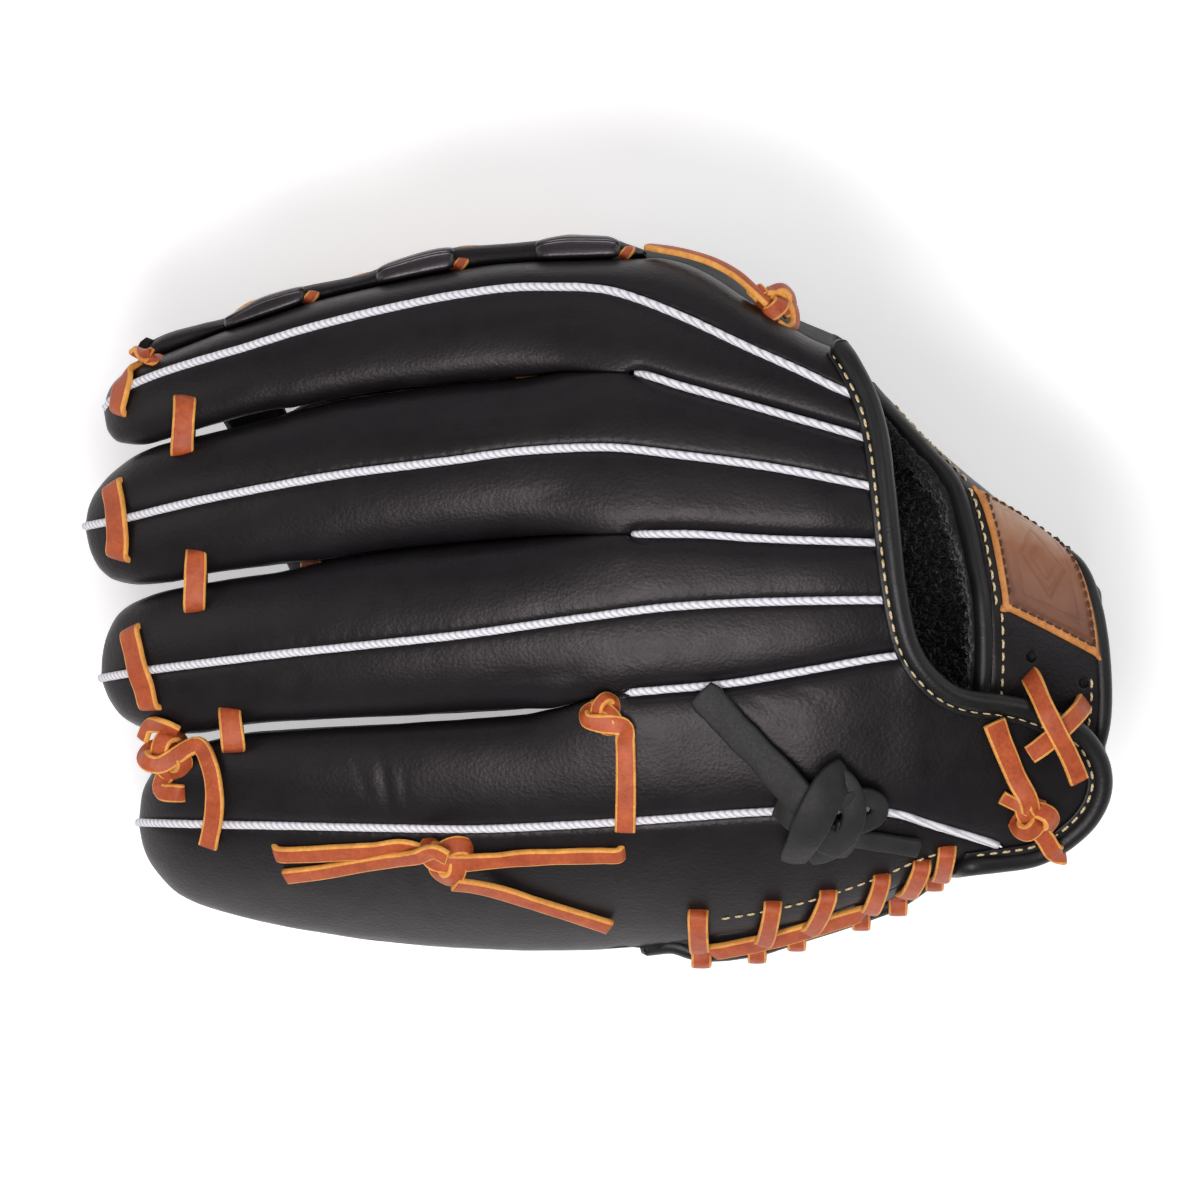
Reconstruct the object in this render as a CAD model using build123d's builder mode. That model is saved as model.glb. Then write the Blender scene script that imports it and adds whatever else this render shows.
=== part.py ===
from build123d import *
import math
import os

# Outfielder's baseball glove, worn on the left hand, lying closed on its thumb side.
# +X runs from the finger tips to the wrist, +Y from the little finger to the web,
# +Z out of the back of the hand. Millimetres.

# ------------------------------------------------------------------ driving dimensions
LEATHER = 2.6          # shell leather
LINING = 1.4           # lining leather
GAP = 0.4              # clearance between neighbouring pieces
WELT_W = 1.8           # welt in a seam
WELT_H = 4.2
LACE_W = 6.4           # quarter-inch lace
LACE_T = 1.9
BINDING_D = 6.4        # rolled binding
TIP_REACH = 16.0       # length over which a stall's tip rounds off
HAND_H = 14.0          # half depth of a stall where it joins the hand
HALF_GAP = 1.3         # half the slit between two stalls

os.makedirs("parts", exist_ok=True)


def curve(pts):
    """Monotone cubic through (x, y) points, flat outside them."""
    xs = [p[0] for p in pts]
    ys = [p[1] for p in pts]
    n = len(xs)
    d = [(ys[i + 1] - ys[i]) / (xs[i + 1] - xs[i]) for i in range(n - 1)]
    m = [0.0] * n
    m[0], m[-1] = d[0], d[-1]
    for i in range(1, n - 1):
        if d[i - 1] * d[i] > 0:
            w1 = 2 * (xs[i + 1] - xs[i]) + (xs[i] - xs[i - 1])
            w2 = (xs[i + 1] - xs[i]) + 2 * (xs[i] - xs[i - 1])
            m[i] = (w1 + w2) / (w1 / d[i - 1] + w2 / d[i])

    def f(x):
        if x <= xs[0]:
            return ys[0]
        if x >= xs[-1]:
            return ys[-1]
        lo = 0
        while xs[lo + 1] < x:
            lo += 1
        h = xs[lo + 1] - xs[lo]
        s = (x - xs[lo]) / h
        return (
            ys[lo] * (2 * s**3 - 3 * s**2 + 1)
            + h * m[lo] * (s**3 - 2 * s**2 + s)
            + ys[lo + 1] * (3 * s**2 - 2 * s**3)
            + h * m[lo + 1] * (s**3 - s**2)
        )

    return f


def smooth(a, b, x):
    t = min(1.0, max(0.0, (x - a) / (b - a)))
    return t * t * (3 - 2 * t)


# ------------------------------------------------------------------ plan of the back
SEAM = {
    "index": curve([(-149.7, 57.5), (-145, 62.5), (-139, 65.7), (-125.4, 70.5), (-108.6, 75.3), (-85.5, 82.2), (-60, 88.2), (-42, 91.6), (-21.6, 93.8), (-3, 93.6), (8.4, 91.0), (27.6, 83.4), (42, 76.5), (60.6, 68.1), (77.4, 60.0)]),
    "middle": curve([(-155.4, 22.2), (-142.8, 24.6), (-123.8, 29.1), (-100.8, 33.6), (-78, 37.5), (-42, 42.0), (-24, 44.4), (0.3, 45.6), (24.3, 43.2), (48.6, 40.0), (78, 34.5), (90, 32)]),
    "ring": curve([(-150.6, -23.6), (-139.1, -21.6), (-116.1, -18.6), (-93.2, -15.9), (-70.2, -13.5), (-42, -10.5), (-7.8, -5.7), (24.3, -1.8), (48.6, -0.6), (85.5, 0.0), (95, 0)]),
    "pinky": curve([(-139.5, -67.2), (-116.1, -67.6), (-93.2, -67.9), (-70.2, -68.3), (-42, -68.7), (-12, -67.5), (12, -66), (52.2, -63.2), (69, -62.6), (84.6, -63.3), (100.8, -67.8), (123.6, -74.5), (130, -76)]),
}
LINE = {
    "index_middle": curve([(-120, 51.2), (-96.3, 56.6), (-73.2, 61.3), (-42, 65.1), (-22.2, 66.8), (-9.3, 68.3), (9.9, 67.8), (24.3, 63.9), (40.5, 59.4), (56.4, 54.9), (77.4, 48.9), (85, 46.5)]),
    "middle_ring": curve([(-120, 6.2), (-90, 10.5), (-62.7, 15.0), (-42, 17.1), (-22.2, 18.7), (-11.7, 19.4), (3.3, 19.6), (24.3, 19.7), (48.6, 18.3), (82.5, 17.1), (90, 16.8)]),
    "ring_pinky": curve([(-120, -41.2), (-106.9, -38.7), (-85.5, -37.2), (-42, -34.8), (-15, -32.6), (1.8, -28.4), (16.2, -27), (36.3, -25.2), (60.3, -21.3), (89.4, -16.5), (95, -16)]),
}
TIP = {"index": -149.7, "middle": -155.4, "ring": -150.6, "pinky": -139.5}


def edge_between(tip_line, line, sign, x_from=-112.0):
    def f(x):
        if x < x_from:
            return tip_line(x)
        k = smooth(x_from, x_from + 14, x)
        return tip_line(x) * (1 - k) + (line(x) + sign * HALF_GAP) * k

    return f


TOP = {
    "index": curve([(-149.7, 57.5), (-148.8, 62), (-146, 66.5), (-140, 70.5), (-133.8, 73), (-113.1, 81), (-100.8, 85), (-85.5, 90), (-62.6, 95.3), (-42, 99.3), (-31.9, 100.8), (-7.8, 102.0), (16.2, 102.6), (24.3, 101.2), (32.4, 97.9), (44.4, 90), (56.4, 82.5), (64.5, 77.8), (72.6, 74.7), (78, 73)]),
    "middle": edge_between(curve([(-155.4, 22.2), (-154.4, 27.8), (-150.6, 34.5), (-145.2, 39.9), (-139, 44.1), (-131.4, 47.0), (-117, 50.2), (-96, 55.3)]), LINE["index_middle"], -1),
    "ring": edge_between(curve([(-150.6, -23.6), (-150.2, -17.1), (-148.2, -9.3), (-144.3, -3.3), (-137.4, 0.6), (-129, 3.3), (-117, 5.4), (-96, 8.4)]), LINE["middle_ring"], -1),
    "pinky": edge_between(curve([(-139.5, -67.2), (-138.5, -59.1), (-136.3, -54), (-132, -48.5), (-126, -44.8), (-118, -42.6), (-107, -40.2), (-96, -39)]), LINE["ring_pinky"], -1),
}
BOT = {
    "index": edge_between(curve([(-149.7, 57.5), (-148.6, 51.5), (-144.5, 47.6), (-138, 47.0), (-131.4, 48.3), (-117, 52.6), (-96, 58)]), LINE["index_middle"], 1),
    "middle": edge_between(curve([(-155.4, 22.2), (-153.8, 15.3), (-150.6, 9.3), (-146.7, 6.2), (-139, 4.7), (-129.9, 5.3), (-117, 8.1), (-96, 11)]), LINE["middle_ring"], 1),
    "ring": edge_between(curve([(-150.6, -23.6), (-148.4, -29.4), (-143.7, -35.4), (-136.8, -38.9), (-129, -40.5), (-120.6, -40.2), (-107, -37.6), (-96, -36.6)]), LINE["ring_pinky"], 1),
    "pinky": curve([(-139.5, -67.2), (-138.3, -74.4), (-133.8, -82.8), (-127.5, -89.1), (-116.1, -93.9), (-93.2, -99.3), (-70.2, -102.8), (-42, -105.4), (-12, -106.0), (10, -104.9), (28, -102.4), (45, -99.8), (60, -96.5), (80, -90), (100, -81.5), (112, -77.5), (125, -76.5)]),
}

# ------------------------------------------------------------------ heights of the back
CREST = curve([(-160, 76), (-150, 82), (-130, 94), (-100, 107), (-60, 119), (-20, 127), (20, 131), (60, 131), (90, 127), (120, 119), (155, 106)])
DEPTH = curve([(-160, 17), (-150, 19), (-120, 22.5), (-80, 25), (-20, 28), (15, 29)])


def arch(y):
    if y > 20:
        return 0.0034 * (y - 20) ** 2
    d = 0.0022 * (20 - y) ** 2
    if y < -50:
        d += 0.007 * (-50 - y) ** 2
    return d


def base(x, y):
    return CREST(x) - arch(y)


def tip_round(x, tip):
    if x >= tip + TIP_REACH:
        return 1.0
    u = (tip + TIP_REACH - x) / TIP_REACH
    return math.sqrt(max(0.0, 1 - u * u))


def pill(t, p=2.4):
    t = min(1.0, max(0.0, t))
    return (1 - t**p) ** (1 / p)


def half_depth(x):
    return min(HAND_H, DEPTH(x) / 2)


def groove(f, side, x):
    """How far the stall's edge falls, as a share of its half depth."""
    if f == "index" and side > 0:
        return 1.0
    if f == "pinky" and side < 0:
        return 1.0 - 0.62 * smooth(5, 35, x)
    return 1.0 - 0.86 * smooth(-32, 8, x)


def back_point(f, side, t, x):
    e = TOP[f](x) if side > 0 else BOT[f](x)
    y = SEAM[f](x) + t * (e - SEAM[f](x))
    z = base(x, y) - groove(f, side, x) * half_depth(x) * (1 - tip_round(x, TIP[f]) * pill(t))
    return y, z


def front_point(f, t, x):
    """t runs from -1 at the lower edge to 1 at the upper edge."""
    yc = (TOP[f](x) + BOT[f](x)) / 2
    hw = (TOP[f](x) - BOT[f](x)) / 2
    y = yc + t * hw
    z = base(x, y) - half_depth(x) * (1 + tip_round(x, TIP[f]) * pill(abs(t)))
    return y, z - GAP


def stall_centre(f, x):
    yc = (TOP[f](x) + BOT[f](x)) / 2
    return yc, base(x, yc) - half_depth(x)


def toward(p, c, d):
    """Point p moved a distance d towards c, never past a little over half way."""
    dy, dz = c[0] - p[0], c[1] - p[1]
    r = math.hypot(dy, dz)
    d = min(d, 0.62 * r)
    return (p[0] + dy * d / r, p[1] + dz * d / r)


def profile(x, points):
    """Closed straight-sided profile in the plane at x; points are (y, z)."""
    with BuildSketch(Plane(origin=(x, 0, 0), x_dir=(0, 1, 0), z_dir=(1, 0, 0))) as sk:
        with BuildLine():
            Polyline(*points, close=True)
        make_face()
    return sk.sketch.faces()[0]


def unit(v):
    n = math.sqrt(sum(c * c for c in v))
    return tuple(c / n for c in v)


def cross(a, b):
    return (a[1] * b[2] - a[2] * b[1], a[2] * b[0] - a[0] * b[2], a[0] * b[1] - a[1] * b[0])


def ribbon(points, ups, width, thick, bevel=0.0):
    """Rectangular profiles square to a route. ups gives the direction of the thickness."""
    out = []
    n = len(points)
    if not isinstance(ups, list):
        ups = [ups] * n
    for i, p in enumerate(points):
        a = points[max(0, i - 1)]
        b = points[min(n - 1, i + 1)]
        t = unit(tuple(b[k] - a[k] for k in range(3)))
        side = unit(cross(t, ups[i]))
        w = width[i] if isinstance(width, list) else width
        with BuildSketch(Plane(origin=p, x_dir=side, z_dir=t)) as sk:
            if bevel:
                h, v, c = w / 2, thick / 2, bevel
                with BuildLine():
                    Polyline((-h + c, -v), (h - c, -v), (h, -v + c), (h, v - c), (h - c, v), (-h + c, v), (-h, v - c), (-h, -v + c), close=True)
                make_face()
            else:
                Rectangle(w, thick)
        out.append(sk.sketch.faces()[0])
    return out


def stations(a, b, n):
    return [a + (b - a) * i / (n - 1) for i in range(n)]


def finish(part, name):
    part.part.label = name
    export_step(part.part, f"parts/{name}.step")


# ------------------------------------------------------------------ finger stalls: backs
FLAP_TOP = curve([(86, -17.2), (89, -18.2), (92, -20.5), (97.8, -28.0), (104, -33.0), (110, -35.2), (118, -36.2), (126, -37.8), (133.5, -41.4), (141, -45.2), (146, -50.5)])
FLAP_BOT = curve([(100.8, -67.8), (112, -71.2), (123.6, -73.4), (131, -71.8), (139, -67.0), (146, -60.0)])
BACK_END = {
    ("index", 1): 69.5, ("index", -1): 75.4,
    ("middle", 1): 79.0, ("middle", -1): 80.4,
    ("ring", 1): 82.2, ("ring", -1): 84.6,
    ("pinky", 1): 146.0, ("pinky", -1): 105.0,
}
MID_STATIONS = [-14, 4, 22, 40, 58]


def stall_stations(f):
    return [TIP[f] + 0.3, TIP[f] + 3.5, TIP[f] + 9, TIP[f] + 17] + stations(TIP[f] + 34, -32, 4) + MID_STATIONS


def back_profiles(f, side):
    xs = stall_stations(f)
    if (f, side) == ("pinky", 1):
        xs += [74, 86, 92, 98, 104, 112, 123.6, 133.5, 141]
    if (f, side) == ("pinky", -1):
        xs += [74, 86, 98]
    xs.append(BACK_END[f, side])
    out = []
    for x in xs:
        seam = SEAM[f](x)
        edge = TOP[f](x) if side > 0 else BOT[f](x)
        if (f, side) == ("pinky", 1) and x > 86:
            edge, seam = FLAP_TOP(x), (FLAP_BOT(x) if x > 100.8 else seam)
        w = abs(edge - seam)
        t0 = min(0.4, (WELT_W / 2 + GAP) / max(w, 2.0))
        outer = []
        for t in (t0, 0.38 if w > 8 else 0.55, 0.66, 0.87, 0.97, 1.0):
            y = seam + t * (edge - seam)
            z = base(x, y) - groove(f, side, x) * half_depth(x) * (1 - tip_round(x, TIP[f]) * pill(t))
            outer.append((y, z))
        yc, zc = stall_centre(f, x) if x < 60 else (seam, base(x, seam) - HAND_H)
        if abs(yc - seam) > 9:
            yc = seam
        if f == "pinky" and side < 0 and x > 20:
            y, z = outer[-1]
            outer[-1] = (y - 0.6, z - 12.0 * smooth(20, 45, x))
        if x > 60:
            inner = [(y, z - LEATHER) for y, z in outer]
            if f == "pinky" and side < 0:
                inner[-1] = (outer[-1][0] + LEATHER, outer[-1][1])
                inner[-2] = (outer[-2][0] + LEATHER, outer[-2][1] - LEATHER)
                inner[-3] = (min(outer[-3][0] + 1.6, outer[0][0] - 0.6), outer[-3][1] - LEATHER)
                inner[-4] = (min(outer[-4][0] + 0.8, outer[0][0] - 0.4), outer[-4][1] - LEATHER)
        else:
            inner = [toward(p, (yc, zc), LEATHER) for p in outer]
            inner[0] = (outer[0][0], inner[0][1])
            for i in range(1, 6):
                lim = outer[0][0] + side * 0.08 * i
                if side * (inner[i][0] - lim) < 0:
                    inner[i] = (lim, inner[i][1])
            inner[-1] = (inner[-1][0], max(inner[-1][1], outer[-1][1]))
        out.append(profile(x, outer + inner[::-1]))
    return out


with BuildPart() as index_back_upper:
    loft(sections=back_profiles("index", 1), ruled=True)
finish(index_back_upper, "index_back_upper")

with BuildPart() as index_back_lower:
    loft(sections=back_profiles("index", -1), ruled=True)
finish(index_back_lower, "index_back_lower")

with BuildPart() as middle_back_upper:
    loft(sections=back_profiles("middle", 1), ruled=True)
finish(middle_back_upper, "middle_back_upper")

with BuildPart() as middle_back_lower:
    loft(sections=back_profiles("middle", -1), ruled=True)
finish(middle_back_lower, "middle_back_lower")

with BuildPart() as ring_back_upper:
    loft(sections=back_profiles("ring", 1), ruled=True)
finish(ring_back_upper, "ring_back_upper")

with BuildPart() as ring_back_lower:
    loft(sections=back_profiles("ring", -1), ruled=True)
finish(ring_back_lower, "ring_back_lower")

with BuildPart() as pinky_back_upper:
    loft(sections=back_profiles("pinky", 1), ruled=True)
finish(pinky_back_upper, "pinky_back_upper")

with BuildPart() as pinky_back_lower:
    loft(sections=back_profiles("pinky", -1), ruled=True)
finish(pinky_back_lower, "pinky_back_lower")


# ------------------------------------------------------------------ finger stalls: fronts, linings
FRONT_T = (-1, -0.95, -0.8, -0.5, 0, 0.5, 0.8, 0.95, 1)


def front_profiles(f, depth0, depth1, xs, ts=FRONT_T):
    """Gutter-shaped profiles between two depths under the front surface of a stall."""
    out = []
    for x in xs:
        c = stall_centre(f, x)
        p = [front_point(f, t, x) for t in ts]
        outer = [toward(q, c, depth0) for q in p] if depth0 else p
        inner = [toward(q, c, depth1) for q in p]
        if ts[0] == -1:
            top = p[0][1], p[-1][1]
            outer[0], outer[-1] = (outer[0][0], top[0]), (outer[-1][0], top[1])
            inner[0], inner[-1] = (inner[0][0], top[0]), (inner[-1][0], top[1])
        out.append(profile(x, outer + inner[::-1]))
    return out


def front_stations(f, first, last=7.6):
    return [x for x in stall_stations(f) if x > TIP[f] + first and x < last - 4] + [last]


with BuildPart() as index_front:
    loft(sections=front_profiles("index", 0, LEATHER, front_stations("index", 1)), ruled=True)
finish(index_front, "index_front")

with BuildPart() as middle_front:
    loft(sections=front_profiles("middle", 0, LEATHER, front_stations("middle", 1)), ruled=True)
finish(middle_front, "middle_front")

with BuildPart() as ring_front:
    loft(sections=front_profiles("ring", 0, LEATHER, front_stations("ring", 1)), ruled=True)
finish(ring_front, "ring_front")

with BuildPart() as pinky_front:
    loft(sections=front_profiles("pinky", 0, LEATHER, front_stations("pinky", 1)), ruled=True)
finish(pinky_front, "pinky_front")

LINE_T = (-0.86, -0.7, -0.4, 0, 0.4, 0.7, 0.86)
with BuildPart() as finger_linings:
    for f in ("index", "middle", "ring", "pinky"):
        loft(sections=front_profiles(f, LEATHER + GAP, LEATHER + GAP + LINING, front_stations(f, 12, 4.0), LINE_T), ruled=True)
finish(finger_linings, "finger_linings")

with BuildPart() as pinky_stiffener:
    loft(sections=front_profiles("pinky", LEATHER + LINING + 2 * GAP, LEATHER + LINING + 2 * GAP + 3.0, front_stations("pinky", 20, -10.0), (-0.6, -0.3, 0, 0.3, 0.6)), ruled=True)
finish(pinky_stiffener, "pinky_stiffener")

# ------------------------------------------------------------------ palm, finger side
PALM = {
    8.2: [(-103.4, 62.4), (-68, 82), (-30, 95.4), (8, 100.5), (45, 98.6), (75, 91.6), (96, 88)],
    40: [(-101.0, 62.2), (-66, 76), (-30, 87), (8, 92), (42, 90), (68, 84), (84, 80)],
    65: [(-95.0, 62.2), (-62, 70), (-28, 77), (6, 80), (36, 78), (56, 73), (69, 68)],
    90: [(-86.8, 62.2), (-58, 62.5), (-28, 62), (2, 60), (26, 57), (42, 54), (54, 51)],
    108: [(-75.4, 62.2), (-54, 58), (-28, 53), (-1, 49), (18, 46.5), (34, 45), (44, 44)],
    146: [(-60.0, 66.0), (-45, 57), (-28, 49.5), (-10, 44), (2, 41.5), (10, 40.2), (14, 39.6)],
}


def palm_profiles(up0, up1, first=0, last=6, xs=None):
    keys = sorted(PALM)
    lines = [[curve([(k, PALM[k][i][j]) for k in keys]) for j in range(2)] for i in range(7)]
    out = []
    for x in xs:
        p = [(lines[i][0](x), lines[i][1](x)) for i in range(first, last + 1)]
        out.append(profile(x, [(y, z + up0) for y, z in p] + [(y, z + up1) for y, z in p[::-1]]))
    return out


with BuildPart() as palm_shell:
    loft(sections=palm_profiles(0, LEATHER, xs=[8.2, 24, 40, 52, 65, 78, 90, 108, 127, 146]), ruled=True)
finish(palm_shell, "palm_shell")

with BuildPart() as palm_felt_pad:
    loft(sections=palm_profiles(LEATHER + GAP, LEATHER + GAP + 4.0, 1, 5, xs=[12, 24, 40, 52, 65, 78, 90, 108, 132]), ruled=True)
finish(palm_felt_pad, "palm_felt_pad")

with BuildPart() as palm_lining:
    loft(sections=palm_profiles(LEATHER + 4.0 + 2 * GAP, LEATHER + 4.0 + 2 * GAP + LINING, 1, 5, xs=[12, 24, 40, 52, 65, 78, 90, 108, 140]), ruled=True)
finish(palm_lining, "palm_lining")

# wall between the index finger and the fold of the palm
INDEX_WALL = {
    14: [(103.6, 92), (105.0, 80), (104.6, 68)],
    30: [(100.4, 94.4), (102.2, 80), (101.8, 67)],
    45: [(90.6, 99), (93.4, 82), (93.0, 66)],
    58: [(82.4, 102.8), (84.8, 84), (84.4, 66)],
    69.5: [(77.2, 104.6), (79.6, 84), (79.0, 68)],
}
with BuildPart() as index_wall:
    loft(sections=[profile(x, p + [(y - LEATHER, z) for y, z in p[::-1]]) for x, p in sorted(INDEX_WALL.items())], ruled=True)
finish(index_wall, "index_wall")


# ------------------------------------------------------------------ welts
def welt_profiles(pts):
    return ribbon(pts, (0, 0, 1), WELT_W, WELT_H)


def seam_route(f, last):
    xs = [x for x in stall_stations(f) if x > TIP[f] + 3] + ([74, 86, 98] if f == "pinky" else []) + [last]
    xs = [x for x in xs if x <= last]
    return [(x, SEAM[f](x), base(x, SEAM[f](x)) - half_depth(x) * (1 - tip_round(x, TIP[f])) * groove(f, -1, x) + 0.7 - WELT_H / 2) for x in xs]


with BuildPart() as index_welt:
    loft(sections=welt_profiles(seam_route("index", 69.5)), ruled=True)
finish(index_welt, "index_welt")

with BuildPart() as middle_welt:
    loft(sections=welt_profiles(seam_route("middle", 79.0)), ruled=True)
finish(middle_welt, "middle_welt")

with BuildPart() as ring_welt:
    loft(sections=welt_profiles(seam_route("ring", 82.2)), ruled=True)
finish(ring_welt, "ring_welt")

with BuildPart() as pinky_welt:
    loft(sections=welt_profiles(seam_route("pinky", 105.0)), ruled=True)
finish(pinky_welt, "pinky_welt")


def line_route(name, last):
    xs = [10, 22, 40, 58, last]
    return [(x, LINE[name](x), base(x, LINE[name](x)) - groove("middle", 1, x) * HAND_H + 0.9 - WELT_H / 2) for x in xs]


with BuildPart() as gap_welts:
    loft(sections=welt_profiles(line_route("index_middle", 75.4)), ruled=True)
    loft(sections=welt_profiles(line_route("middle_ring", 80.4)), ruled=True)
    loft(sections=welt_profiles(line_route("ring_pinky", 84.6)), ruled=True)
finish(gap_welts, "gap_welts")

# ------------------------------------------------------------------ hand opening
OPENING = [(74.4, 71.4), (80.1, 60), (83.1, 48.9), (84.8, 36), (86.6, 18.9), (88.8, 1.2), (92.4, -14.0), (98.2, -22.9), (104.6, -28.0), (111, -30.2), (119, -31.2), (127, -32.8), (135.5, -36.0), (143.9, -40.0), (150, -49.2), (150.7, -57), (147.4, -65.0), (139.8, -72.4), (130.5, -77.2), (120, -78.8), (110.5, -79.6)]
with BuildPart() as opening_binding:
    loft(sections=ribbon([(x, y, base(x, y) - 0.6) for x, y in OPENING], (0, 0, 1), BINDING_D, BINDING_D, 1.8), ruled=True)
finish(opening_binding, "opening_binding")

LINING_TOP = 7.0
with BuildPart() as opening_lining:
    secs = []
    for x, y0, y1 in ((44, -14, 70), (58, -13, 68), (70, -12, 65), (79, -11, 50)):
        ys = [y0 + (y1 - y0) * i / 6 for i in range(7)]
        secs.append(profile(x, [(y, base(x, y) - LINING_TOP) for y in ys] + [(y, base(x, y) - LINING_TOP - 3.5) for y in ys[::-1]]))
    loft(sections=secs, ruled=True)
finish(opening_lining, "opening_lining")

HEEL = [(22, -103.8), (28, -105.6), (34, -106.2), (47, -104.6), (59, -101.0), (79, -94.6), (90, -90.2), (100, -83.4), (106, -79.4)]
with BuildPart() as heel_binding:
    loft(sections=ribbon([(x, y - 0.4, 64.0) for x, y in HEEL], (0, 0, 1), 5.6, 5.6, 1.5), ruled=True)
finish(heel_binding, "heel_binding")

with BuildPart() as heel_edge_binding:
    loft(sections=ribbon([(149.6, -60, 66.2), (150.2, -45, 58.3), (150.2, -28, 50.8), (150.0, -10, 45.2), (149.6, 2, 42.6), (149.2, 12, 41.0)], (1, 0, 0), 5.6, 5.6, 1.5), ruled=True)
finish(heel_edge_binding, "heel_edge_binding")

# ------------------------------------------------------------------ wrist strap
STRAP_IN = [(112, -44, 102.2), (114.8, -20, 105.2), (114.3, 0, 106), (112, 13, 104), (109.5, 24, 101), (106, 35, 96.5), (97, 46, 89), (88, 56, 80), (81, 64.5, 70)]
STRAP_OUT = [(146.6, -54, 88.5), (151.4, -38, 90.6), (151.6, -19, 91.6), (149.2, -2.4, 90.5), (144.4, 10, 87), (136, 16.4, 82), (121, 26.4, 76), (105.5, 38, 70.5), (92, 52, 66)]


def strap_frame(i):
    a, b = STRAP_IN[i], STRAP_OUT[i]
    mid = tuple((a[k] + b[k]) / 2 for k in range(3))
    j0, j1 = max(0, i - 1), min(len(STRAP_IN) - 1, i + 1)
    m0 = tuple((STRAP_IN[j0][k] + STRAP_OUT[j0][k]) / 2 for k in range(3))
    m1 = tuple((STRAP_IN[j1][k] + STRAP_OUT[j1][k]) / 2 for k in range(3))
    t = unit(tuple(m1[k] - m0[k] for k in range(3)))
    n = unit(cross(tuple(b[k] - a[k] for k in range(3)), t))
    return mid, t, n, math.dist(a, b)


def strap_ribbon(offset, thick, inset, first=0, last=8):
    mids, ups, ws = [], [], []
    for i in range(first, last + 1):
        mid, t, n, w = strap_frame(i)
        mids.append(tuple(mid[k] + n[k] * offset for k in range(3)))
        ups.append(n)
        ws.append(w - 2 * inset)
    return ribbon(mids, ups, ws, thick)


def strap_edge(which, inset, drop):
    pts = []
    for i in range(0, 9):
        mid, t, n, w = strap_frame(i)
        side = unit(cross(t, n))
        other = tuple(STRAP_OUT[i][k] - STRAP_IN[i][k] for k in range(3))
        s = 1 if sum(side[k] * other[k] for k in range(3)) > 0 else -1
        d = s * which * (w / 2 - inset)
        pts.append(tuple(mid[k] + side[k] * d + n[k] * drop for k in range(3)))
    return pts


with BuildPart() as strap_outer:
    loft(sections=strap_ribbon(0, LEATHER, 3.4), ruled=True)
finish(strap_outer, "strap_outer")

with BuildPart() as strap_lining:
    loft(sections=strap_ribbon(-LEATHER / 2 - GAP - 2.0, 4.0, 3.8), ruled=True)
finish(strap_lining, "strap_lining")

with BuildPart() as strap_binding:
    loft(sections=ribbon(strap_edge(-1, 0.3, -1.0), (0, 0, 1), 5.2, 5.6, 1.5), ruled=True)
    loft(sections=ribbon(strap_edge(1, 0.3, -1.0), (0, 0, 1), 5.2, 5.6, 1.5), ruled=True)
finish(strap_binding, "strap_binding")

with BuildPart() as strap_patch:
    loft(sections=strap_ribbon(LEATHER / 2 + GAP + 0.8, 1.6, 4.4, 2, 5), ruled=True)
finish(strap_patch, "strap_patch")

# ------------------------------------------------------------------ thumb side
THUMB_TIP = -98.0
THUMB_LOW = curve([(-98, 21), (-96, 12), (-92, 5), (-80, -4), (-60, -12), (-15, -26), (20, -34), (50, -38), (80, -34), (105, -22), (125, -4), (136, 10)])
THUMB_HIGH = curve([(-98, 23), (-96.5, 29), (-92, 35), (-80, 40), (-60, 44), (-30, 50), (0, 64), (20, 77), (45, 79), (60, 73), (75, 68), (90, 60), (105, 50), (125, 34), (136, 24)])
THUMB_MID = curve([(-98, 12), (-60, 13), (20, 14.5), (60, 15), (90, 17), (115, 22), (136, 29)])
THUMB_HALF = curve([(-98, 9), (-60, 12.2), (20, 13.5), (60, 13.5), (90, 12), (115, 10), (136, 6)])


def thumb_bottom(t, x):
    y0, y1 = THUMB_LOW(x), THUMB_HIGH(x)
    y = (y0 + y1) / 2 + t * (y1 - y0) / 2
    z = THUMB_MID(x) - 1.14 * THUMB_HALF(x) * pill(abs(t), 3.0) * tip_round(x, THUMB_TIP)
    return y, max(0.0, z)


def thumb_top(t, x):
    y0, y1 = THUMB_LOW(x), THUMB_HIGH(x)
    y = (y0 + y1) / 2 + t * (y1 - y0) / 2
    return y, THUMB_MID(x) + GAP + THUMB_HALF(x) * pill(abs(t), 2.6) * tip_round(x, THUMB_TIP)


THUMB_X = [-96.4, -93.5, -89, -81, -60, -37, -15, 6, 28, 50, 72, 90, 108, 124, 135]


def thumb_profiles(top, t_list, d0, d1, xs, level_ends=(True, True)):
    out = []
    for x in xs:
        c = ((THUMB_LOW(x) + THUMB_HIGH(x)) / 2, THUMB_MID(x))
        p = [(thumb_top if top else thumb_bottom)(t, x) for t in t_list]
        outer = [toward(q, (q[0] * 0.55 + c[0] * 0.45, c[1]), d0) for q in p] if d0 else p
        inner = [toward(q, (q[0] * 0.55 + c[0] * 0.45, c[1]), d1) if abs(q[1] - c[1]) > 1.5 else toward(q, c, d1) for q in p]
        if level_ends[0]:
            inner[0] = (inner[0][0], p[0][1])
        if level_ends[1]:
            inner[-1] = (inner[-1][0], p[-1][1])
        out.append(profile(x, outer + inner[::-1]))
    return out


THUMB_SEAM_T = -0.3
seam_gap = 0.05
with BuildPart() as thumb_back_outer:
    loft(sections=thumb_profiles(False, (-1, -0.97, -0.86, -0.66, -0.48, THUMB_SEAM_T - seam_gap), 0, LEATHER, THUMB_X, (True, False)), ruled=True)
finish(thumb_back_outer, "thumb_back_outer")

with BuildPart() as thumb_back_inner:
    loft(sections=thumb_profiles(False, (THUMB_SEAM_T + seam_gap, 0.3, 0.6, 0.85, 1), 0, LEATHER, THUMB_X, (False, True)), ruled=True)
finish(thumb_back_inner, "thumb_back_inner")

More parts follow.
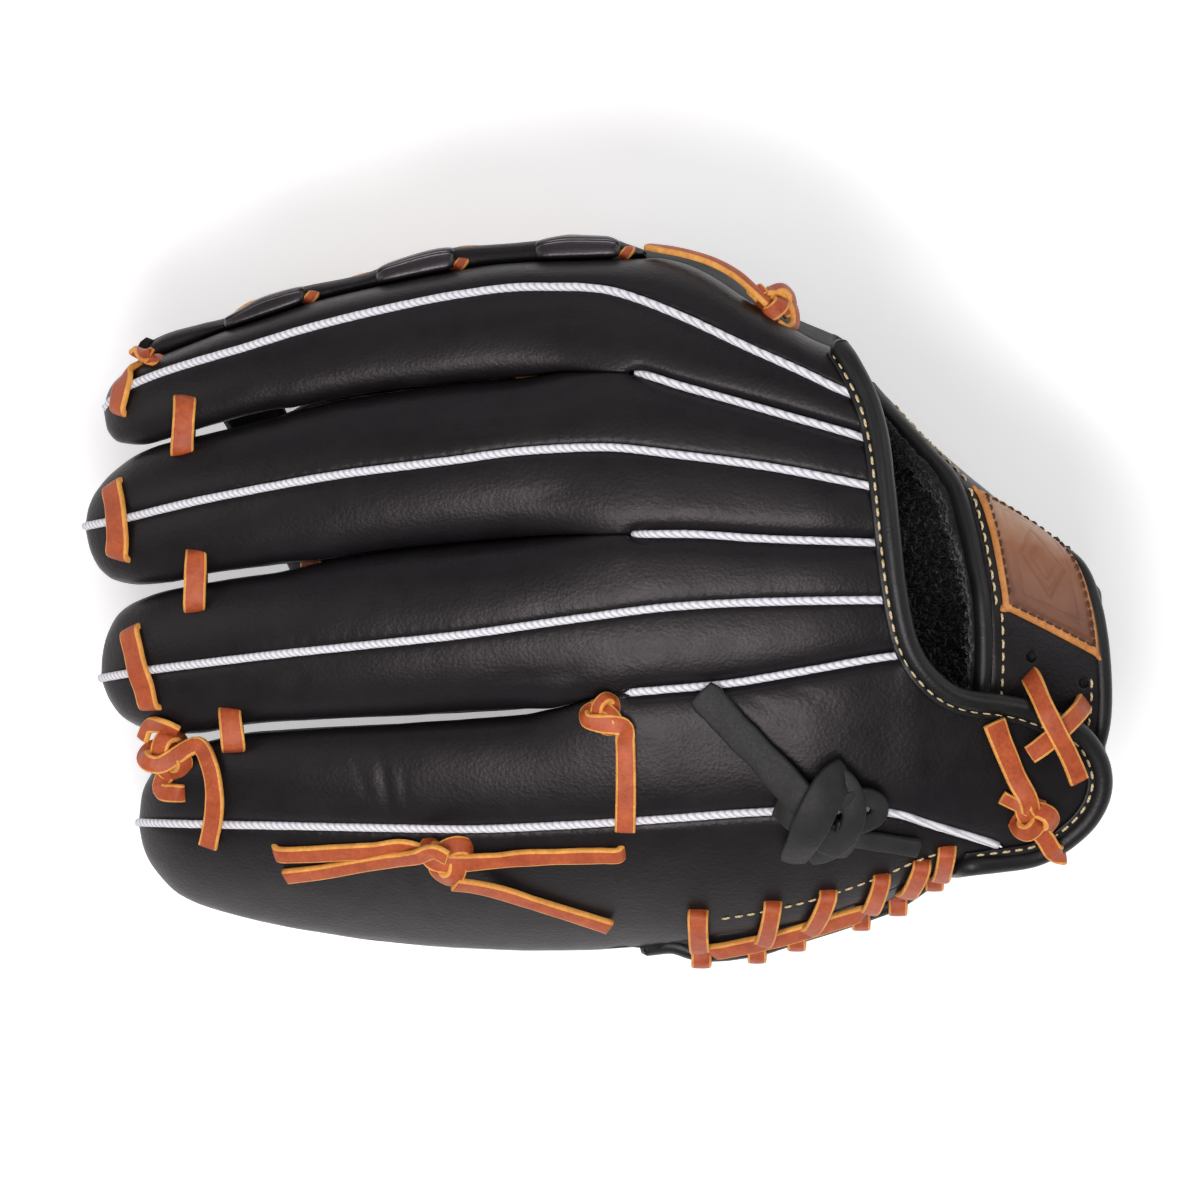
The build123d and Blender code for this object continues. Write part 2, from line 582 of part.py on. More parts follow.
with BuildPart() as thumb_welt:
    pts = []
    for x in THUMB_X[2:-1]:
        y, z = thumb_bottom(THUMB_SEAM_T, x)
        pts.append((x, y, z + 2.0))
    loft(sections=ribbon(pts, (0, 0, 1), 1.2, 3.6), ruled=True)
finish(thumb_welt, "thumb_welt")

with BuildPart() as thumb_front:
    loft(sections=thumb_profiles(True, (-1, -0.95, -0.8, -0.5, 0, 0.5, 0.8, 0.95, 1), 0, LEATHER, THUMB_X), ruled=True)
finish(thumb_front, "thumb_front")

with BuildPart() as thumb_lining:
    loft(sections=thumb_profiles(True, (-0.78, -0.5, -0.2, 0.2, 0.5, 0.78), LEATHER + GAP, LEATHER + GAP + LINING, [-72, -60, -37, -15, 6, 28, 50, 72, 90, 108], (False, False)), ruled=True)
finish(thumb_lining, "thumb_lining")

with BuildPart() as thumb_stiffener:
    loft(sections=thumb_profiles(True, (-0.55, -0.25, 0, 0.25, 0.55), LEATHER + LINING + 2 * GAP, LEATHER + LINING + 2 * GAP + 3.0, [-66, -60, -37, -15, 6, 28], (False, False)), ruled=True)
finish(thumb_stiffener, "thumb_stiffener")

# wall from the thumb up to the fold of the palm
THUMB_WALL = {
    14: [(76.5, 17), (92, 27), (99.5, 40), (101, 50)],
    30: [(80.5, 17), (91, 28), (97, 40), (98, 50)],
    45: [(81.5, 17), (87, 28), (90, 40), (90, 50)],
    58: [(76.5, 18), (80, 29), (81.5, 40), (81.5, 50)],
    72: [(71.5, 20), (74, 30), (75, 40), (75, 49)],
    86: [(64.8, 24), (67, 32), (68, 40), (68, 46)],
}
with BuildPart() as thumb_wall:
    loft(sections=[profile(x, p + [(y - LEATHER, z + 1.2 * (1 - i / 3)) for i, (y, z) in enumerate(p)][::-1]) for x, p in sorted(THUMB_WALL.items())], ruled=True)
finish(thumb_wall, "thumb_wall")

with BuildPart() as thumb_heel_binding:
    loft(sections=ribbon([(139.2, 17, 33), (130, 31.5, 30), (118, 43, 29), (104, 54.5, 30), (93, 62, 34), (90.5, 66, 43)], (1, 0.3, 0), 5.4, 5.4, 1.4), ruled=True)
finish(thumb_heel_binding, "thumb_heel_binding")

# ------------------------------------------------------------------ web
WEB_EDGE = curve([(-140, 71.6), (-136.8, 77.4), (-120.6, 83.4), (-113.1, 85.2), (-101.7, 91.1), (-90.9, 94.2), (-70.2, 98.6), (-62.6, 101.7), (-47.3, 105.8), (-19.8, 108), (-9.3, 109.5), (1.8, 109.2), (8.4, 107.1), (16.2, 104.4)])


def web_point(x, s):
    """s runs round the web's arc from the index finger (0) to the thumb (1)."""
    xi = max(x, -133.8)
    y0 = TOP["index"](xi) + 1.2
    z0 = base(xi, y0) - half_depth(xi) - 3.0
    xt = max(x, -96.0)
    y3, z3 = THUMB_HIGH(xt) + 1.5, THUMB_MID(xt)
    lo, hi = y0, 200.0
    for _ in range(30):
        c = (lo + hi) / 2
        m = max((1 - q) ** 3 * y0 + 3 * (1 - q) ** 2 * q * c + 3 * (1 - q) * q * q * c + q**3 * y3 for q in (i / 20 for i in range(21)))
        if m < WEB_EDGE(x) - 1.5:
            lo = c
        else:
            hi = c
    b = ((1 - s) ** 3, 3 * (1 - s) ** 2 * s, 3 * (1 - s) * s * s, s**3)
    y = b[0] * y0 + b[1] * c + b[2] * c + b[3] * y3
    z = b[0] * z0 + b[1] * (z0 - 28) + b[2] * 10 + b[3] * z3
    return (x, y, z)


def web_normal(x, s):
    a, b = web_point(x, max(0, s - 0.02)), web_point(x, min(1, s + 0.02))
    return unit((0, -(b[2] - a[2]), b[1] - a[1]))


def web_strip(s, xs, width, thick, out=0.0, bevel=0.0):
    pts, ups = [], []
    for x in xs:
        p, n = web_point(x, s), web_normal(x, s)
        pts.append(tuple(p[k] + out * n[k] for k in range(3)))
        ups.append(n)
    return ribbon(pts, ups, width, thick, bevel)


def web_bar(x0, x1, s0, s1, width, thick, n=6, out=0.0):
    pts, ups = [], []
    for i in range(n):
        u = i / (n - 1)
        x, s = x0 + (x1 - x0) * u, s0 + (s1 - s0) * u
        p, nn = web_point(x, s), web_normal(x, s)
        pts.append(tuple(p[k] + out * nn[k] for k in range(3)))
        ups.append(nn)
    return ribbon(pts, ups, width, thick)


with BuildPart() as web_index_strip:
    loft(sections=web_strip(0.13, [-134, -120, -100, -80, -60, -40, -20, 0, 10], 13, 3.0), ruled=True)
finish(web_index_strip, "web_index_strip")

with BuildPart() as web_pads:
    for x0, x1 in ((-113, -89), (-66, -44), (-19, 6)):
        loft(sections=web_strip(0.13, [x0, (x0 + x1) / 2, x1], 9.0, 3.2, -3.6, 0.8), ruled=True)
finish(web_pads, "web_pads")

with BuildPart() as web_upper_lacing:
    for x in (-122, -98, -74, -50, -26, -4):
        loft(sections=web_bar(x - 2, x + 2, 0.22, 0.30, LACE_W, LACE_T, 3), ruled=True)
finish(web_upper_lacing, "web_upper_lacing")

with BuildPart() as web_spine:
    loft(sections=web_strip(0.56, [-122, -100, -80, -60, -40, -20, 0, 8], 22, 4.0), ruled=True)
finish(web_spine, "web_spine")

with BuildPart() as web_thumb_strip:
    loft(sections=web_strip(0.93, [-92, -76, -60, -40, -20, 0, 8], 12, 3.0), ruled=True)
finish(web_thumb_strip, "web_thumb_strip")

with BuildPart() as web_top_bar:
    loft(sections=web_bar(-116, -97, 0.72, 0.97, 14, 3.0, 6), ruled=True)
finish(web_top_bar, "web_top_bar")

with BuildPart() as web_lower_lacing:
    for x in (-82, -60, -38, -16, 4):
        loft(sections=web_bar(x - 3, x + 3, 0.70, 0.85, LACE_W, LACE_T, 4), ruled=True)
finish(web_lower_lacing, "web_lower_lacing")


# ------------------------------------------------------------------ laces on the back
def skin(x, y):
    """Height of the leather on the back at a point."""
    best = None
    for f in ("index", "middle", "ring", "pinky"):
        lo, hi, s = BOT[f](x), TOP[f](x), SEAM[f](x)
        if f == "pinky" and x > 86:
            hi = FLAP_TOP(x)
        if lo <= y <= hi and x > TIP[f]:
            side = 1 if y >= s else -1
            t = (y - s) / ((hi if side > 0 else lo) - s)
            return base(x, y) - groove(f, side, x) * half_depth(x) * (1 - tip_round(x, TIP[f]) * pill(t))
    return base(x, y) - 3.0


def lie(points, lift=1.6):
    """Route on the back through plan points, each with its own extra lift."""
    out = []
    for p in points:
        extra = p[2] if len(p) > 2 else 0.0
        out.append((p[0], p[1], skin(p[0], p[1]) + lift + extra))
    return out


UP = (0, 0, 1)
with BuildPart() as tip_lace_loops:
    loft(sections=ribbon(lie([(-141.2, 69.3, 0.8), (-142.6, 63.5, 0.4), (-144.4, 57.0, 0.2), (-144.6, 52.0, 0)], 1.7), UP, LACE_W, LACE_T), ruled=True)
    loft(sections=ribbon(lie([(-147.2, 34.6, 0.2), (-145.6, 29.0, 0.3), (-144.8, 23.8, 0.6), (-144.6, 18.0, 0.3), (-146.4, 12.2, 0.2)], 1.7), UP, LACE_W, LACE_T), ruled=True)
    loft(sections=ribbon(lie([(-141.6, -8.9, 0.2), (-140.4, -15.0, 0.3), (-139.8, -21.0, 0.6), (-138.2, -27.0, 0.3), (-136.4, -33.0, 0.2)], 1.7), UP, LACE_W, LACE_T), ruled=True)
finish(tip_lace_loops, "tip_lace_loops")

with BuildPart() as tip_cross_laces:
    for (xa, ya), (xb, yb) in (((-125.4, 60.0), (-126.4, 44.6)), ((-121.5, 12.6), (-121.8, -0.6)), ((-111.0, -34.5), (-110.0, -43.5))):
        za, zb = skin(xa, ya), skin(xb, yb)
        zt = max(za, zb) + 2.2
        loft(sections=ribbon([(xa, ya + 1.6, za + 1.0), (xa, ya, zt), (xb, yb, zt), (xb, yb - 1.6, zb + 1.0)], UP, LACE_W, LACE_T), ruled=True)
finish(tip_cross_laces, "tip_cross_laces")


def knot_block(x, y, w, d, h, lift=0.6):
    """Faceted lump for a lace knot sitting on the leather."""
    z = skin(x, y) + lift
    out = []
    for k, s in ((0.0, 0.82), (0.35, 1.0), (0.75, 0.86), (1.0, 0.5)):
        with BuildSketch(Plane(origin=(x, y, z + k * h), x_dir=(1, 0, 0), z_dir=(0, 0, 1))) as sk:
            RectangleRounded(w * s, d * s, min(w, d) * s * 0.3)
        out.append(sk.sketch.faces()[0])
    return out


with BuildPart() as pinky_tip_knot:
    loft(sections=knot_block(-130.5, -46.2, 15, 18, 8.5, 2.0), ruled=True)
    loft(sections=ribbon(lie([(-122.4, -43.4, 3.0), (-117.6, -48.0, 0.8), (-115.6, -56.0, 0.4), (-116.0, -62.0, 0.4), (-118.0, -68.0, 0.8), (-119.0, -73.5, 0.6)], 1.7), UP, LACE_W, LACE_T), ruled=True)
finish(pinky_tip_knot, "pinky_tip_knot")

with BuildPart() as ring_pinky_knot:
    loft(sections=knot_block(1.4, -33.6, 10.5, 10.5, 5.5, 1.6), ruled=True)
    loft(sections=ribbon(lie([(7.6, -36.4, 2.0), (7.9, -44.0, 0.5), (7.9, -54.0, 0.4), (7.9, -62.0, 0.8), (7.8, -68.2, 0.9)], 1.7), UP, LACE_W, LACE_T), ruled=True)
finish(ring_pinky_knot, "ring_pinky_knot")

with BuildPart() as pinky_lace:
    loft(sections=ribbon(lie([(-97.5, -76.0), (-88, -75.7), (-72, -75.3), (-56.5, -75.0)], 1.7), UP, 5.6, LACE_T), ruled=True)
    loft(sections=ribbon(lie([(-94.5, -82.6), (-80, -80.9), (-66, -79.6), (-56.5, -79.3, 3.2)], 1.9), UP, 5.0, LACE_T), ruled=True)
    loft(sections=ribbon(lie([(-34.8, -77.2), (-22, -76.8), (-8, -76.4), (6.4, -76.2)], 1.7), UP, 5.6, LACE_T), ruled=True)
    loft(sections=ribbon(lie([(-34.0, -86.0, 1.6), (-22, -89.6, 0.6), (-10, -93.6, 0.5), (2.6, -97.2, 0.4)], 2.2), UP, 5.4, LACE_T), ruled=True)
    loft(sections=knot_block(-45.6, -78.6, 19, 18, 8.0, 2.2), ruled=True)
finish(pinky_lace, "pinky_lace")

with BuildPart() as palm_lace_knot:
    loft(sections=ribbon(lie([(31.4, -27.6, 0.6), (38, -36.0, 0.4), (46, -46.0, 0.4), (53.6, -54.0, 1.6)], 2.4), UP, 9.5, 2.4), ruled=True)
    loft(sections=knot_block(64.2, -63.6, 18, 25, 11, 2.6), ruled=True)
    loft(sections=ribbon(lie([(74.6, -60.4, 4.0), (80, -62.0, 2.4), (85, -66.0, 1.2), (92, -71.6, 0.8), (96, -74.6, 0.6)], 2.4), UP, 6.0, 2.4), ruled=True)
finish(palm_lace_knot, "palm_lace_knot")

with BuildPart() as wrist_lace_knot:
    loft(sections=ribbon(lie([(117.2, -37.8, 1.4), (120.4, -44.0, 1.2), (124.4, -52.0, 0.6), (127.0, -58.4, 1.6)], 2.2), UP, LACE_W, LACE_T), ruled=True)
    loft(sections=knot_block(130.2, -65.4, 13, 11, 8, 2.4), ruled=True)
finish(wrist_lace_knot, "wrist_lace_knot")

with BuildPart() as strap_x_lace:
    loft(sections=ribbon([(129.6, -23.8, 103.8), (130.0, -25.8, 112.0), (132.6, -32.6, 118.0), (136.4, -39.2, 115.8), (140.4, -45.6, 109.2), (143.2, -52.0, 104.8)], UP, LACE_W, LACE_T), ruled=True)
    loft(sections=ribbon([(144.6, -31.0, 98.4), (143.6, -33.0, 106.6), (140.8, -36.8, 112.2), (136.6, -41.0, 111.8), (131.6, -45.2, 110.8)], UP, LACE_W, LACE_T), ruled=True)
finish(strap_x_lace, "strap_x_lace")

with BuildPart() as heel_lace:
    loft(sections=ribbon([(34.4, -97.6, 77.6), (50, -97.4, 78.0), (64, -96.2, 78.6), (77, -94.6, 78.4)], (0, -0.8, 0.6), 6.0, LACE_T), ruled=True)
    for x0, y0, x1, y1 in ((30.5, -95.5, 31.2, -107.9), (51.5, -94.0, 47.4, -106.9), (68.4, -90.2, 58.8, -103.6), (84.5, -85.4, 78.9, -97.8), (96.5, -82.0, 90.0, -93.4), (104.4, -77.6, 101.0, -85.8)):
        z0 = skin(x0, y0) + 1.9
        z1 = 68.6
        loft(sections=ribbon([(x0, y0, z0), (x0 + (x1 - x0) * 0.55, y0 + (y1 - y0) * 0.6, (z0 + z1) / 2 + 3.5), (x1, y1 + 2.4, z1 + 1.6), (x1, y1 - 0.8, z1 - 4.0)], (0, 0.3, 1), 5.6, LACE_T), ruled=True)
finish(heel_lace, "heel_lace")

with BuildPart() as web_base_lace:
    loft(sections=ribbon([(16.2, 105.6, 96.5), (26, 103.6, 100.0), (34, 101.4, 102.6), (42, 96.8, 105.6)], UP, 4.2, LACE_T), ruled=True)
    with BuildSketch(Plane(origin=(50.0, 91.0, 100.0), x_dir=(1, 0, 0), z_dir=(0, 0, 1))) as k0:
        RectangleRounded(11, 9, 2.5)
    with BuildSketch(Plane(origin=(50.0, 91.0, 108.0), x_dir=(1, 0, 0), z_dir=(0, 0, 1))) as k1:
        RectangleRounded(8, 7, 2.0)
    loft(sections=[k0.sketch.faces()[0], k1.sketch.faces()[0]], ruled=True)
finish(web_base_lace, "web_base_lace")

with BuildPart() as thumb_tip_lace:
    pts = []
    for t in (-0.5, -0.25, 0.0, 0.25, 0.5):
        y, z = thumb_top(t, -88)
        pts.append((-88, y, z + 1.5))
    loft(sections=ribbon(pts, UP, LACE_W, LACE_T), ruled=True)
finish(thumb_tip_lace, "thumb_tip_lace")
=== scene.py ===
import bpy
import math
import random
import numpy as np
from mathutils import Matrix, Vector, noise


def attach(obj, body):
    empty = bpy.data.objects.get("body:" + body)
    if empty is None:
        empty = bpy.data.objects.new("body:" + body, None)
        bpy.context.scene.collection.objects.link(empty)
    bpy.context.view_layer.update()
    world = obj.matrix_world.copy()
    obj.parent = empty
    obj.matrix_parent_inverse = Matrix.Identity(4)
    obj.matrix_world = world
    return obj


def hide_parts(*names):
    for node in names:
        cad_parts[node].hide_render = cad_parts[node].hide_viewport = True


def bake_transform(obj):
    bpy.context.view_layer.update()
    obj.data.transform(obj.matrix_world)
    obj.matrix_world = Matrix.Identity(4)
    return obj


# Outfielder's glove, closed, lying on its thumb side. Lengths below are in mm and are
# scaled to metres when a mesh is made.
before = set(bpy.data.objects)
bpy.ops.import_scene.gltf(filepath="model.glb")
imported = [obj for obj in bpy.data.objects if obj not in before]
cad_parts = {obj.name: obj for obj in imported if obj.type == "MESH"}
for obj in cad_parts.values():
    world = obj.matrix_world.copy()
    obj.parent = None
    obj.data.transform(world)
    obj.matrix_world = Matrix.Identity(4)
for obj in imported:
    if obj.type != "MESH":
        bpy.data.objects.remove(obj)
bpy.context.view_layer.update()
rng = random.Random(7)
MM = 0.001

LEATHER = 2.6
GAP = 0.4
LACE_W = 6.4
LACE_T = 1.9
TIP_REACH = 16.0
HAND_H = 14.0
HALF_GAP = 1.3

# ------------------------------------------------------------------ shape of the glove
def curve(pts):
    """Monotone cubic through (x, y) points, flat outside them."""
    xs = [p[0] for p in pts]
    ys = [p[1] for p in pts]
    n = len(xs)
    d = [(ys[i + 1] - ys[i]) / (xs[i + 1] - xs[i]) for i in range(n - 1)]
    m = [0.0] * n
    m[0], m[-1] = d[0], d[-1]
    for i in range(1, n - 1):
        if d[i - 1] * d[i] > 0:
            w1 = 2 * (xs[i + 1] - xs[i]) + (xs[i] - xs[i - 1])
            w2 = (xs[i + 1] - xs[i]) + 2 * (xs[i] - xs[i - 1])
            m[i] = (w1 + w2) / (w1 / d[i - 1] + w2 / d[i])

    def f(x):
        if x <= xs[0]:
            return ys[0]
        if x >= xs[-1]:
            return ys[-1]
        lo = 0
        while xs[lo + 1] < x:
            lo += 1
        h = xs[lo + 1] - xs[lo]
        s = (x - xs[lo]) / h
        return (
            ys[lo] * (2 * s**3 - 3 * s**2 + 1)
            + h * m[lo] * (s**3 - 2 * s**2 + s)
            + ys[lo + 1] * (3 * s**2 - 2 * s**3)
            + h * m[lo + 1] * (s**3 - s**2)
        )

    return f


def smooth(a, b, x):
    t = min(1.0, max(0.0, (x - a) / (b - a)))
    return t * t * (3 - 2 * t)


# ------------------------------------------------------------------ plan of the back
SEAM = {
    "index": curve([(-149.7, 57.5), (-145, 62.5), (-139, 65.7), (-125.4, 70.5), (-108.6, 75.3), (-85.5, 82.2), (-60, 88.2), (-42, 91.6), (-21.6, 93.8), (-3, 93.6), (8.4, 91.0), (27.6, 83.4), (42, 76.5), (60.6, 68.1), (77.4, 60.0)]),
    "middle": curve([(-155.4, 22.2), (-142.8, 24.6), (-123.8, 29.1), (-100.8, 33.6), (-78, 37.5), (-42, 42.0), (-24, 44.4), (0.3, 45.6), (24.3, 43.2), (48.6, 40.0), (78, 34.5), (90, 32)]),
    "ring": curve([(-150.6, -23.6), (-139.1, -21.6), (-116.1, -18.6), (-93.2, -15.9), (-70.2, -13.5), (-42, -10.5), (-7.8, -5.7), (24.3, -1.8), (48.6, -0.6), (85.5, 0.0), (95, 0)]),
    "pinky": curve([(-139.5, -67.2), (-116.1, -67.6), (-93.2, -67.9), (-70.2, -68.3), (-42, -68.7), (-12, -67.5), (12, -66), (52.2, -63.2), (69, -62.6), (84.6, -63.3), (100.8, -67.8), (123.6, -74.5), (130, -76)]),
}
LINE = {
    "index_middle": curve([(-120, 51.2), (-96.3, 56.6), (-73.2, 61.3), (-42, 65.1), (-22.2, 66.8), (-9.3, 68.3), (9.9, 67.8), (24.3, 63.9), (40.5, 59.4), (56.4, 54.9), (77.4, 48.9), (85, 46.5)]),
    "middle_ring": curve([(-120, 6.2), (-90, 10.5), (-62.7, 15.0), (-42, 17.1), (-22.2, 18.7), (-11.7, 19.4), (3.3, 19.6), (24.3, 19.7), (48.6, 18.3), (82.5, 17.1), (90, 16.8)]),
    "ring_pinky": curve([(-120, -41.2), (-106.9, -38.7), (-85.5, -37.2), (-42, -34.8), (-15, -32.6), (1.8, -28.4), (16.2, -27), (36.3, -25.2), (60.3, -21.3), (89.4, -16.5), (95, -16)]),
}
TIP = {"index": -149.7, "middle": -155.4, "ring": -150.6, "pinky": -139.5}


def edge_between(tip_line, line, sign, x_from=-112.0):
    def f(x):
        if x < x_from:
            return tip_line(x)
        k = smooth(x_from, x_from + 14, x)
        return tip_line(x) * (1 - k) + (line(x) + sign * HALF_GAP) * k

    return f


TOP = {
    "index": curve([(-149.7, 57.5), (-148.8, 62), (-146, 66.5), (-140, 70.5), (-133.8, 73), (-113.1, 81), (-100.8, 85), (-85.5, 90), (-62.6, 95.3), (-42, 99.3), (-31.9, 100.8), (-7.8, 102.0), (16.2, 102.6), (24.3, 101.2), (32.4, 97.9), (44.4, 90), (56.4, 82.5), (64.5, 77.8), (72.6, 74.7), (78, 73)]),
    "middle": edge_between(curve([(-155.4, 22.2), (-154.4, 27.8), (-150.6, 34.5), (-145.2, 39.9), (-139, 44.1), (-131.4, 47.0), (-117, 50.2), (-96, 55.3)]), LINE["index_middle"], -1),
    "ring": edge_between(curve([(-150.6, -23.6), (-150.2, -17.1), (-148.2, -9.3), (-144.3, -3.3), (-137.4, 0.6), (-129, 3.3), (-117, 5.4), (-96, 8.4)]), LINE["middle_ring"], -1),
    "pinky": edge_between(curve([(-139.5, -67.2), (-138.5, -59.1), (-136.3, -54), (-132, -48.5), (-126, -44.8), (-118, -42.6), (-107, -40.2), (-96, -39)]), LINE["ring_pinky"], -1),
}
BOT = {
    "index": edge_between(curve([(-149.7, 57.5), (-148.6, 51.5), (-144.5, 47.6), (-138, 47.0), (-131.4, 48.3), (-117, 52.6), (-96, 58)]), LINE["index_middle"], 1),
    "middle": edge_between(curve([(-155.4, 22.2), (-153.8, 15.3), (-150.6, 9.3), (-146.7, 6.2), (-139, 4.7), (-129.9, 5.3), (-117, 8.1), (-96, 11)]), LINE["middle_ring"], 1),
    "ring": edge_between(curve([(-150.6, -23.6), (-148.4, -29.4), (-143.7, -35.4), (-136.8, -38.9), (-129, -40.5), (-120.6, -40.2), (-107, -37.6), (-96, -36.6)]), LINE["ring_pinky"], 1),
    "pinky": curve([(-139.5, -67.2), (-138.3, -74.4), (-133.8, -82.8), (-127.5, -89.1), (-116.1, -93.9), (-93.2, -99.3), (-70.2, -102.8), (-42, -105.4), (-12, -106.0), (10, -104.9), (28, -102.4), (45, -99.8), (60, -96.5), (80, -90), (100, -81.5), (112, -77.5), (125, -76.5)]),
}

# ------------------------------------------------------------------ heights of the back
CREST = curve([(-160, 76), (-150, 82), (-130, 94), (-100, 107), (-60, 119), (-20, 127), (20, 131), (60, 131), (90, 127), (120, 119), (155, 106)])
DEPTH = curve([(-160, 17), (-150, 19), (-120, 22.5), (-80, 25), (-20, 28), (15, 29)])


def arch(y):
    if y > 20:
        return 0.0034 * (y - 20) ** 2
    d = 0.0022 * (20 - y) ** 2
    if y < -50:
        d += 0.007 * (-50 - y) ** 2
    return d


def base(x, y):
    return CREST(x) - arch(y)


def tip_round(x, tip):
    if x >= tip + TIP_REACH:
        return 1.0
    u = (tip + TIP_REACH - x) / TIP_REACH
    return math.sqrt(max(0.0, 1 - u * u))


def pill(t, p=2.4):
    t = min(1.0, max(0.0, t))
    return (1 - t**p) ** (1 / p)


def half_depth(x):
    return min(HAND_H, DEPTH(x) / 2)


def groove(f, side, x):
    """How far the stall's edge falls, as a share of its half depth."""
    if f == "index" and side > 0:
        return 1.0
    if f == "pinky" and side < 0:
        return 1.0 - 0.62 * smooth(5, 35, x)
    return 1.0 - 0.86 * smooth(-32, 8, x)


def back_point(f, side, t, x):
    e = TOP[f](x) if side > 0 else BOT[f](x)
    y = SEAM[f](x) + t * (e - SEAM[f](x))
    z = base(x, y) - groove(f, side, x) * half_depth(x) * (1 - tip_round(x, TIP[f]) * pill(t))
    return y, z


def front_point(f, t, x):
    """t runs from -1 at the lower edge to 1 at the upper edge."""
    yc = (TOP[f](x) + BOT[f](x)) / 2
    hw = (TOP[f](x) - BOT[f](x)) / 2
    y = yc + t * hw
    z = base(x, y) - half_depth(x) * (1 + tip_round(x, TIP[f]) * pill(abs(t)))
    return y, z - GAP


def stall_centre(f, x):
    yc = (TOP[f](x) + BOT[f](x)) / 2
    return yc, base(x, yc) - half_depth(x)


def unit(v):
    n = math.sqrt(sum(c * c for c in v))
    return tuple(c / n for c in v)


def cross(a, b):
    return (a[1] * b[2] - a[2] * b[1], a[2] * b[0] - a[0] * b[2], a[0] * b[1] - a[1] * b[0])



FLAP_TOP = curve([(86, -17.2), (89, -18.2), (92, -20.5), (97.8, -28.0), (104, -33.0), (110, -35.2), (118, -36.2), (126, -37.8), (133.5, -41.4), (141, -45.2), (146, -50.5)])
FLAP_BOT = curve([(100.8, -67.8), (112, -71.2), (123.6, -73.4), (131, -71.8), (139, -67.0), (146, -60.0)])

PALM = {
    8.2: [(-103.4, 62.4), (-68, 82), (-30, 95.4), (8, 100.5), (45, 98.6), (75, 91.6), (96, 88)],
    40: [(-101.0, 62.2), (-66, 76), (-30, 87), (8, 92), (42, 90), (68, 84), (84, 80)],
    65: [(-95.0, 62.2), (-62, 70), (-28, 77), (6, 80), (36, 78), (56, 73), (69, 68)],
    90: [(-86.8, 62.2), (-58, 62.5), (-28, 62), (2, 60), (26, 57), (42, 54), (54, 51)],
    108: [(-75.4, 62.2), (-54, 58), (-28, 53), (-1, 49), (18, 46.5), (34, 45), (44, 44)],
    146: [(-60.0, 66.0), (-45, 57), (-28, 49.5), (-10, 44), (2, 41.5), (10, 40.2), (14, 39.6)],
}
INDEX_WALL = {
    14: [(103.6, 92), (105.0, 80), (104.6, 68)],
    30: [(100.4, 94.4), (102.2, 80), (101.8, 67)],
    45: [(90.6, 99), (93.4, 82), (93.0, 66)],
    58: [(82.4, 102.8), (84.8, 84), (84.4, 66)],
    69.5: [(77.2, 104.6), (79.6, 84), (79.0, 68)],
}

OPENING = [(74.4, 71.4), (80.1, 60), (83.1, 48.9), (84.8, 36), (86.6, 18.9), (88.8, 1.2), (92.4, -14.0), (98.2, -22.9), (104.6, -28.0), (111, -30.2), (119, -31.2), (127, -32.8), (135.5, -36.0), (143.9, -40.0), (150, -49.2), (150.7, -57), (147.4, -65.0), (139.8, -72.4), (130.5, -77.2), (120, -78.8), (110.5, -79.6)]
HEEL = [(22, -103.8), (28, -105.6), (34, -106.2), (47, -104.6), (59, -101.0), (79, -94.6), (90, -90.2), (100, -83.4), (106, -79.4)]

STRAP_IN = [(112, -44, 102.2), (114.8, -20, 105.2), (114.3, 0, 106), (112, 13, 104), (109.5, 24, 101), (106, 35, 96.5), (97, 46, 89), (88, 56, 80), (81, 64.5, 70)]
STRAP_OUT = [(146.6, -54, 88.5), (151.4, -38, 90.6), (151.6, -19, 91.6), (149.2, -2.4, 90.5), (144.4, 10, 87), (136, 16.4, 82), (121, 26.4, 76), (105.5, 38, 70.5), (92, 52, 66)]


def strap_frame(i):
    a, b = STRAP_IN[i], STRAP_OUT[i]
    mid = tuple((a[k] + b[k]) / 2 for k in range(3))
    j0, j1 = max(0, i - 1), min(len(STRAP_IN) - 1, i + 1)
    m0 = tuple((STRAP_IN[j0][k] + STRAP_OUT[j0][k]) / 2 for k in range(3))
    m1 = tuple((STRAP_IN[j1][k] + STRAP_OUT[j1][k]) / 2 for k in range(3))
    t = unit(tuple(m1[k] - m0[k] for k in range(3)))
    n = unit(cross(tuple(b[k] - a[k] for k in range(3)), t))
    return mid, t, n, math.dist(a, b)


def strap_edge(which, inset, drop):
    pts = []
    for i in range(0, 9):
        mid, t, n, w = strap_frame(i)
        side = unit(cross(t, n))
        other = tuple(STRAP_OUT[i][k] - STRAP_IN[i][k] for k in range(3))
        s = 1 if sum(side[k] * other[k] for k in range(3)) > 0 else -1
        d = s * which * (w / 2 - inset)
        pts.append(tuple(mid[k] + side[k] * d + n[k] * drop for k in range(3)))
    return pts

THUMB_TIP = -98.0
THUMB_LOW = curve([(-98, 21), (-96, 12), (-92, 5), (-80, -4), (-60, -12), (-15, -26), (20, -34), (50, -38), (80, -34), (105, -22), (125, -4), (136, 10)])
THUMB_HIGH = curve([(-98, 23), (-96.5, 29), (-92, 35), (-80, 40), (-60, 44), (-30, 50), (0, 64), (20, 77), (45, 79), (60, 73), (75, 68), (90, 60), (105, 50), (125, 34), (136, 24)])
THUMB_MID = curve([(-98, 12), (-60, 13), (20, 14.5), (60, 15), (90, 17), (115, 22), (136, 29)])
THUMB_HALF = curve([(-98, 9), (-60, 12.2), (20, 13.5), (60, 13.5), (90, 12), (115, 10), (136, 6)])


def thumb_bottom(t, x):
    y0, y1 = THUMB_LOW(x), THUMB_HIGH(x)
    y = (y0 + y1) / 2 + t * (y1 - y0) / 2
    z = THUMB_MID(x) - 1.14 * THUMB_HALF(x) * pill(abs(t), 3.0) * tip_round(x, THUMB_TIP)
    return y, max(0.0, z)


